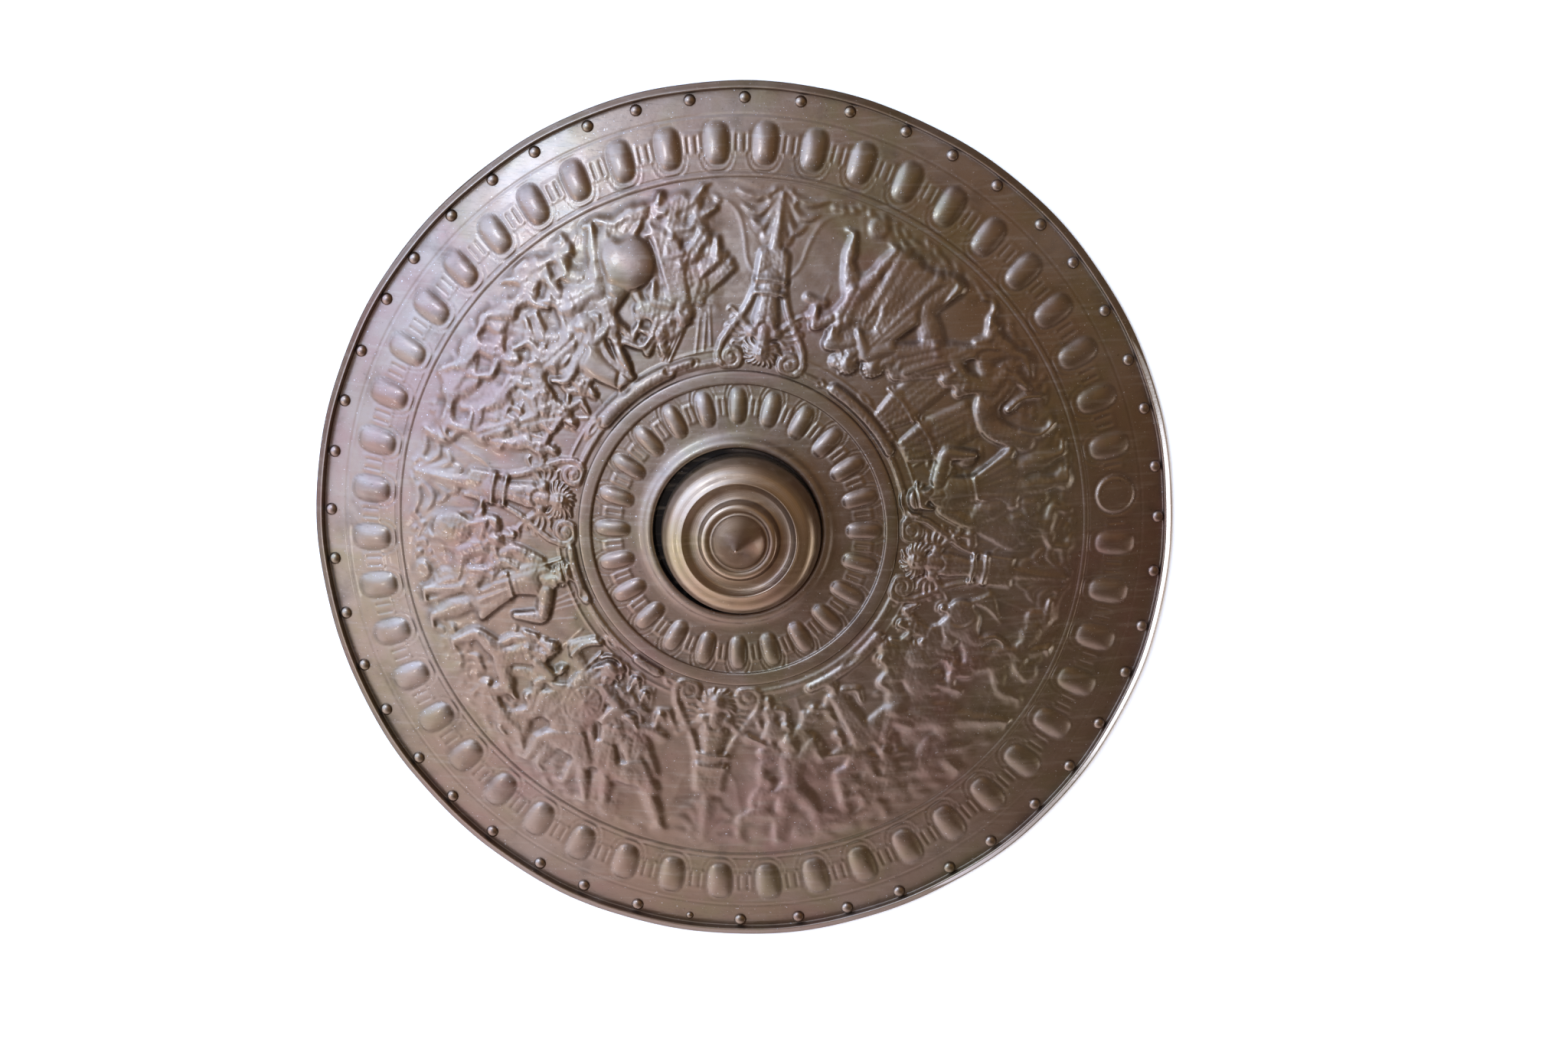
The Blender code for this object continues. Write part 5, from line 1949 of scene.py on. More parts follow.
    @staticmethod
    def _fourth() -> list[Person | Steed | Target | Stroke | Rocks]:
        """The melee with the rearing horse, from the left-hand term to the top one."""
        nude, back = Kit.NONE, Kit.BACK_VIEW
        return [
            Rocks(288, 356, 0.08, 5.5, 4, True), Rocks(296, 330, 0.16, 6.0, 19),
            Person(STRIKE, 291.0, 0.40, 0.42, 1, nude, 1.0), Person(REACH, 297.0, 0.42, 0.44, 1, nude, 1.0),
            Person(STRIKE, 303.5, 0.40, 0.44, -1, nude, 1.0), Person(STAND, 312.5, 0.40, 0.42, 1, nude, 1.0),
            Person(STRIDE, 339.0, 0.40, 0.46, -1, Kit.TUNIC, 1.1),
            Person(REACH, 344.5, 0.38, 0.46, -1, Kit.TUNIC, 1.1),
            Person(CROUCH, 289.0, 0.22, 0.52, 1, back, 1.5), Person(SPRAWL, 298.0, 0.30, 0.54, 1, nude, 1.4),
            Person(REACH, 307.5, 0.24, 0.52, -1, nude, 1.4),
            roll(((333.5, 0.20), (337.0, 0.12), (340.0, 0.16), (342.5, 0.07)), (8.0, 3.0), 3.4),
            roll(((336.0, 0.22), (338.5, 0.10), (344.5, 0.09), (346.0, 0.03)), (7.5, 2.6), 3.0),
            roll(((336.5, 0.30), (331.0, 0.38), (325.5, 0.46), (321.5, 0.55)), (15.5, 12.0), 4.6),
            roll(((321.5, 0.50), (318.8, 0.62), (319.4, 0.74), (322.2, 0.86)), (12.0, 7.0), 4.4),
            roll(((322.0, 0.87), (325.0, 0.80), (326.2, 0.69)), (6.0, 3.4), 3.6),
            roll(((320.0, 0.52), (313.0, 0.55), (310.5, 0.47), (312.5, 0.42)), (5.0, 2.4), 2.6),
            roll(((318.5, 0.58), (311.0, 0.64), (308.0, 0.58)), (4.6, 2.3), 2.4),
            roll(((337.2, 0.315), (335.6, 0.29)), (17.5, 16.5), 6.5, 1.2),
            roll(((325.2, 0.87), (323.6, 0.77), (323.2, 0.66), (325.0, 0.54)), (2.4, 3.4), 2.0, 2.4),
            Person(RIDER, 328.8, 0.22, 0.50, -1, Kit.BEARD, 2.6),
            roll(((328.6, 0.68), (332.0, 0.75), (336.0, 0.72)), (3.2, 2.2), 2.2, 2.2),
            Person(ARCH, 317.0, 0.26, 0.56, -1, back, 1.7), Person(ARCH, 328.5, 0.05, 0.68, -1, nude, 2.0),
            Person(FALLEN, 293.5, 0.07, 0.56, 1, nude, 1.7),
            Person(SIT, 303.0, 0.04, 0.52, -1, Kit.TUNIC, 1.8),
            Person(SPRAWL, 312.5, 0.06, 0.54, 1, nude, 1.8), Person(FALLEN, 321.5, 0.03, 0.44, -1, nude, 1.6),
            Person(KNEEL, 350.0, 0.30, 0.48, -1, Kit.TUNIC | Kit.CLOAK, 1.4),
            Person(STAND, 345.5, 0.14, 0.58, -1, Kit.ROBE, 1.6),
            Person(CROUCH, 352.5, 0.14, 0.48, -1, back, 1.6),
            Person(FALLEN, 340.5, 0.04, 0.44, -1, nude, 1.7), Person(SIT, 348.5, 0.03, 0.42, 1, nude, 1.6),
            Target(319.0, 0.035, 8.0, 5.0, 0.0, 1.4),
        ]

    def carve(self) -> None:
        """Carves the whole band and softens it as chasing tools and rubbing leave it."""
        canvas = self.canvas
        z = canvas.z
        for item in [*self.distance(), *self.masses(), *self.fight(), *self.strapwork()]:
            item.carve(canvas)
        filled = spread(spread(z, self.FILL_REACH, np.maximum), self.FILL_REACH, np.minimum)
        z += self.FILL_SHARE * (filled - z) * smooth(0.6, 1.6, filled)
        before = z.copy()
        for i, bearing in enumerate(self.TERMS):
            Term(bearing, i + 2).carve(canvas)
        z[:] = before + self.TERM_SHARE * (z - before)
        z += 0.16 * ripple(canvas.x, canvas.y, 14.0, 11) + 0.05 * ripple(canvas.x, canvas.y, 6.0, 12)
        share = (canvas.radius - canvas.radius[0]) / canvas.width
        edges = smooth(0.0, 0.025, share) * smooth(1.0, 0.985, share)
        z[:] = np.clip(self._rubbed_down(self._chased(z)), self.LOWEST, self.HIGHEST) * edges[:, None]

    def _chased(self, z: Field) -> Field:
        """Rounds every edge over.

        Args:
            z: The heights.

        Returns:
            The softer heights.
        """
        for _ in range(self.SMOOTHINGS):
            z = (np.roll(z, 1, axis=1) + np.roll(z, -1, axis=1) + 2 * z) / 4
            z[1:-1] = (z[:-2] + 2 * z[1:-1] + z[2:]) / 4
        return z

    def _rubbed_down(self, z: Field) -> Field:
        """Rubs the relief down in patches and on one side, and crinkles its low forms.

        Args:
            z: The heights.

        Returns:
            The worn heights.
        """
        x, y, bearing = self.canvas.x, self.canvas.y, self.canvas.bearing[None, :]
        starts, full, ends, ended = self.FADED
        patches = 0.35 * np.clip(0.5 + 0.5 * ripple(x, y, 34.0, 21), 0, 1)
        rubbed = 0.8 * smooth(starts, full, bearing) * smooth(ended, ends, bearing) + patches
        rubbed = np.clip(rubbed, 0, 0.85)
        z = z * (1 - rubbed) + self.FADED_SHARE * blurred(blurred(z, 2), 2) * rubbed
        crinkle = ripple(x, y, 4.2, 31) + 0.7 * ripple(x, y, 2.6, 32)
        low = smooth(0.4, 1.6, z) * smooth(5.2, 3.4, z)
        return z + self.CRINKLE * crinkle * low * (1 - 0.5 * rubbed)


def link(name: str, mesh: bpy.types.Mesh, material: bpy.types.Material) -> bpy.types.Object:
    """Puts a mesh into the scene as an object at the origin.

    Args:
        name: The object's name.
        mesh: Its mesh.
        material: Its material.

    Returns:
        The object.
    """
    mesh.materials.clear()
    mesh.materials.append(material)
    piece = bpy.data.objects.new(name, mesh)
    bpy.context.scene.collection.objects.link(piece)
    return piece


def blurred(values: Field, reach: int, closed: bool = True) -> Field:
    """Mean over a square neighbourhood of each cell.

    Args:
        values: A grid with bearings along its second axis.
        reach: Cells on each side.
        closed: Whether the grid runs all the way round.

    Returns:
        The blurred grid.
    """
    size = 2 * reach + 1
    mode = "wrap" if closed else "edge"
    padded = np.pad(values, ((0, 0), (reach + 1, reach)), mode=mode)
    total = np.cumsum(padded, axis=1)
    rows = (total[:, size:] - total[:, :-size]) / size
    padded = np.pad(rows, ((reach + 1, reach), (0, 0)), mode="edge")
    total = np.cumsum(padded, axis=0)
    return (total[size:] - total[:-size]) / size


def spread(values: Field, reach: int, pick: np.ufunc) -> Field:
    """Highest or lowest value within a few cells of each cell.

    Args:
        values: A grid that runs all the way round along its second axis.
        reach: Cells on each side.
        pick: np.maximum or np.minimum.

    Returns:
        The new grid.
    """
    result = values.copy()
    for _ in range(reach):
        result = pick(result, pick(np.roll(result, 1, axis=1), np.roll(result, -1, axis=1)))
        result[1:-1] = pick(result[1:-1], pick(result[:-2], result[2:]))
    return result


def worn(relief: Field, reach: int, closed: bool = True) -> Field:
    """Finds how far each cell stands out of its surroundings.

    Args:
        relief: The heights.
        reach: Cells on each side that count as near.
        closed: Whether the grid runs all the way round.

    Returns:
        Values from -1 in recesses to 1 on crests.
    """
    near = relief - blurred(relief, reach, closed)
    far = relief - blurred(blurred(relief, reach * 2, closed), reach * 2, closed)
    return np.clip(near * 0.9 + far * 0.35, -1.0, 1.0)


@dataclass
class Sheet:
    """A grid of points in millimetres with bearings along its second axis and rows along its first.

    Attributes:
        x: Plan coordinates of the points.
        y: Plan coordinates of the points.
        z: Heights.
        wear: How far each point stands out of its surroundings; on the rim and in the recess it is a set
            value that paints light, a painted reflection and painted shade.
        closed: Whether the grid runs all the way round.
        upward: Whether its faces look up where its rows run outwards.
    """

    x: Field
    y: Field
    z: Field
    wear: Field
    closed: bool = True
    upward: bool = True

    def normals(self) -> Field:
        """Unit normals of the whole grid."""
        points = np.stack((self.x, self.y, self.z), axis=-1)
        if self.closed:
            along = np.roll(points, -1, axis=1) - np.roll(points, 1, axis=1)
        else:
            along = np.gradient(points, axis=1)
        normal = np.cross(along, np.gradient(points, axis=0))
        if not self.upward:
            normal = -normal
        return normal / np.maximum(np.linalg.norm(normal, axis=-1, keepdims=True), 1e-9)

    def mesh(self, name: str, first: int = 0, last: int | None = None, exact: bool = True) -> bpy.types.Mesh:
        """Mesh of all or some of the columns.

        Args:
            name: The mesh's name.
            first: First column.
            last: Last column, all of them when left out.
            exact: Whether the normals of the whole grid are kept, so that neighbours meet without a seam.

        Returns:
            The mesh.
        """
        rows, count = self.z.shape
        if last is None:
            last = count if self.closed else count - 1
        columns = np.arange(first, last + 1) % count
        whole = self.closed and last - first == count
        if whole:
            columns = columns[:-1]
        wide = len(columns)
        pick = np.ix_(np.arange(rows), columns)
        points = np.stack((self.x[pick], self.y[pick], self.z[pick]), axis=-1).reshape(-1, 3) * MM
        across = wide if whole else wide - 1
        r, c = np.meshgrid(np.arange(rows - 1), np.arange(across), indexing="ij")
        right = (c + 1) % wide
        corners = (r * wide + c, r * wide + right, (r + 1) * wide + right, (r + 1) * wide + c)
        if not self.upward:
            corners = corners[::-1]
        quads = np.stack(corners, axis=-1).reshape(-1, 4)
        mesh = bpy.data.meshes.new(name)
        mesh.vertices.add(len(points))
        mesh.vertices.foreach_set("co", points.ravel())
        mesh.loops.add(quads.size)
        mesh.loops.foreach_set("vertex_index", quads.ravel().astype(np.int32))
        mesh.polygons.add(len(quads))
        mesh.polygons.foreach_set("loop_start", np.arange(0, quads.size, 4, dtype=np.int32))
        mesh.update(calc_edges=True)
        mesh.shade_smooth()
        wear = mesh.attributes.new("wear", "FLOAT", "POINT")
        wear.data.foreach_set("value", self.wear[pick].ravel().astype(np.float32))
        if exact:
            mesh.normals_split_custom_set_from_vertices(self.normals()[pick].reshape(-1, 3).tolist())
        return mesh


def turned(profile: Sequence[Point], count: int, wear: float = 0.0, upward: bool = True) -> Sheet:
    """Sheet of a turned form.

    Args:
        profile: Radius and height of each station, in millimetres.
        count: Columns round it.
        wear: Wear that is the same all over; below -1, as in the recess, it paints pitch-dark shade.
        upward: As for a sheet.

    Returns:
        The sheet.
    """
    radius = np.array([p[0] for p in profile], float)[:, None]
    level = np.array([p[1] for p in profile], float)[:, None]
    angle = np.radians(np.arange(count) * 360.0 / count)[None, :]
    z = np.repeat(level, count, axis=1)
    return Sheet(radius * np.sin(angle), radius * np.cos(angle), z, np.full_like(z, wear), True, upward)


def arc(centre: Point, radii: Point, first: float, last: float, steps: int) -> list[Point]:
    """Gives the points of an arc in a section.

    Args:
        centre: Its middle.
        radii: Its half-width and its half-height.
        first: Angle of its first point in degrees.
        last: Angle of its last point in degrees.
        steps: Parts that it is cut into.

    Returns:
        The points.
    """
    return [
        (centre[0] + radii[0] * x, centre[1] + radii[1] * y)
        for x, y in directions(np.linspace(first, last, steps + 1))
    ]


def weld(mesh: bpy.types.Mesh) -> None:
    """Merges the doubled points of a turned mesh's poles and turns its faces outwards."""
    work = bmesh.new()
    work.from_mesh(mesh)
    bmesh.ops.remove_doubles(work, verts=work.verts, dist=0.00001)
    bmesh.ops.recalc_face_normals(work, faces=work.faces)
    work.to_mesh(mesh)
    work.free()
    mesh.shade_smooth()


class Graph:
    """A node tree that is built by plain sums."""

    def __init__(self, tree: bpy.types.NodeTree) -> None:
        """Takes an empty tree."""
        self.tree = tree

    def node(self, kind: str, *values: object, **settings: object) -> Wire:
        """Adds a node.

        Args:
            kind: Its type, without the usual prefix where it is a shader node.
            values: Its inputs in order; None leaves one as it is.
            settings: Its properties, and inputs by name where no property has that name.

        Returns:
            Its first output.
        """
        name = kind if kind.startswith("Geometry") or kind.startswith("Function") else f"ShaderNode{kind}"
        made = self.tree.nodes.new(name)
        named = {}
        for key, value in settings.items():
            if hasattr(made, key):
                setattr(made, key, value)
            else:
                named[key.replace("_", " ").title()] = value
        pairs = [(made.inputs[i], value) for i, value in enumerate(values) if value is not None]
        pairs += [(made.inputs[key], value) for key, value in named.items()]
        for socket, value in pairs:
            if isinstance(value, Wire):
                self.tree.links.new(value.socket, socket)
            else:
                socket.default_value = value
        return Wire(self, made.outputs[0] if made.outputs else None, made)


class Wire:
    """An output of a node, which takes part in sums like a number."""

    def __init__(self, graph: Graph, socket: bpy.types.NodeSocket | None, owner: bpy.types.Node) -> None:
        """Wraps a socket."""
        self.graph = graph
        self.socket = socket
        self.owner = owner

    def out(self, name: str) -> Wire:
        """Another output of the same node."""
        return Wire(self.graph, self.owner.outputs[name], self.owner)

    def _sum(self, operation: str, first: object, second: object) -> Wire:
        """A Math node of two values."""
        return self.graph.node("Math", first, second, operation=operation)

    def __add__(self, other: object) -> Wire:
        """Sum."""
        return self._sum("ADD", self, other)

    def __radd__(self, other: object) -> Wire:
        """Sum."""
        return self._sum("ADD", other, self)

    def __sub__(self, other: object) -> Wire:
        """Difference."""
        return self._sum("SUBTRACT", self, other)

    def __rsub__(self, other: object) -> Wire:
        """Difference."""
        return self._sum("SUBTRACT", other, self)

    def __mul__(self, other: object) -> Wire:
        """Product."""
        return self._sum("MULTIPLY", self, other)

    def __rmul__(self, other: object) -> Wire:
        """Product."""
        return self._sum("MULTIPLY", other, self)

    def __pow__(self, other: object) -> Wire:
        """Power."""
        return self._sum("POWER", self, other)

    def over(self, low: float, high: float) -> Wire:
        """Smooth share of the way from low to high."""
        return self.graph.node("MapRange", self, low, high, 0.0, 1.0, interpolation_type="SMOOTHSTEP")

    def between(self, low: object, high: object) -> Wire:
        """Colour between two, with this value as the share."""
        mixed = self.graph.node("Mix", data_type="RGBA", clamp_factor=True)
        node = mixed.owner
        for socket, value in ((node.inputs[0], self), (node.inputs[6], low), (node.inputs[7], high)):
            if isinstance(value, Wire):
                self.graph.tree.links.new(value.socket, socket)
            else:
                socket.default_value = (*value, 1.0) if len(value) == 3 else value
        return Wire(self.graph, node.outputs[2], node)


def open_tree(name: str, inputs: dict[str, str]) -> tuple[Graph, dict[str, Wire]]:
    """Starts a Geometry Nodes tree with named inputs.

    Args:
        name: The tree's name.
        inputs: The kind of each input besides the geometry, by its name.

    Returns:
        The tree's graph, and its inputs by name.
    """
    tree = bpy.data.node_groups.new(name, "GeometryNodeTree")
    tree.interface.new_socket("Geometry", in_out="INPUT", socket_type="NodeSocketGeometry")
    for label, kind in inputs.items():
        tree.interface.new_socket(label, in_out="INPUT", socket_type=f"NodeSocket{kind}")
    tree.interface.new_socket("Geometry", in_out="OUTPUT", socket_type="NodeSocketGeometry")
    graph = Graph(tree)
    entry = tree.nodes.new("NodeGroupInput")
    return graph, {socket.name: Wire(graph, socket, entry) for socket in entry.outputs if socket.name}


def close_tree(shape: Wire, material: bpy.types.Material) -> bpy.types.NodeTree:
    """Ends a Geometry Nodes tree.

    Args:
        shape: The realized geometry.
        material: Its material.

    Returns:
        The finished tree.
    """
    graph = shape.graph
    dressed = graph.node("GeometryNodeSetMaterial", shape, None, material)
    graph.tree.links.new(dressed.socket, graph.tree.nodes.new("NodeGroupOutput").inputs[0])
    return graph.tree


def same_index(index: Wire, other: Wire) -> Wire:
    """Tests whether two whole numbers are equal.

    Args:
        index: The first number.
        other: The second number.

    Returns:
        The answer.
    """
    test = index.graph.node("FunctionNodeCompare", data_type="INT", operation="EQUAL")
    first, second = test.owner.inputs[2], test.owner.inputs[3]
    index.graph.tree.links.new(index.socket, first)
    index.graph.tree.links.new(other.socket, second)
    return test


def settle(piece: bpy.types.Object, tree: bpy.types.NodeTree, values: dict[str, object]) -> bpy.types.Mesh:
    """Runs a tree on a piece and keeps its result as the piece's plain mesh.

    Args:
        piece: The object.
        tree: The Geometry Nodes tree.
        values: What its inputs are set to, by their names.

    Returns:
        The new mesh.
    """
    modifier = piece.modifiers.new("repeat", "NODES")
    modifier.node_group = tree
    for item in tree.interface.items_tree:
        if item.in_out == "INPUT" and item.name in values:
            modifier[item.identifier] = values[item.name]
    solid = piece.evaluated_get(bpy.context.evaluated_depsgraph_get())
    settled = bpy.data.meshes.new_from_object(solid)
    piece.modifiers.clear()
    piece.data = settled
    settled.name = piece.name
    return settled


Colour = tuple[float, float, float]


@dataclass(frozen=True)
class Bronze:
    """Patinated bronze: a metal ground, a darker skin in the recesses and rubbed crests.

    The wear attribute runs from -1 in recesses to 1 on crests and also carries painted light: past 1 it
    paints bright metal as the painted reflection on the rim's lip, and past -1 pitch-dark shade in the
    recess.

    Attributes:
        name: The material's name.
        ground: Colour of the patina.
        deep: Colour in the recesses.
        rubbed: Colour where hands and cloths have rubbed it.
        dusty: Colour of its dull greyish bloom.
        olive: Colour where the patina is greener.
        plum: Colour where it is redder.
        bare_and_painted_glint: Colour of bright metal, which also gives the painted glints and the painted
            reflection on the rim's lip.
        rough: Roughness of the patina.
        shine: Weight of the waxed coat.
        grain: Depth of the fine unevenness, as a bump distance in metres.
        turned: Whether it shows the lathe's fine rings.
        centre: Plan position of the lathe's axis in metres.
    """

    name: str
    ground: Colour = (0.186, 0.117, 0.076)
    deep: Colour = (0.060, 0.036, 0.022)
    rubbed: Colour = (0.29, 0.226, 0.168)
    dusty: Colour = (0.222, 0.162, 0.122)
    olive: Colour = (0.160, 0.122, 0.060)
    plum: Colour = (0.196, 0.106, 0.080)
    bare_and_painted_glint: Colour = (0.78, 0.77, 0.78)
    rough: float = 0.40
    shine: float = 0.32
    grain: float = 0.00035
    turned: bool = False
    centre: Point = (0.0, 0.0)

    METALLIC = 0.93
    COAT_ROUGHNESS = 0.09
    COAT_IOR = 1.55
    # Colour of the painted pitch-dark shade.
    PAINTED_SHADE_COLOUR: Colour = (0.006, 0.005, 0.004)
    RING_PACE = 5200.0

    def build(self) -> bpy.types.Material:
        """Builds the material."""
        material = bpy.data.materials.new(self.name)
        material.use_nodes = True
        tree = material.node_tree
        tree.nodes.clear()
        g = Graph(tree)
        place = g.node("TexCoord").out("Object")
        wear = g.node("Attribute", attribute_name="wear").out("Fac")

        def noise(scale: float, detail: float = 4.0, rough: float = 0.55, warp: float = 0.0) -> Wire:
            """Noise on object coordinates."""
            return g.node("TexNoise", place, scale=scale, detail=detail, roughness=rough, distortion=warp)

        def strokes(turn: float, length: float, scale: float, detail: float) -> Wire:
            """Noise that is drawn out in one direction."""
            drawn = g.node("Mapping", place, None, (0.0, 0.0, turn), (1.0, length, 1.0))
            return g.node("TexNoise", drawn, scale=scale, detail=detail)

        clouds, blotches, specks = noise(9.0, 3.0), noise(45.0, 4.0, 0.6, 0.4), noise(420.0, 3.0, 0.6)
        crest = (wear + (blotches - 0.5) * 0.5).over(0.08, 0.75)
        hollow = (0.0 - wear + (blotches - 0.5) * 0.25).over(0.02, 0.62)
        colour = clouds.over(0.35, 0.68).between(self.ground, self.dusty)
        apart = g.node("SeparateXYZ", place)
        # The tone leans to plum towards the left and the bottom, and to olive towards the right and the top.
        drift = noise(6.0, 4.0, 0.6, 0.8) - apart.out("X") * 0.22 - apart.out("Y") * 0.08
        tone = drift.over(0.40, 0.60).between(self.olive, self.plum)
        colour = (noise(16.0, 4.0, 0.65, 0.5).over(0.40, 0.62) * 0.72).between(colour, tone)
        colour = (blotches.over(0.50, 0.78) * 0.45).between(colour, self.deep)
        colour = (hollow * 0.3).between(colour, self.deep)
        colour = (crest * 0.4).between(colour, self.rubbed)
        colour = (specks.over(0.66, 0.74) * 0.5).between(colour, self.deep)
        # Painted shade: below a wear value of -1, as in the recess round the boss, the colour runs to pitch
        # dark.
        painted_shade = (0.0 - wear).over(1.0, 1.5)
        colour = (painted_shade * 0.95).between(colour, self.PAINTED_SHADE_COLOUR)
        brushed = strokes(-0.5, 9.0, 34.0, 5.0).over(0.52, 0.70)
        colour = (brushed * 0.28).between(colour, self.rubbed)
        # Painted glints: tiny specks in the colour of bright metal, which also stand for worn-through
        # pinpoints.
        colour = (noise(760.0, 2.0, 0.5).over(0.70, 0.76) * 0.55).between(colour, self.bare_and_painted_glint)
        # Painted reflection: past a wear value of 1.2, as on the right-hand side of the rim's lip, the colour
        # runs to bright metal.
        colour = (wear + (blotches - 0.5) * 0.4).over(1.2, 1.5).between(colour, self.bare_and_painted_glint)
        rough = self.rough + (clouds - 0.5) * 0.22 + (blotches - 0.5) * 0.16 + hollow * 0.16 - crest * 0.10
        rough = rough + (brushed - 0.3) * 0.07
        height = specks * 0.22 + noise(150.0, 4.0, 0.6) * 0.5 + blotches * 0.7
        height = height + strokes(0.6, 14.0, 160.0, 2.0).over(0.62, 0.70) * -0.15
        if self.turned:
            x, y = apart.out("X") - self.centre[0], apart.out("Y") - self.centre[1]
            radius = (x * x + y * y) ** 0.5
            rings = g.node("Math", radius * self.RING_PACE + noise(30.0, 2.0) * 3.0, operation="SINE")
            height = height + rings * 0.10
        bump = g.node("Bump", strength=0.55, distance=self.grain)
        tree.links.new(height.socket, bump.owner.inputs["Height"])
        shader = g.node("BsdfPrincipled").owner
        shader.inputs["Metallic"].default_value = self.METALLIC
        shader.inputs["Coat Roughness"].default_value = self.COAT_ROUGHNESS
        shader.inputs["Coat IOR"].default_value = self.COAT_IOR
        tree.links.new(colour.socket, shader.inputs["Base Color"])
        tree.links.new(rough.socket, shader.inputs["Roughness"])
        tree.links.new((self.shine - hollow * 0.3 * self.shine).socket, shader.inputs["Coat Weight"])
        tree.links.new(bump.socket, shader.inputs["Normal"])
        output = g.node("OutputMaterial").owner
        tree.links.new(shader.outputs["BSDF"], output.inputs["Surface"])
        return material


@dataclass(frozen=True)
class Ground:
    """Plain white paper for the floor.

    Attributes:
        name: The material's name.
        colour: Its colour.
        glow: How strongly it shines by itself, so that it stays white.
    """

    name: str
    colour: Colour = (0.86, 0.86, 0.86)
    glow: float = 0.32

    def build(self) -> bpy.types.Material:
        """Builds the material."""
        material = bpy.data.materials.new(self.name)
        material.use_nodes = True
        shader = material.node_tree.nodes["Principled BSDF"]
        shader.inputs["Base Color"].default_value = (*self.colour, 1.0)
        shader.inputs["Roughness"].default_value = 0.9
        shader.inputs["Specular IOR Level"].default_value = 0.1
        shader.inputs["Emission Color"].default_value = (1.0, 1.0, 1.0, 1.0)
        shader.inputs["Emission Strength"].default_value = self.glow
        return material


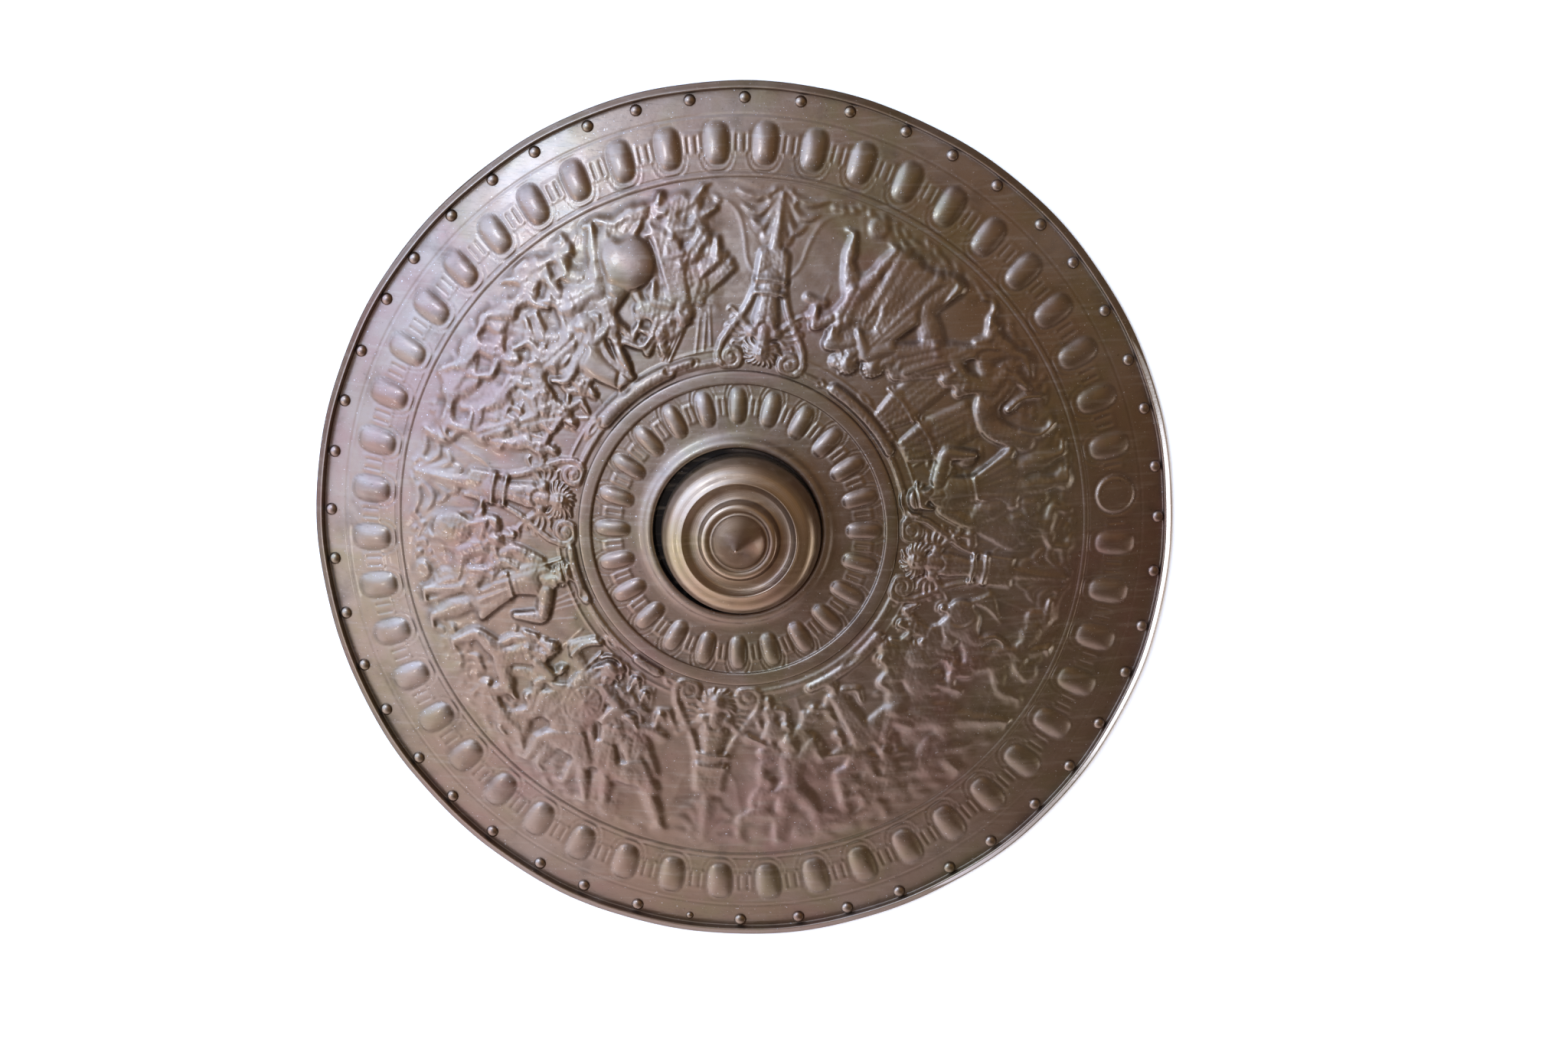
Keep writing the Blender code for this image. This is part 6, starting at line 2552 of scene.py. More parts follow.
@dataclass
class Plate:
    """The dished plate: its figured band, both rings of eggs, its rim, its back and the recess for the boss.

    Attributes:
        dish: Its dished form.
        finish: Its finish.
        band_inner: Inner edge of the figured band.
        band_outer: Outer edge of the figured band.
        columns: Cells round the figured band.
        rows: Cells across the figured band.
        collar: Radius of the collar's inner wall.
        collar_height: Height of the collar's lip over the dish.
        ledge: Height of the ledge that the boss stands on.
        ledge_width: Width of that ledge.
        border_outer: Outer edge of the border of eggs.
        lip_height: Height of the rolled rim.
        back_columns: Cells round the back.
        pieces: The finished pieces.
    """

    dish: Dish
    finish: Bronze
    band_inner: float = 104.0
    band_outer: float = 221.0
    columns: int = 1600
    rows: int = 196
    collar: float = 54.3
    collar_height: float = 3.2
    ledge: float = 63.08
    ledge_width: float = 10.5
    border_outer: float = 264.0
    lip_height: float = 4.5
    back_columns: int = 480
    pieces: list[bpy.types.Object] = field(default_factory=list)

    def build(self) -> None:
        """Builds every piece of the plate."""
        material = self.finish.build()
        canvas = Canvas(self.band_inner, self.band_outer, self.columns, self.rows)
        Composition(canvas).carve()
        self._band(canvas, material)
        self.pieces.append(OuterEggs(self.dish, self.band_outer, self.border_outer).build(material))
        self.pieces.append(InnerEggs(self.dish, self.collar, self.band_inner).build(material))
        self._rim(material)
        self._back(canvas, material)
        self._recess(material)
        for piece in self.pieces:
            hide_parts(PLATE)
            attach(piece, BODY)
            LOG.info("%s: %d faces", piece.name, len(piece.data.polygons))

    def _band(self, canvas: Canvas, material: bpy.types.Material) -> None:
        """Meshes the figured band in four parts that meet without a seam.

        Args:
            canvas: The carved band.
            material: The plate's material.
        """
        level = self.dish.front(canvas.radius)[:, None] + canvas.z
        sheet = self.dish.bend(Sheet(canvas.x, canvas.y, level, worn(canvas.z, 2)))
        quarter = self.columns // 4
        for i in range(4):
            mesh = sheet.mesh(f"figured_band_{i + 1}", i * quarter, (i + 1) * quarter)
            self.pieces.append(link(f"figured_band_{i + 1}", mesh, material))

    def _rim(self, material: bpy.types.Material) -> None:
        """Meshes the riveted border and the rolled rim, which isn't quite round, with a painted reflection on
        the right-hand side of the lip.
        """
        dish = self.dish
        foot, radius, lip = dish.lip_foot, dish.radius, self.lip_height
        stations = np.linspace(self.border_outer, foot - 0.8, 8)
        border = [(r, float(dish.front(np.array(r)))) for r in stations]
        base = dish.drop
        crown = [
            (foot, base + 0.25), (foot + 0.45, base + 2.2), (foot + 0.9, base + 3.9),
            (foot + 1.4, base + lip - 0.1), (foot + 1.9, base + lip), (foot + 2.4, base + lip - 0.35),
            (foot + 3.6, base + lip - 2.05), (foot + 4.8, base + lip - 3.8), (radius, base + 0.1),
            (radius, 0.9), (radius - 0.6, 0.0), (foot + 1.5, 0.0), (foot, 0.0),
        ]
        sheet = turned(border + crown, 960)
        distance = np.hypot(sheet.x, sheet.y)
        bearing = np.degrees(np.arctan2(sheet.x, sheet.y))
        share = smooth(self.border_outer, foot, distance)
        wander = np.zeros_like(bearing)
        for reach, waves, phase in ((0.5, 2, 40), (0.35, 5, 150), (0.22, 11, 0), (0.16, 23, 70)):
            wander += reach * np.sin(np.radians(waves * bearing + phase))
        above = smooth(0.0, 1.0, sheet.z)
        factor = 1 + wander * share * above / distance
        sheet.x, sheet.y = sheet.x * factor, sheet.y * factor
        sheet.z += 0.18 * ripple(sheet.x, sheet.y, 30.0, 5) * share * above
        rows = np.arange(len(sheet.z))[:, None]
        sheet.wear = np.interp(rows, (0, 6, 8, 10, 12, 14, 20), (0, 0, -0.5, 0, 0.6, 0, 0)) + 0 * sheet.z
        # Painted reflection: from about 60 to 155 degrees the outer slope of the lip is set past 1, which
        # paints it bright metal as the reflection of the white floor beside it.
        painted_rim_reflection = smooth(58.0, 72.0, bearing) * smooth(160.0, 148.0, bearing)
        sheet.wear += painted_rim_reflection * np.interp(rows, (12, 13, 14, 15, 16), (0.0, 1.9, 1.9, 1.3, 0.0))
        self.pieces.append(link("rim", self.dish.bend(sheet).mesh("rim"), material))

    def _back(self, canvas: Canvas, material: bpy.types.Material) -> None:
        """Meshes the hollow back, where the embossing shows softly in reverse.

        Args:
            canvas: The carved band.
            material: The plate's material.
        """
        count = self.back_columns
        start = self.collar + self.dish.wall
        radii = np.concatenate((
            np.linspace(start, self.band_inner, 10)[:-1],
            np.linspace(self.band_inner, self.band_outer, 34),
            np.linspace(self.band_outer, self.dish.lip_foot, 14)[1:],
        ))
        sheet = turned([(r, float(self.dish.back(np.array(r)))) for r in radii], count, -0.15, False)
        low = blurred(spread(canvas.z, 3, np.minimum), 2)
        columns = (np.arange(count) * self.columns / count).astype(int)
        for i, r in enumerate(radii):
            if self.band_inner < r < self.band_outer:
                row = int(np.argmin(np.abs(canvas.radius - r)))
                sheet.z[i] += 0.8 * np.maximum(low[row, columns], 0.0)
        bearing = np.degrees(np.arctan2(sheet.x, sheet.y))
        distance = np.hypot(sheet.x, sheet.y)
        for pitch, first, middle, half in ((7.5, 3.6, 243.0, 11.0), (15.0, 0.0, 81.5, 10.0)):
            off = (bearing - first + pitch / 2) % pitch - pitch / 2
            across = np.radians(off) * distance
            form = 1 - (across / (half * 0.6)) ** 2 - ((distance - middle) / half) ** 2
            sheet.z += 2.0 * np.sqrt(np.maximum(form, 0.0))
        sheet.z += 0.12 * ripple(sheet.x, sheet.y, 16.0, 8)
        sheet.z[-1] = self.dish.back(radii[-1])
        self.pieces.append(link("back", self.dish.bend(sheet).mesh("back"), material))

    def _recess(self, material: bpy.types.Material) -> None:
        """Meshes the recess that the boss stands in, painted pitch dark as the shade in the gap round the
        boss.
        """
        collar, ledge, wall = self.collar, self.ledge, self.dish.wall
        top = float(self.dish.front(np.array(collar))) + self.collar_height
        hole = collar - self.ledge_width
        below = float(self.dish.back(np.array(collar + wall)))
        profile = [
            (collar + wall, below), (collar + wall, ledge - wall), (hole, ledge - wall), (hole, ledge),
            (collar - 0.8, ledge), (collar - 0.1, ledge + 0.5), (collar, ledge + 1.4), (collar, top - 0.6),
            (collar + 0.35, top - 0.1),
        ]
        creased = [p for a, b in zip(profile, profile[1:]) for p in (a, mix(a, b, 0.04), mix(a, b, 0.96))]
        # Painted shade: the value -1.7 paints the recess pitch dark as the shadow in the gap round the boss.
        sheet = turned([*creased, profile[-1]], 144, -1.7)
        bearing = np.degrees(np.arctan2(sheet.x, sheet.y))
        # Painted shade: pitch dark from the bottom round by the left to the top, and less dark on the
        # right-hand side.
        sheet.wear += 0.5 * smooth(-25.0, 5.0, bearing) + 0.5 * smooth(-150.0, -175.0, bearing)
        self.pieces.append(link("recess", sheet.mesh("recess"), material))


class Ring:
    """A ring of repeated units that a Geometry Nodes tree turns round the shield's axis.

    Attributes:
        name: Name of the piece.
        count: Units in the ring.
        first: Bearing of the first unit.
        other_index: Which unit is of the other kind, -1 for none.
        dish: The plate's form.
    """

    name = "ring"
    count = 48
    first = 0.0
    other_index = -1
    MERGE = 0.00003
    dish: Dish

    def unit(self, special: bool) -> bpy.types.Mesh:
        """Mesh of one unit, with its middle at the top of the shield."""
        raise NotImplementedError

    def unit_mesh(self, radius: Field, columns: Field, special: bool) -> bpy.types.Mesh:
        """Meshes one unit.

        Args:
            radius: Radii of its rows.
            columns: Places of its columns on one side, from 0 in its middle to 1 at its edge.
            special: Whether it is of the other kind.

        Returns:
            The mesh.
        """
        share = np.concatenate((-columns[::-1], columns[1:]))
        angle = np.radians(share * 180.0 / self.count)
        radii = radius[:, None]
        x, y = radii * np.sin(angle), radii * np.cos(angle)
        relief = self.relief(x, radii + 0 * x, share[None, :] + 0 * x, special)
        level = self.dish.front(radius)[:, None] + relief
        sheet = Sheet(x, y, level, worn(relief, 1, False), False)
        return sheet.mesh(self.name + ("_other" if special else "_unit"), exact=False)

    def relief(self, x: Field, radius: Field, share: Field, special: bool) -> Field:
        """Finds the height of the ornament over the plate.

        Args:
            x: Distance from the unit's middle line.
            radius: Distance from the shield's axis.
            share: Place between the unit's middle and its edge, from -1 to 1.
            special: Whether the unit is of the other kind.

        Returns:
            The height.
        """
        raise NotImplementedError

    def _tree(self, material: bpy.types.Material) -> bpy.types.NodeTree:
        """Node tree that repeats the unit, with another one at a chosen place."""
        kinds = {"Other Unit": "Object", "Count": "Int", "Other Index": "Int", "First": "Float"}
        g, source = open_tree(f"{self.name}_repeat", kinds)
        points = g.node("GeometryNodePoints", source["Count"])
        index = g.node("GeometryNodeInputIndex")
        bearing = index * (360.0 / self.count) + source["First"]
        turn = g.node("CombineXYZ", 0.0, 0.0, bearing * (-pi / 180))
        is_other = same_index(index, source["Other Index"])
        is_usual = g.node("FunctionNodeBooleanMath", is_other, operation="NOT")
        other = g.node("GeometryNodeObjectInfo", source["Other Unit"]).out("Geometry")
        usual = g.node("GeometryNodeInstanceOnPoints", points, is_usual, source["Geometry"], rotation=turn)
        odd = g.node("GeometryNodeInstanceOnPoints", points, is_other, other, rotation=turn)
        joined = g.node("GeometryNodeJoinGeometry")
        for part in (usual, odd):
            g.tree.links.new(part.socket, joined.owner.inputs[0])
        real = g.node("GeometryNodeRealizeInstances", joined)
        return close_tree(g.node("GeometryNodeMergeByDistance", real, distance=self.MERGE), material)

    def build(self, material: bpy.types.Material) -> bpy.types.Object:
        """Builds the ring as one object.

        Args:
            material: Its material.

        Returns:
            The finished object.
        """
        piece = link(self.name, self.unit(False), material)
        other = link(f"{self.name}_other", self.unit(True), material)
        values = {
            "Other Unit": other, "Count": self.count, "Other Index": self.other_index, "First": self.first,
        }
        settled = settle(piece, self._tree(material), values)
        settled.shade_smooth()
        self.dish.bend_mesh(settled)
        bpy.data.objects.remove(other)
        return piece


@dataclass
class OuterEggs(Ring):
    """The border of eggs between the double fillet and the rivets, one of them replaced by a medallion.

    Attributes:
        dish: The plate's form.
        inner: Inner edge of the border.
        outer: Outer edge of the border.
        egg_radius: Radius of the circle on which the eggs lie.
        egg_long: Half-length of an egg.
        egg_half: Half-width of an egg.
        egg_height: Height of an egg.
    """

    dish: Dish
    inner: float
    outer: float
    egg_radius: float = 243.0
    egg_long: float = 12.6
    egg_half: float = 7.9
    egg_height: float = 3.2
    name = "egg_border"
    count = 48
    first = 3.6
    other_index = 11

    def unit(self, special: bool) -> bpy.types.Mesh:
        """Mesh of one egg with half of the panel on each side, or of the round medallion."""
        columns = np.concatenate((
            np.linspace(0, 0.24, 5), np.linspace(0.30, 0.70, 6), np.linspace(0.76, 1.0, 5),
        ))
        radius = np.concatenate((
            np.linspace(self.inner, self.inner + 7, 11)[:-1],
            np.linspace(self.inner + 7, self.outer - 6, 30)[:-1],
            np.linspace(self.outer - 6, self.outer, 9),
        ))
        return self.unit_mesh(radius, columns, special)

    def relief(self, x: Field, radius: Field, share: Field, special: bool) -> Field:
        """Finds the height of the ornament over the plate, as the ring says."""
        off = radius - self.inner
        fillets = 0.45 * bell(off - 2.9, 1.7) - 0.45 * bell(off - 0.9, 0.5) - 0.45 * bell(off - 4.9, 0.5)
        groove = 0.12 * bell(radius - (self.outer - 5.4), 0.8) - 0.4 * bell(radius - (self.outer - 4.2), 0.5)
        v = radius - self.egg_radius
        if special:
            distance = np.hypot(x, v)
            disc = 0.9 * smooth(12.6, 11.6, distance) + 0.5 * bell(distance - 10.4, 0.6)
            disc += 0.8 * np.sqrt(np.maximum(1 - (distance / 12) ** 2, 0)) - 0.5 * bell(distance - 13.4, 0.6)
            return fillets + groove + disc
        swell = self.egg_half * (1 + 0.03 * v / self.egg_long)
        distance = (np.abs(x / swell) ** 2.7 + np.abs(v / self.egg_long) ** 3.1) ** (1 / 2.9)
        egg = self.egg_height * np.maximum(1 - distance**2.2, 0) ** 0.78
        egg -= 0.14 * bell((distance - 1.06) * self.egg_half, 0.8)
        inner_end = v < -0.42 * self.egg_long
        scallop = np.where(inner_end, (distance - 1.0) * self.egg_half - 3.0, 99.0)
        straight = np.where(distance > 1.45, v + 0.66 * self.egg_long, 99.0)
        line = np.minimum(np.abs(scallop), np.abs(straight))
        frame = 0.20 * bell(line - 1.0, 0.7) - 0.30 * bell(line, 0.5)
        edge = (1 - np.abs(share)) * radius * pi / self.count
        inside = smooth(-7.2, -6.4, v) * smooth(8.6, 7.8, v)
        bars = 0.30 * smooth(6.4, 5.7, edge) * inside
        bars -= 0.60 * bell(edge - 2.7, 0.7) * smooth(-5.4, -4.6, v) * smooth(5.6, 4.8, v)
        ends = -0.22 * (bell(v + 6.6, 0.5) + bell(v - 8.0, 0.5)) * smooth(6.4, 5.7, edge)
        return fillets + groove + np.maximum(egg, -0.5) + frame + bars + ends


@dataclass
class InnerEggs(Ring):
    """The collar round the boss, its ring of small eggs and the flat ring outside them.

    Attributes:
        dish: The plate's form.
        inner: Radius of the collar's inner wall.
        outer: Outer edge of the flat ring.
        egg_radius: Radius of the circle on which the eggs lie.
        egg_long: Half-length of an egg.
        egg_half: Half-width of an egg.
        egg_height: Height of an egg.
    """

    dish: Dish
    inner: float
    outer: float
    egg_radius: float = 81.5
    egg_long: float = 11.4
    egg_half: float = 5.7
    egg_height: float = 3.0
    name = "egg_collar"
    count = 24
    first = 0.0

    COLLAR = (
        (0.35, 0.8, 1.6, 2.6, 3.9, 5.0, 5.8, 6.5, 7.3, 8.5, 10.2, 12.4),
        (2.6, 3.1, 3.55, 3.75, 3.65, 3.2, 2.65, 2.05, 1.35, 0.65, 0.2, 0.0),
    )
    FLAT_RING = (
        (0.0, 0.3, 0.7, 1.2, 3.0, 7.8, 8.4, 8.9, 9.3),
        (0.0, 0.5, 1.5, 1.85, 2.05, 1.9, 1.6, 0.7, 0.0),
    )

    def unit(self, special: bool) -> bpy.types.Mesh:
        """Mesh of one small egg with its share of the collar and the flat ring."""
        columns = np.concatenate((
            np.linspace(0, 0.25, 5), np.linspace(0.31, 0.75, 7), np.linspace(0.80, 1.0, 4),
        ))
        collar = (0.35, 0.8, 1.6, 2.6, 3.9, 5.0, 5.8, 6.5, 7.3, 8.5, 10.2, 11.2, 11.8, 12.4, 13.4)
        ring = (10.0, 9.3, 8.9, 8.4, 7.8, 7.0, 5.0, 3.0, 1.8, 1.2, 0.7, 0.3, 0.0)
        radius = np.concatenate((
            np.array(collar) + self.inner,
            np.linspace(self.inner + 14.4, self.outer - 11.0, 25),
            self.outer - np.array(ring),
        ))
        return self.unit_mesh(radius, columns, special)

    def relief(self, x: Field, radius: Field, share: Field, special: bool) -> Field:
        """Finds the height of the ornament over the plate, as the ring says."""
        off, inwards = radius - self.inner, self.outer - radius
        collar, flat = np.interp(off, *self.COLLAR), np.interp(inwards, *self.FLAT_RING)
        v = radius - self.egg_radius
        distance = (np.abs(x / self.egg_half) ** 2.5 + np.abs(v / self.egg_long) ** 2.8) ** (1 / 2.6)
        egg = self.egg_height * np.maximum(1 - distance**2.2, 0) ** 0.75
        egg -= 0.14 * bell((distance - 1.08) * self.egg_half, 0.7)
        outer_end = v > 0.30 * self.egg_long
        scallop = np.where(outer_end, (distance - 1.0) * self.egg_half - 2.4, 99.0)
        straight = np.where(distance > 1.5, v - 0.62 * self.egg_long, 99.0)
        line = np.minimum(np.abs(scallop), np.abs(straight))
        frame = 0.30 * bell(line - 0.9, 0.6) - 0.45 * bell(line, 0.45)
        edge = (1 - np.abs(share)) * radius * pi / self.count
        inside = smooth(-7.0, -6.2, v) * smooth(6.0, 5.2, v)
        bars = 0.5 * smooth(3.6, 3.0, edge) * inside
        bars -= 0.6 * bell(edge, 0.55) * smooth(-5.4, -4.6, v) * smooth(4.6, 3.8, v)
        near = (off > 12.0) & (inwards > 9.0)
        return collar + flat + np.where(near, np.maximum(egg, -0.5) + frame + bars, 0.0)


@dataclass
class Boss:
    """The turned boss with its spike.

    Attributes:
        finish: Its finish.
        low: Lowest corner of its box, in millimetres.
        high: Highest corner of its box, in millimetres.
        wall: Thickness of its wall.
        skirt: Height of its upright foot.
        shoulder_radius: Radius of the top of its shoulder.
        shoulder_rise: Height of its shoulder over the foot.
        saucer_sink: Depth of the dished ring inside the shoulder.
        bead_radius: Outer radius of the bead round the spike.
        bead_rise: Height of the spike's foot over the shoulder.
        spike_radius: Radius of the spike's foot.
    """

    finish: Bronze
    low: tuple[float, float, float]
    high: tuple[float, float, float]
    wall: float = 1.8
    skirt: float = 10.0
    shoulder_radius: float = 37.8
    shoulder_rise: float = 24.0
    saucer_sink: float = 3.4
    bead_radius: float = 26.0
    bead_rise: float = 5.5
    spike_radius: float = 17.4

    def profile(self) -> list[Point]:
        """Section from the spike's tip down the outside and back up inside."""
        radius = (self.high[0] - self.low[0]) / 2
        shoulder = self.skirt + self.shoulder_rise
        crown = shoulder + self.bead_rise
        tall = self.high[2] - self.low[2]
        spike = [(0.0, tall), (0.45, tall - 0.12), (0.85, tall - 0.6), (1.2, tall - 1.5)]
        knots = ((0.84, 0.10), (0.60, 0.30), (0.34, 0.58), (0.12, 0.86), (0.0, 1.0))
        rise = tall - crown
        spike += bow([(1.2 + (self.spike_radius - 1.2) * s, crown + rise * r) for r, s in knots], 6)
        saucer = (self.bead_radius + self.shoulder_radius) / 2
        groove = crown - 0.9
        outside = spike + [(self.spike_radius + 0.35, groove), (self.spike_radius + 1.1, groove - 0.05)]
        outside += arc((self.spike_radius + 4.3, groove - 1.5), (3.0, 2.6), 150, 10, 8)
        hollow = (
            (self.bead_radius + 0.1, shoulder - 1.2), (self.bead_radius + 1.2, shoulder - 2.6),
            (saucer, shoulder - self.saucer_sink), (self.shoulder_radius - 3.2, shoulder - 2.1),
            (self.shoulder_radius - 1.2, shoulder - 0.3),
        )
        outside += bow(hollow, 4)
        outside += arc((self.shoulder_radius - 0.6, shoulder - 0.9), (0.95, 0.95), 110, 20, 4)
        across = radius - self.shoulder_radius
        outside += [
            (self.shoulder_radius + across * x**0.72, self.skirt + (self.shoulder_rise - 1.4) * y)
            for x, y in directions(np.linspace(82, 0, 16))
        ]
        outside += [(radius, 1.0), (radius - 0.2, 0.3), (radius - 0.6, 0.0)]
        inside = [(radius - self.wall, 0.0)]
        inner_radii = across - self.wall, self.shoulder_rise - self.wall
        inside += arc((self.shoulder_radius, self.skirt), inner_radii, 0, 90, 7)
        inside += [
            (saucer, shoulder - self.saucer_sink - self.wall),
            (self.spike_radius - self.wall, crown - self.wall),
            (self.spike_radius * 0.35, crown + rise * 0.45), (0.0, crown + rise * 0.8),
        ]
        return outside + inside

    def build(self) -> None:
        """Builds the boss."""
        material = self.finish.build()
        sheet = turned(self.profile(), 144)
        sheet.wear = np.clip(worn(sheet.z, 2) * 0.6, -0.5, 0.5)
        sheet.z += self.low[2] + 0.05 * ripple(sheet.x, sheet.y, 18.0, 3) * (sheet.z > 1.5)
        sheet.x += (self.low[0] + self.high[0]) / 2
        sheet.y += (self.low[1] + self.high[1]) / 2
        mesh = sheet.mesh("boss_turned", exact=False)
        weld(mesh)
        piece = link("boss_turned", mesh, material)
        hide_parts("boss")
        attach(piece, BODY)
        LOG.info("%s: %d faces", piece.name, len(piece.data.polygons))


@dataclass
class Rivets:
    """The border rivets, one of which has lost most of its head.

    Attributes:
        dish: The plate's form, which they sit on.
        finish: Their finish.
        nodes: The nodes that they stand for.
        inset: Distance of their circle from the plate's edge.
        head_radius: Radius of a head.
        head_height: Height of a head.
        shank: Radius of a shank.
        first: Bearing of the first rivet.
        wander: How far they stray from even spacing, in degrees.
        worn_index: Which one has lost most of its head.
        worn_share: Its size as a share of the others'.
    """

    dish: Dish
    finish: Bronze
    nodes: Sequence[str]
    inset: float = 10.0
    head_radius: float = 4.1
    head_height: float = 3.2
    shank: float = 1.5
    first: float = 0.2
    wander: float = 0.35
    worn_index: int = 25
    worn_share: float = 0.62

    def _head(self) -> bpy.types.Mesh:
        """Mesh of one rivet that stands on the plate at z = 0."""
        dome = arc((0.0, 0.15), (self.head_radius, self.head_height - 0.15), 90, 0, 7)
        tail = -self.dish.wall - 0.1
        shank = [(self.head_radius, -0.12), (self.shank, -0.15), (self.shank, tail)]
        button = [(2.5, tail - 0.1), (2.3, tail - 0.7), (1.2, tail - 1.0), (0.0, tail - 1.05)]
        mesh = turned(dome + shank + button, 16, 0.25).mesh("rivet_head", exact=False)
        weld(mesh)
        return mesh

    def _tree(self, material: bpy.types.Material) -> bpy.types.NodeTree:
        """Node tree that sets the rivets round the border."""
        kinds = {"Count": "Int", "Worn Index": "Int"}
        for name in ("Radius", "Stretch", "Level", "Tilt", "First", "Wander", "Worn Scale"):
            kinds[name] = "Float"
        g, source = open_tree("rivet_ring", kinds)
        index = g.node("GeometryNodeInputIndex")
        wave = g.node("Math", index * 2.4, operation="SINE")
        even = source["First"] + index * (360.0 / len(self.nodes))
        bearing = (even + wave * source["Wander"]) * (pi / 180)
        sine, cosine = g.node("Math", bearing, operation="SINE"), g.node("Math", bearing, operation="COSINE")
        radius = source["Radius"]
        place = g.node("CombineXYZ", sine * radius, cosine * radius * source["Stretch"], source["Level"])
        points = g.node("GeometryNodePoints", source["Count"], place)
        turn = g.node("CombineXYZ", source["Tilt"] * -1.0, 0.0, bearing * -1.0)
        is_worn = same_index(index, source["Worn Index"])
        size = 1.0 + is_worn * (source["Worn Scale"] - 1.0)
        scale = g.node("CombineXYZ", size, size, size)
        heads = g.node(
            "GeometryNodeInstanceOnPoints", points, None, source["Geometry"], rotation=turn, scale=scale
        )
        return close_tree(g.node("GeometryNodeRealizeInstances", heads), material)

    def build(self) -> None:
        """Builds all the rivets as one piece."""
        material = self.finish.build()
        piece = link("rivets", self._head(), material)
        radius = self.dish.radius - self.inset
        values = {
            "Count": len(self.nodes), "Worn Index": self.worn_index, "Radius": radius * MM,
            "Stretch": float(self.dish.stretch(np.array(radius))),
            "Level": float(self.dish.front(np.array(radius))) * MM, "Tilt": atan(self.dish.slope),
            "First": self.first, "Wander": self.wander, "Worn Scale": self.worn_share,
        }
        settle(piece, self._tree(material), values)
        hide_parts(*self.nodes)
        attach(piece, BODY)
        LOG.info("%s: %d faces", piece.name, len(piece.data.polygons))


@dataclass(frozen=True)
class Panel:
    """A soft light, aimed at the shield.

    Attributes:
        name: Its name.
        azimuth: Bearing it stands at.
        elevation: Its height over the floor in degrees.
        distance: Its distance in metres.
        size: Its width and height in metres.
        power: Its power in watts.
        colour: Its colour.
    """

    name: str
    azimuth: float
    elevation: float
    distance: float
    size: tuple[float, float]
    power: float
    colour: Colour = (1.0, 1.0, 1.0)

    def build(self) -> None:
        """Builds the light."""
        data = bpy.data.lights.new(self.name, "AREA")
        data.shape = "RECTANGLE"
        data.size, data.size_y = self.size
        data.energy = self.power
        data.color = self.colour
        lamp = bpy.data.objects.new(self.name, data)
        x, y = polar(self.azimuth, cos(radians(self.elevation)))
        away = Vector((x, y, sin(radians(self.elevation))))
        lamp.location = away * self.distance
        lamp.rotation_euler = away.to_track_quat("Z", "Y").to_euler()
        bpy.context.scene.collection.objects.link(lamp)


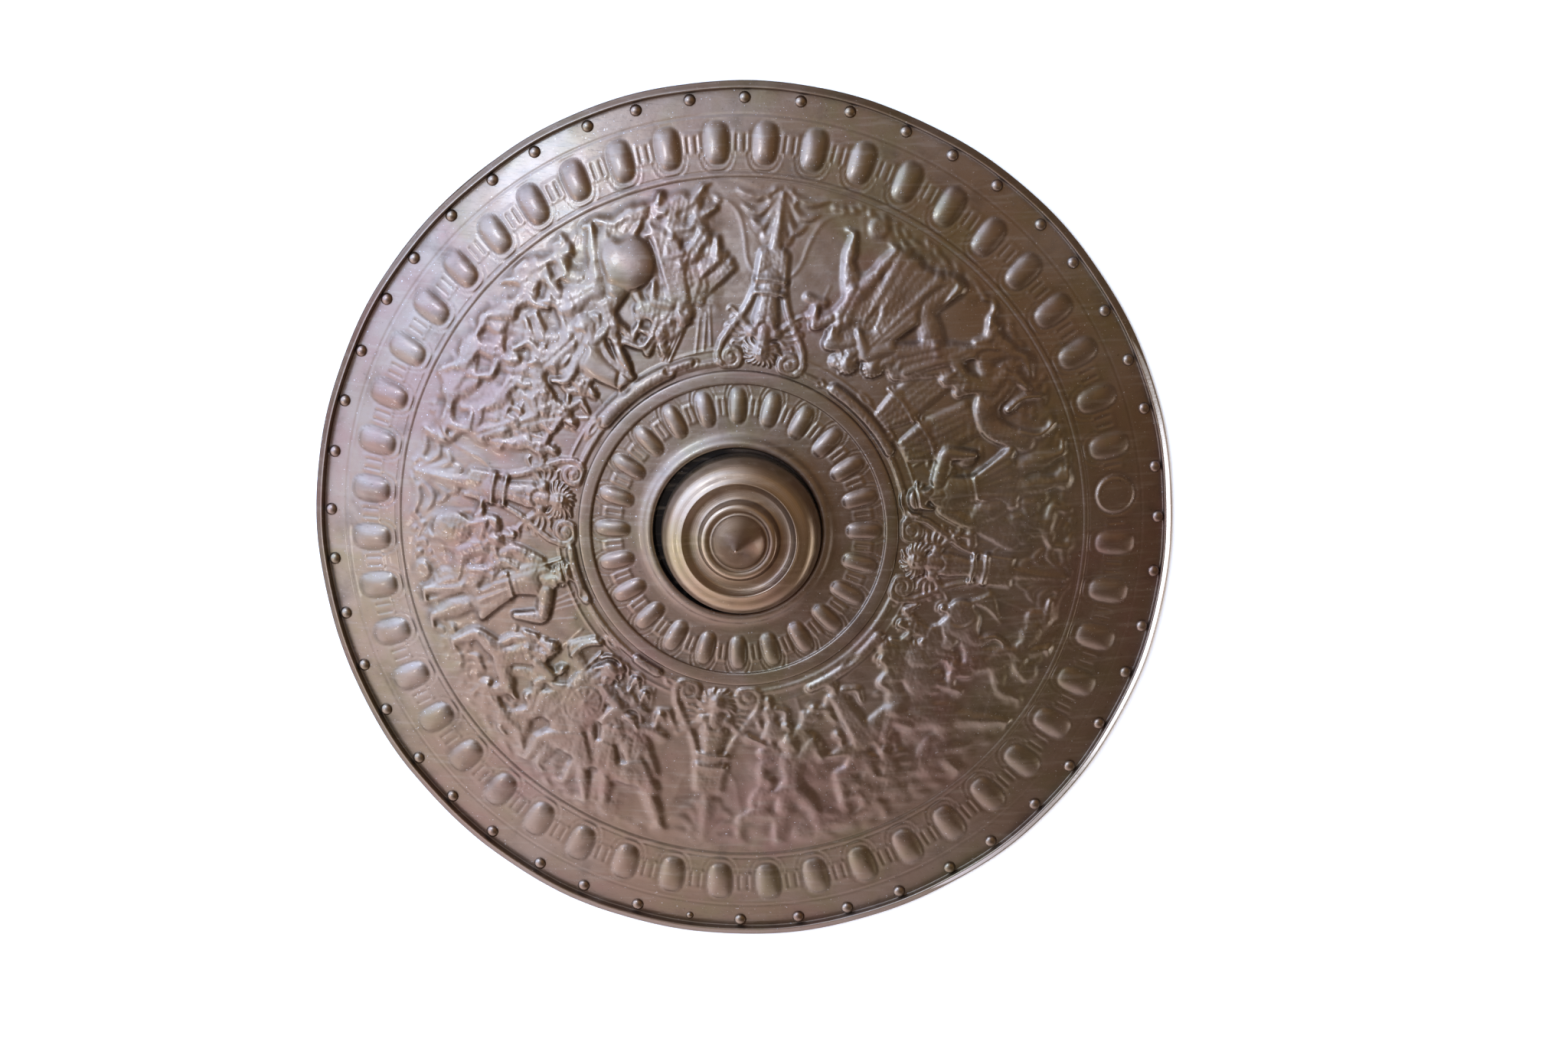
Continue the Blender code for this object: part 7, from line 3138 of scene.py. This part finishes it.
@dataclass(frozen=True)
class Studio:
    """Camera, floor and light.

    Attributes:
        radius: Radius of the shield in metres.
        lens: Focal length in millimetres.
        rim_pixels: Radius of the rim in the picture.
        rim_centre: Middle of the rim in the picture.
        lean: How far the camera stands to the right of and above the shield's axis, in degrees.
        picture: Width and height of the picture.
        sensor: Width of the camera's sensor in millimetres.
        paper: Half the width of the floor in metres.
        paper_drop: How far the floor lies under the rim, in metres.
        dim: Colour of the dim room.
    """

    radius: float
    lens: float = 200.0
    rim_pixels: float = 560.0
    rim_centre: Point = (971.5, 667.8)
    lean: Point = (3.3, 10.85)
    picture: Point = (2048.0, 1365.0)
    sensor: float = 36.0
    paper: float = 6.0
    paper_drop: float = 0.0002
    dim: Colour = (0.235, 0.172, 0.112)

    SQUARE = ((-1, -1), (1, -1), (1, 1), (-1, 1))

    def camera(self) -> None:
        """Sets the camera so that the rim lies where the picture shows it."""
        data = bpy.data.cameras.new("camera")
        data.lens = self.lens
        data.sensor_width = self.sensor
        data.sensor_fit = "HORIZONTAL"
        focal = self.lens / self.sensor * self.picture[0]
        distance = focal * self.radius / self.rim_pixels
        metres = self.radius / self.rim_pixels
        away = Vector((sin(radians(self.lean[0])), sin(radians(self.lean[1])), 0.0))
        away.z = sqrt(1 - away.x**2 - away.y**2)
        aim = Vector((
            (self.picture[0] / 2 - self.rim_centre[0]) * metres,
            (self.rim_centre[1] - self.picture[1] / 2) * metres / away.z,
            0.0,
        ))
        eye = away * distance
        back = (eye - aim).normalized()
        right = Vector((0.0, 1.0, 0.0)).cross(back).normalized()
        up = back.cross(right)
        camera = bpy.data.objects.new("camera", data)
        camera.matrix_world = Matrix.Translation(eye) @ Matrix((right, up, back)).transposed().to_4x4()
        bpy.context.scene.collection.objects.link(camera)
        bpy.context.scene.camera = camera

    def floor(self) -> None:
        """Lays a wide sheet of white paper under the shield."""
        mesh = bpy.data.meshes.new("floor")
        corners = [(x * self.paper, y * self.paper, -self.paper_drop) for x, y in self.SQUARE]
        mesh.from_pydata(corners, [], [(0, 1, 2, 3)])
        sheet = link("floor", mesh, Ground("paper").build())
        sheet.visible_glossy = False
        sheet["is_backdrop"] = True

    def light(self) -> None:
        """Sets the lights and the dim room round them."""
        world = bpy.data.worlds.new("room")
        bpy.context.scene.world = world
        world.use_nodes = True
        g = Graph(world.node_tree)
        direction = g.node("TexCoord").out("Generated")

        def facing(azimuth: float, elevation: float, low: float, high: float) -> Wire:
            """Share of a glow in each direction, from its middle and its reach."""
            x, y = polar(azimuth, cos(radians(elevation)))
            towards = (x, y, sin(radians(elevation)))
            near = g.node("VectorMath", direction, towards, operation="DOT_PRODUCT").out("Value")
            return near.over(low, high)

        above = g.node("SeparateXYZ", direction).out("Z").over(-0.50, 0.05)
        glows = (
            (facing(285.0, 5.0, -0.2, 1.0) * above, (1.66, 1.88, 2.42)),
            (facing(304.0, 30.0, 0.68, 1.0), (1.15, 2.2, 4.3)),
            (facing(200.0, 0.0, 0.38, 1.0), (1.20, 1.18, 1.40)),
            (facing(48.0, 50.0, 0.78, 1.0), (0.26, 0.18, 0.07)),
            (facing(112.0, -18.0, 0.86, 1.0), (2.3, 2.4, 2.6)),
        )
        channels = []
        for index, dim in enumerate(self.dim):
            channel = glows[0][0] * glows[0][1][index] + dim
            for glow, tint in glows[1:]:
                channel = channel + glow * tint[index]
            channels.append(channel)
        colour = g.node("CombineColor", *channels)
        ground = world.node_tree.nodes["Background"]
        ground.inputs["Strength"].default_value = 1.0
        world.node_tree.links.new(colour.socket, ground.inputs["Color"])
        for panel in (
            Panel("window", 318.0, 46.0, 2.2, (0.42, 0.42), 9.6, (0.66, 0.82, 1.0)),
            Panel("window_high", 352.0, 60.0, 2.4, (0.3, 0.3), 1.2, (0.90, 0.95, 1.0)),
            Panel("lamp", 250.0, 40.0, 2.2, (0.25, 0.25), 2.5, (1.0, 0.97, 0.95)),
        ):
            panel.build()

    def build(self) -> None:
        """Builds the whole studio."""
        scene = bpy.context.scene
        scene.view_settings.view_transform = "Standard"
        scene.view_settings.look = "None"
        self.camera()
        self.floor()
        self.light()


def corners(bounds: object) -> list[list[float]]:
    """Box corners as plain lists."""
    return [[float(value) for value in corner] for corner in bounds]


def main() -> None:
    """Builds the dressed buckler and its studio."""
    logging.basicConfig(level=logging.INFO, format="%(name)s: %(message)s")
    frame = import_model()
    cad_box = corners(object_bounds())
    low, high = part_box(PLATE)
    radius = (high[0] - low[0]) / 2
    dish = Dish(radius / MM)
    Plate(dish, Bronze("plate_bronze_worked")).build()
    boss_low, boss_high = (tuple(value / MM for value in corner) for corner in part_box("boss"))
    centre = (boss_low[0] + boss_high[0]) / 2 * MM, (boss_low[1] + boss_high[1]) / 2 * MM
    copper = Bronze(
        "boss_bronze_worked", (0.250, 0.155, 0.084), (0.090, 0.050, 0.030), (0.37, 0.26, 0.17),
        (0.27, 0.190, 0.130),
        (0.225, 0.170, 0.072), (0.255, 0.128, 0.098), (0.62, 0.50, 0.38), 0.36, 0.34, 0.00018, True, centre,
    )
    Boss(copper, boss_low, boss_high).build()
    rivet_nodes = sorted(name for name in frame["nodes"] if name.startswith("rivet_"))
    Rivets(dish, Bronze("rivet_bronze_worked", rough=0.32, grain=0.0002), rivet_nodes).build()
    Studio(radius).build()
    {"cad": cad_box, "visual": corners(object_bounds())}


if __name__ == "__main__":
    main()
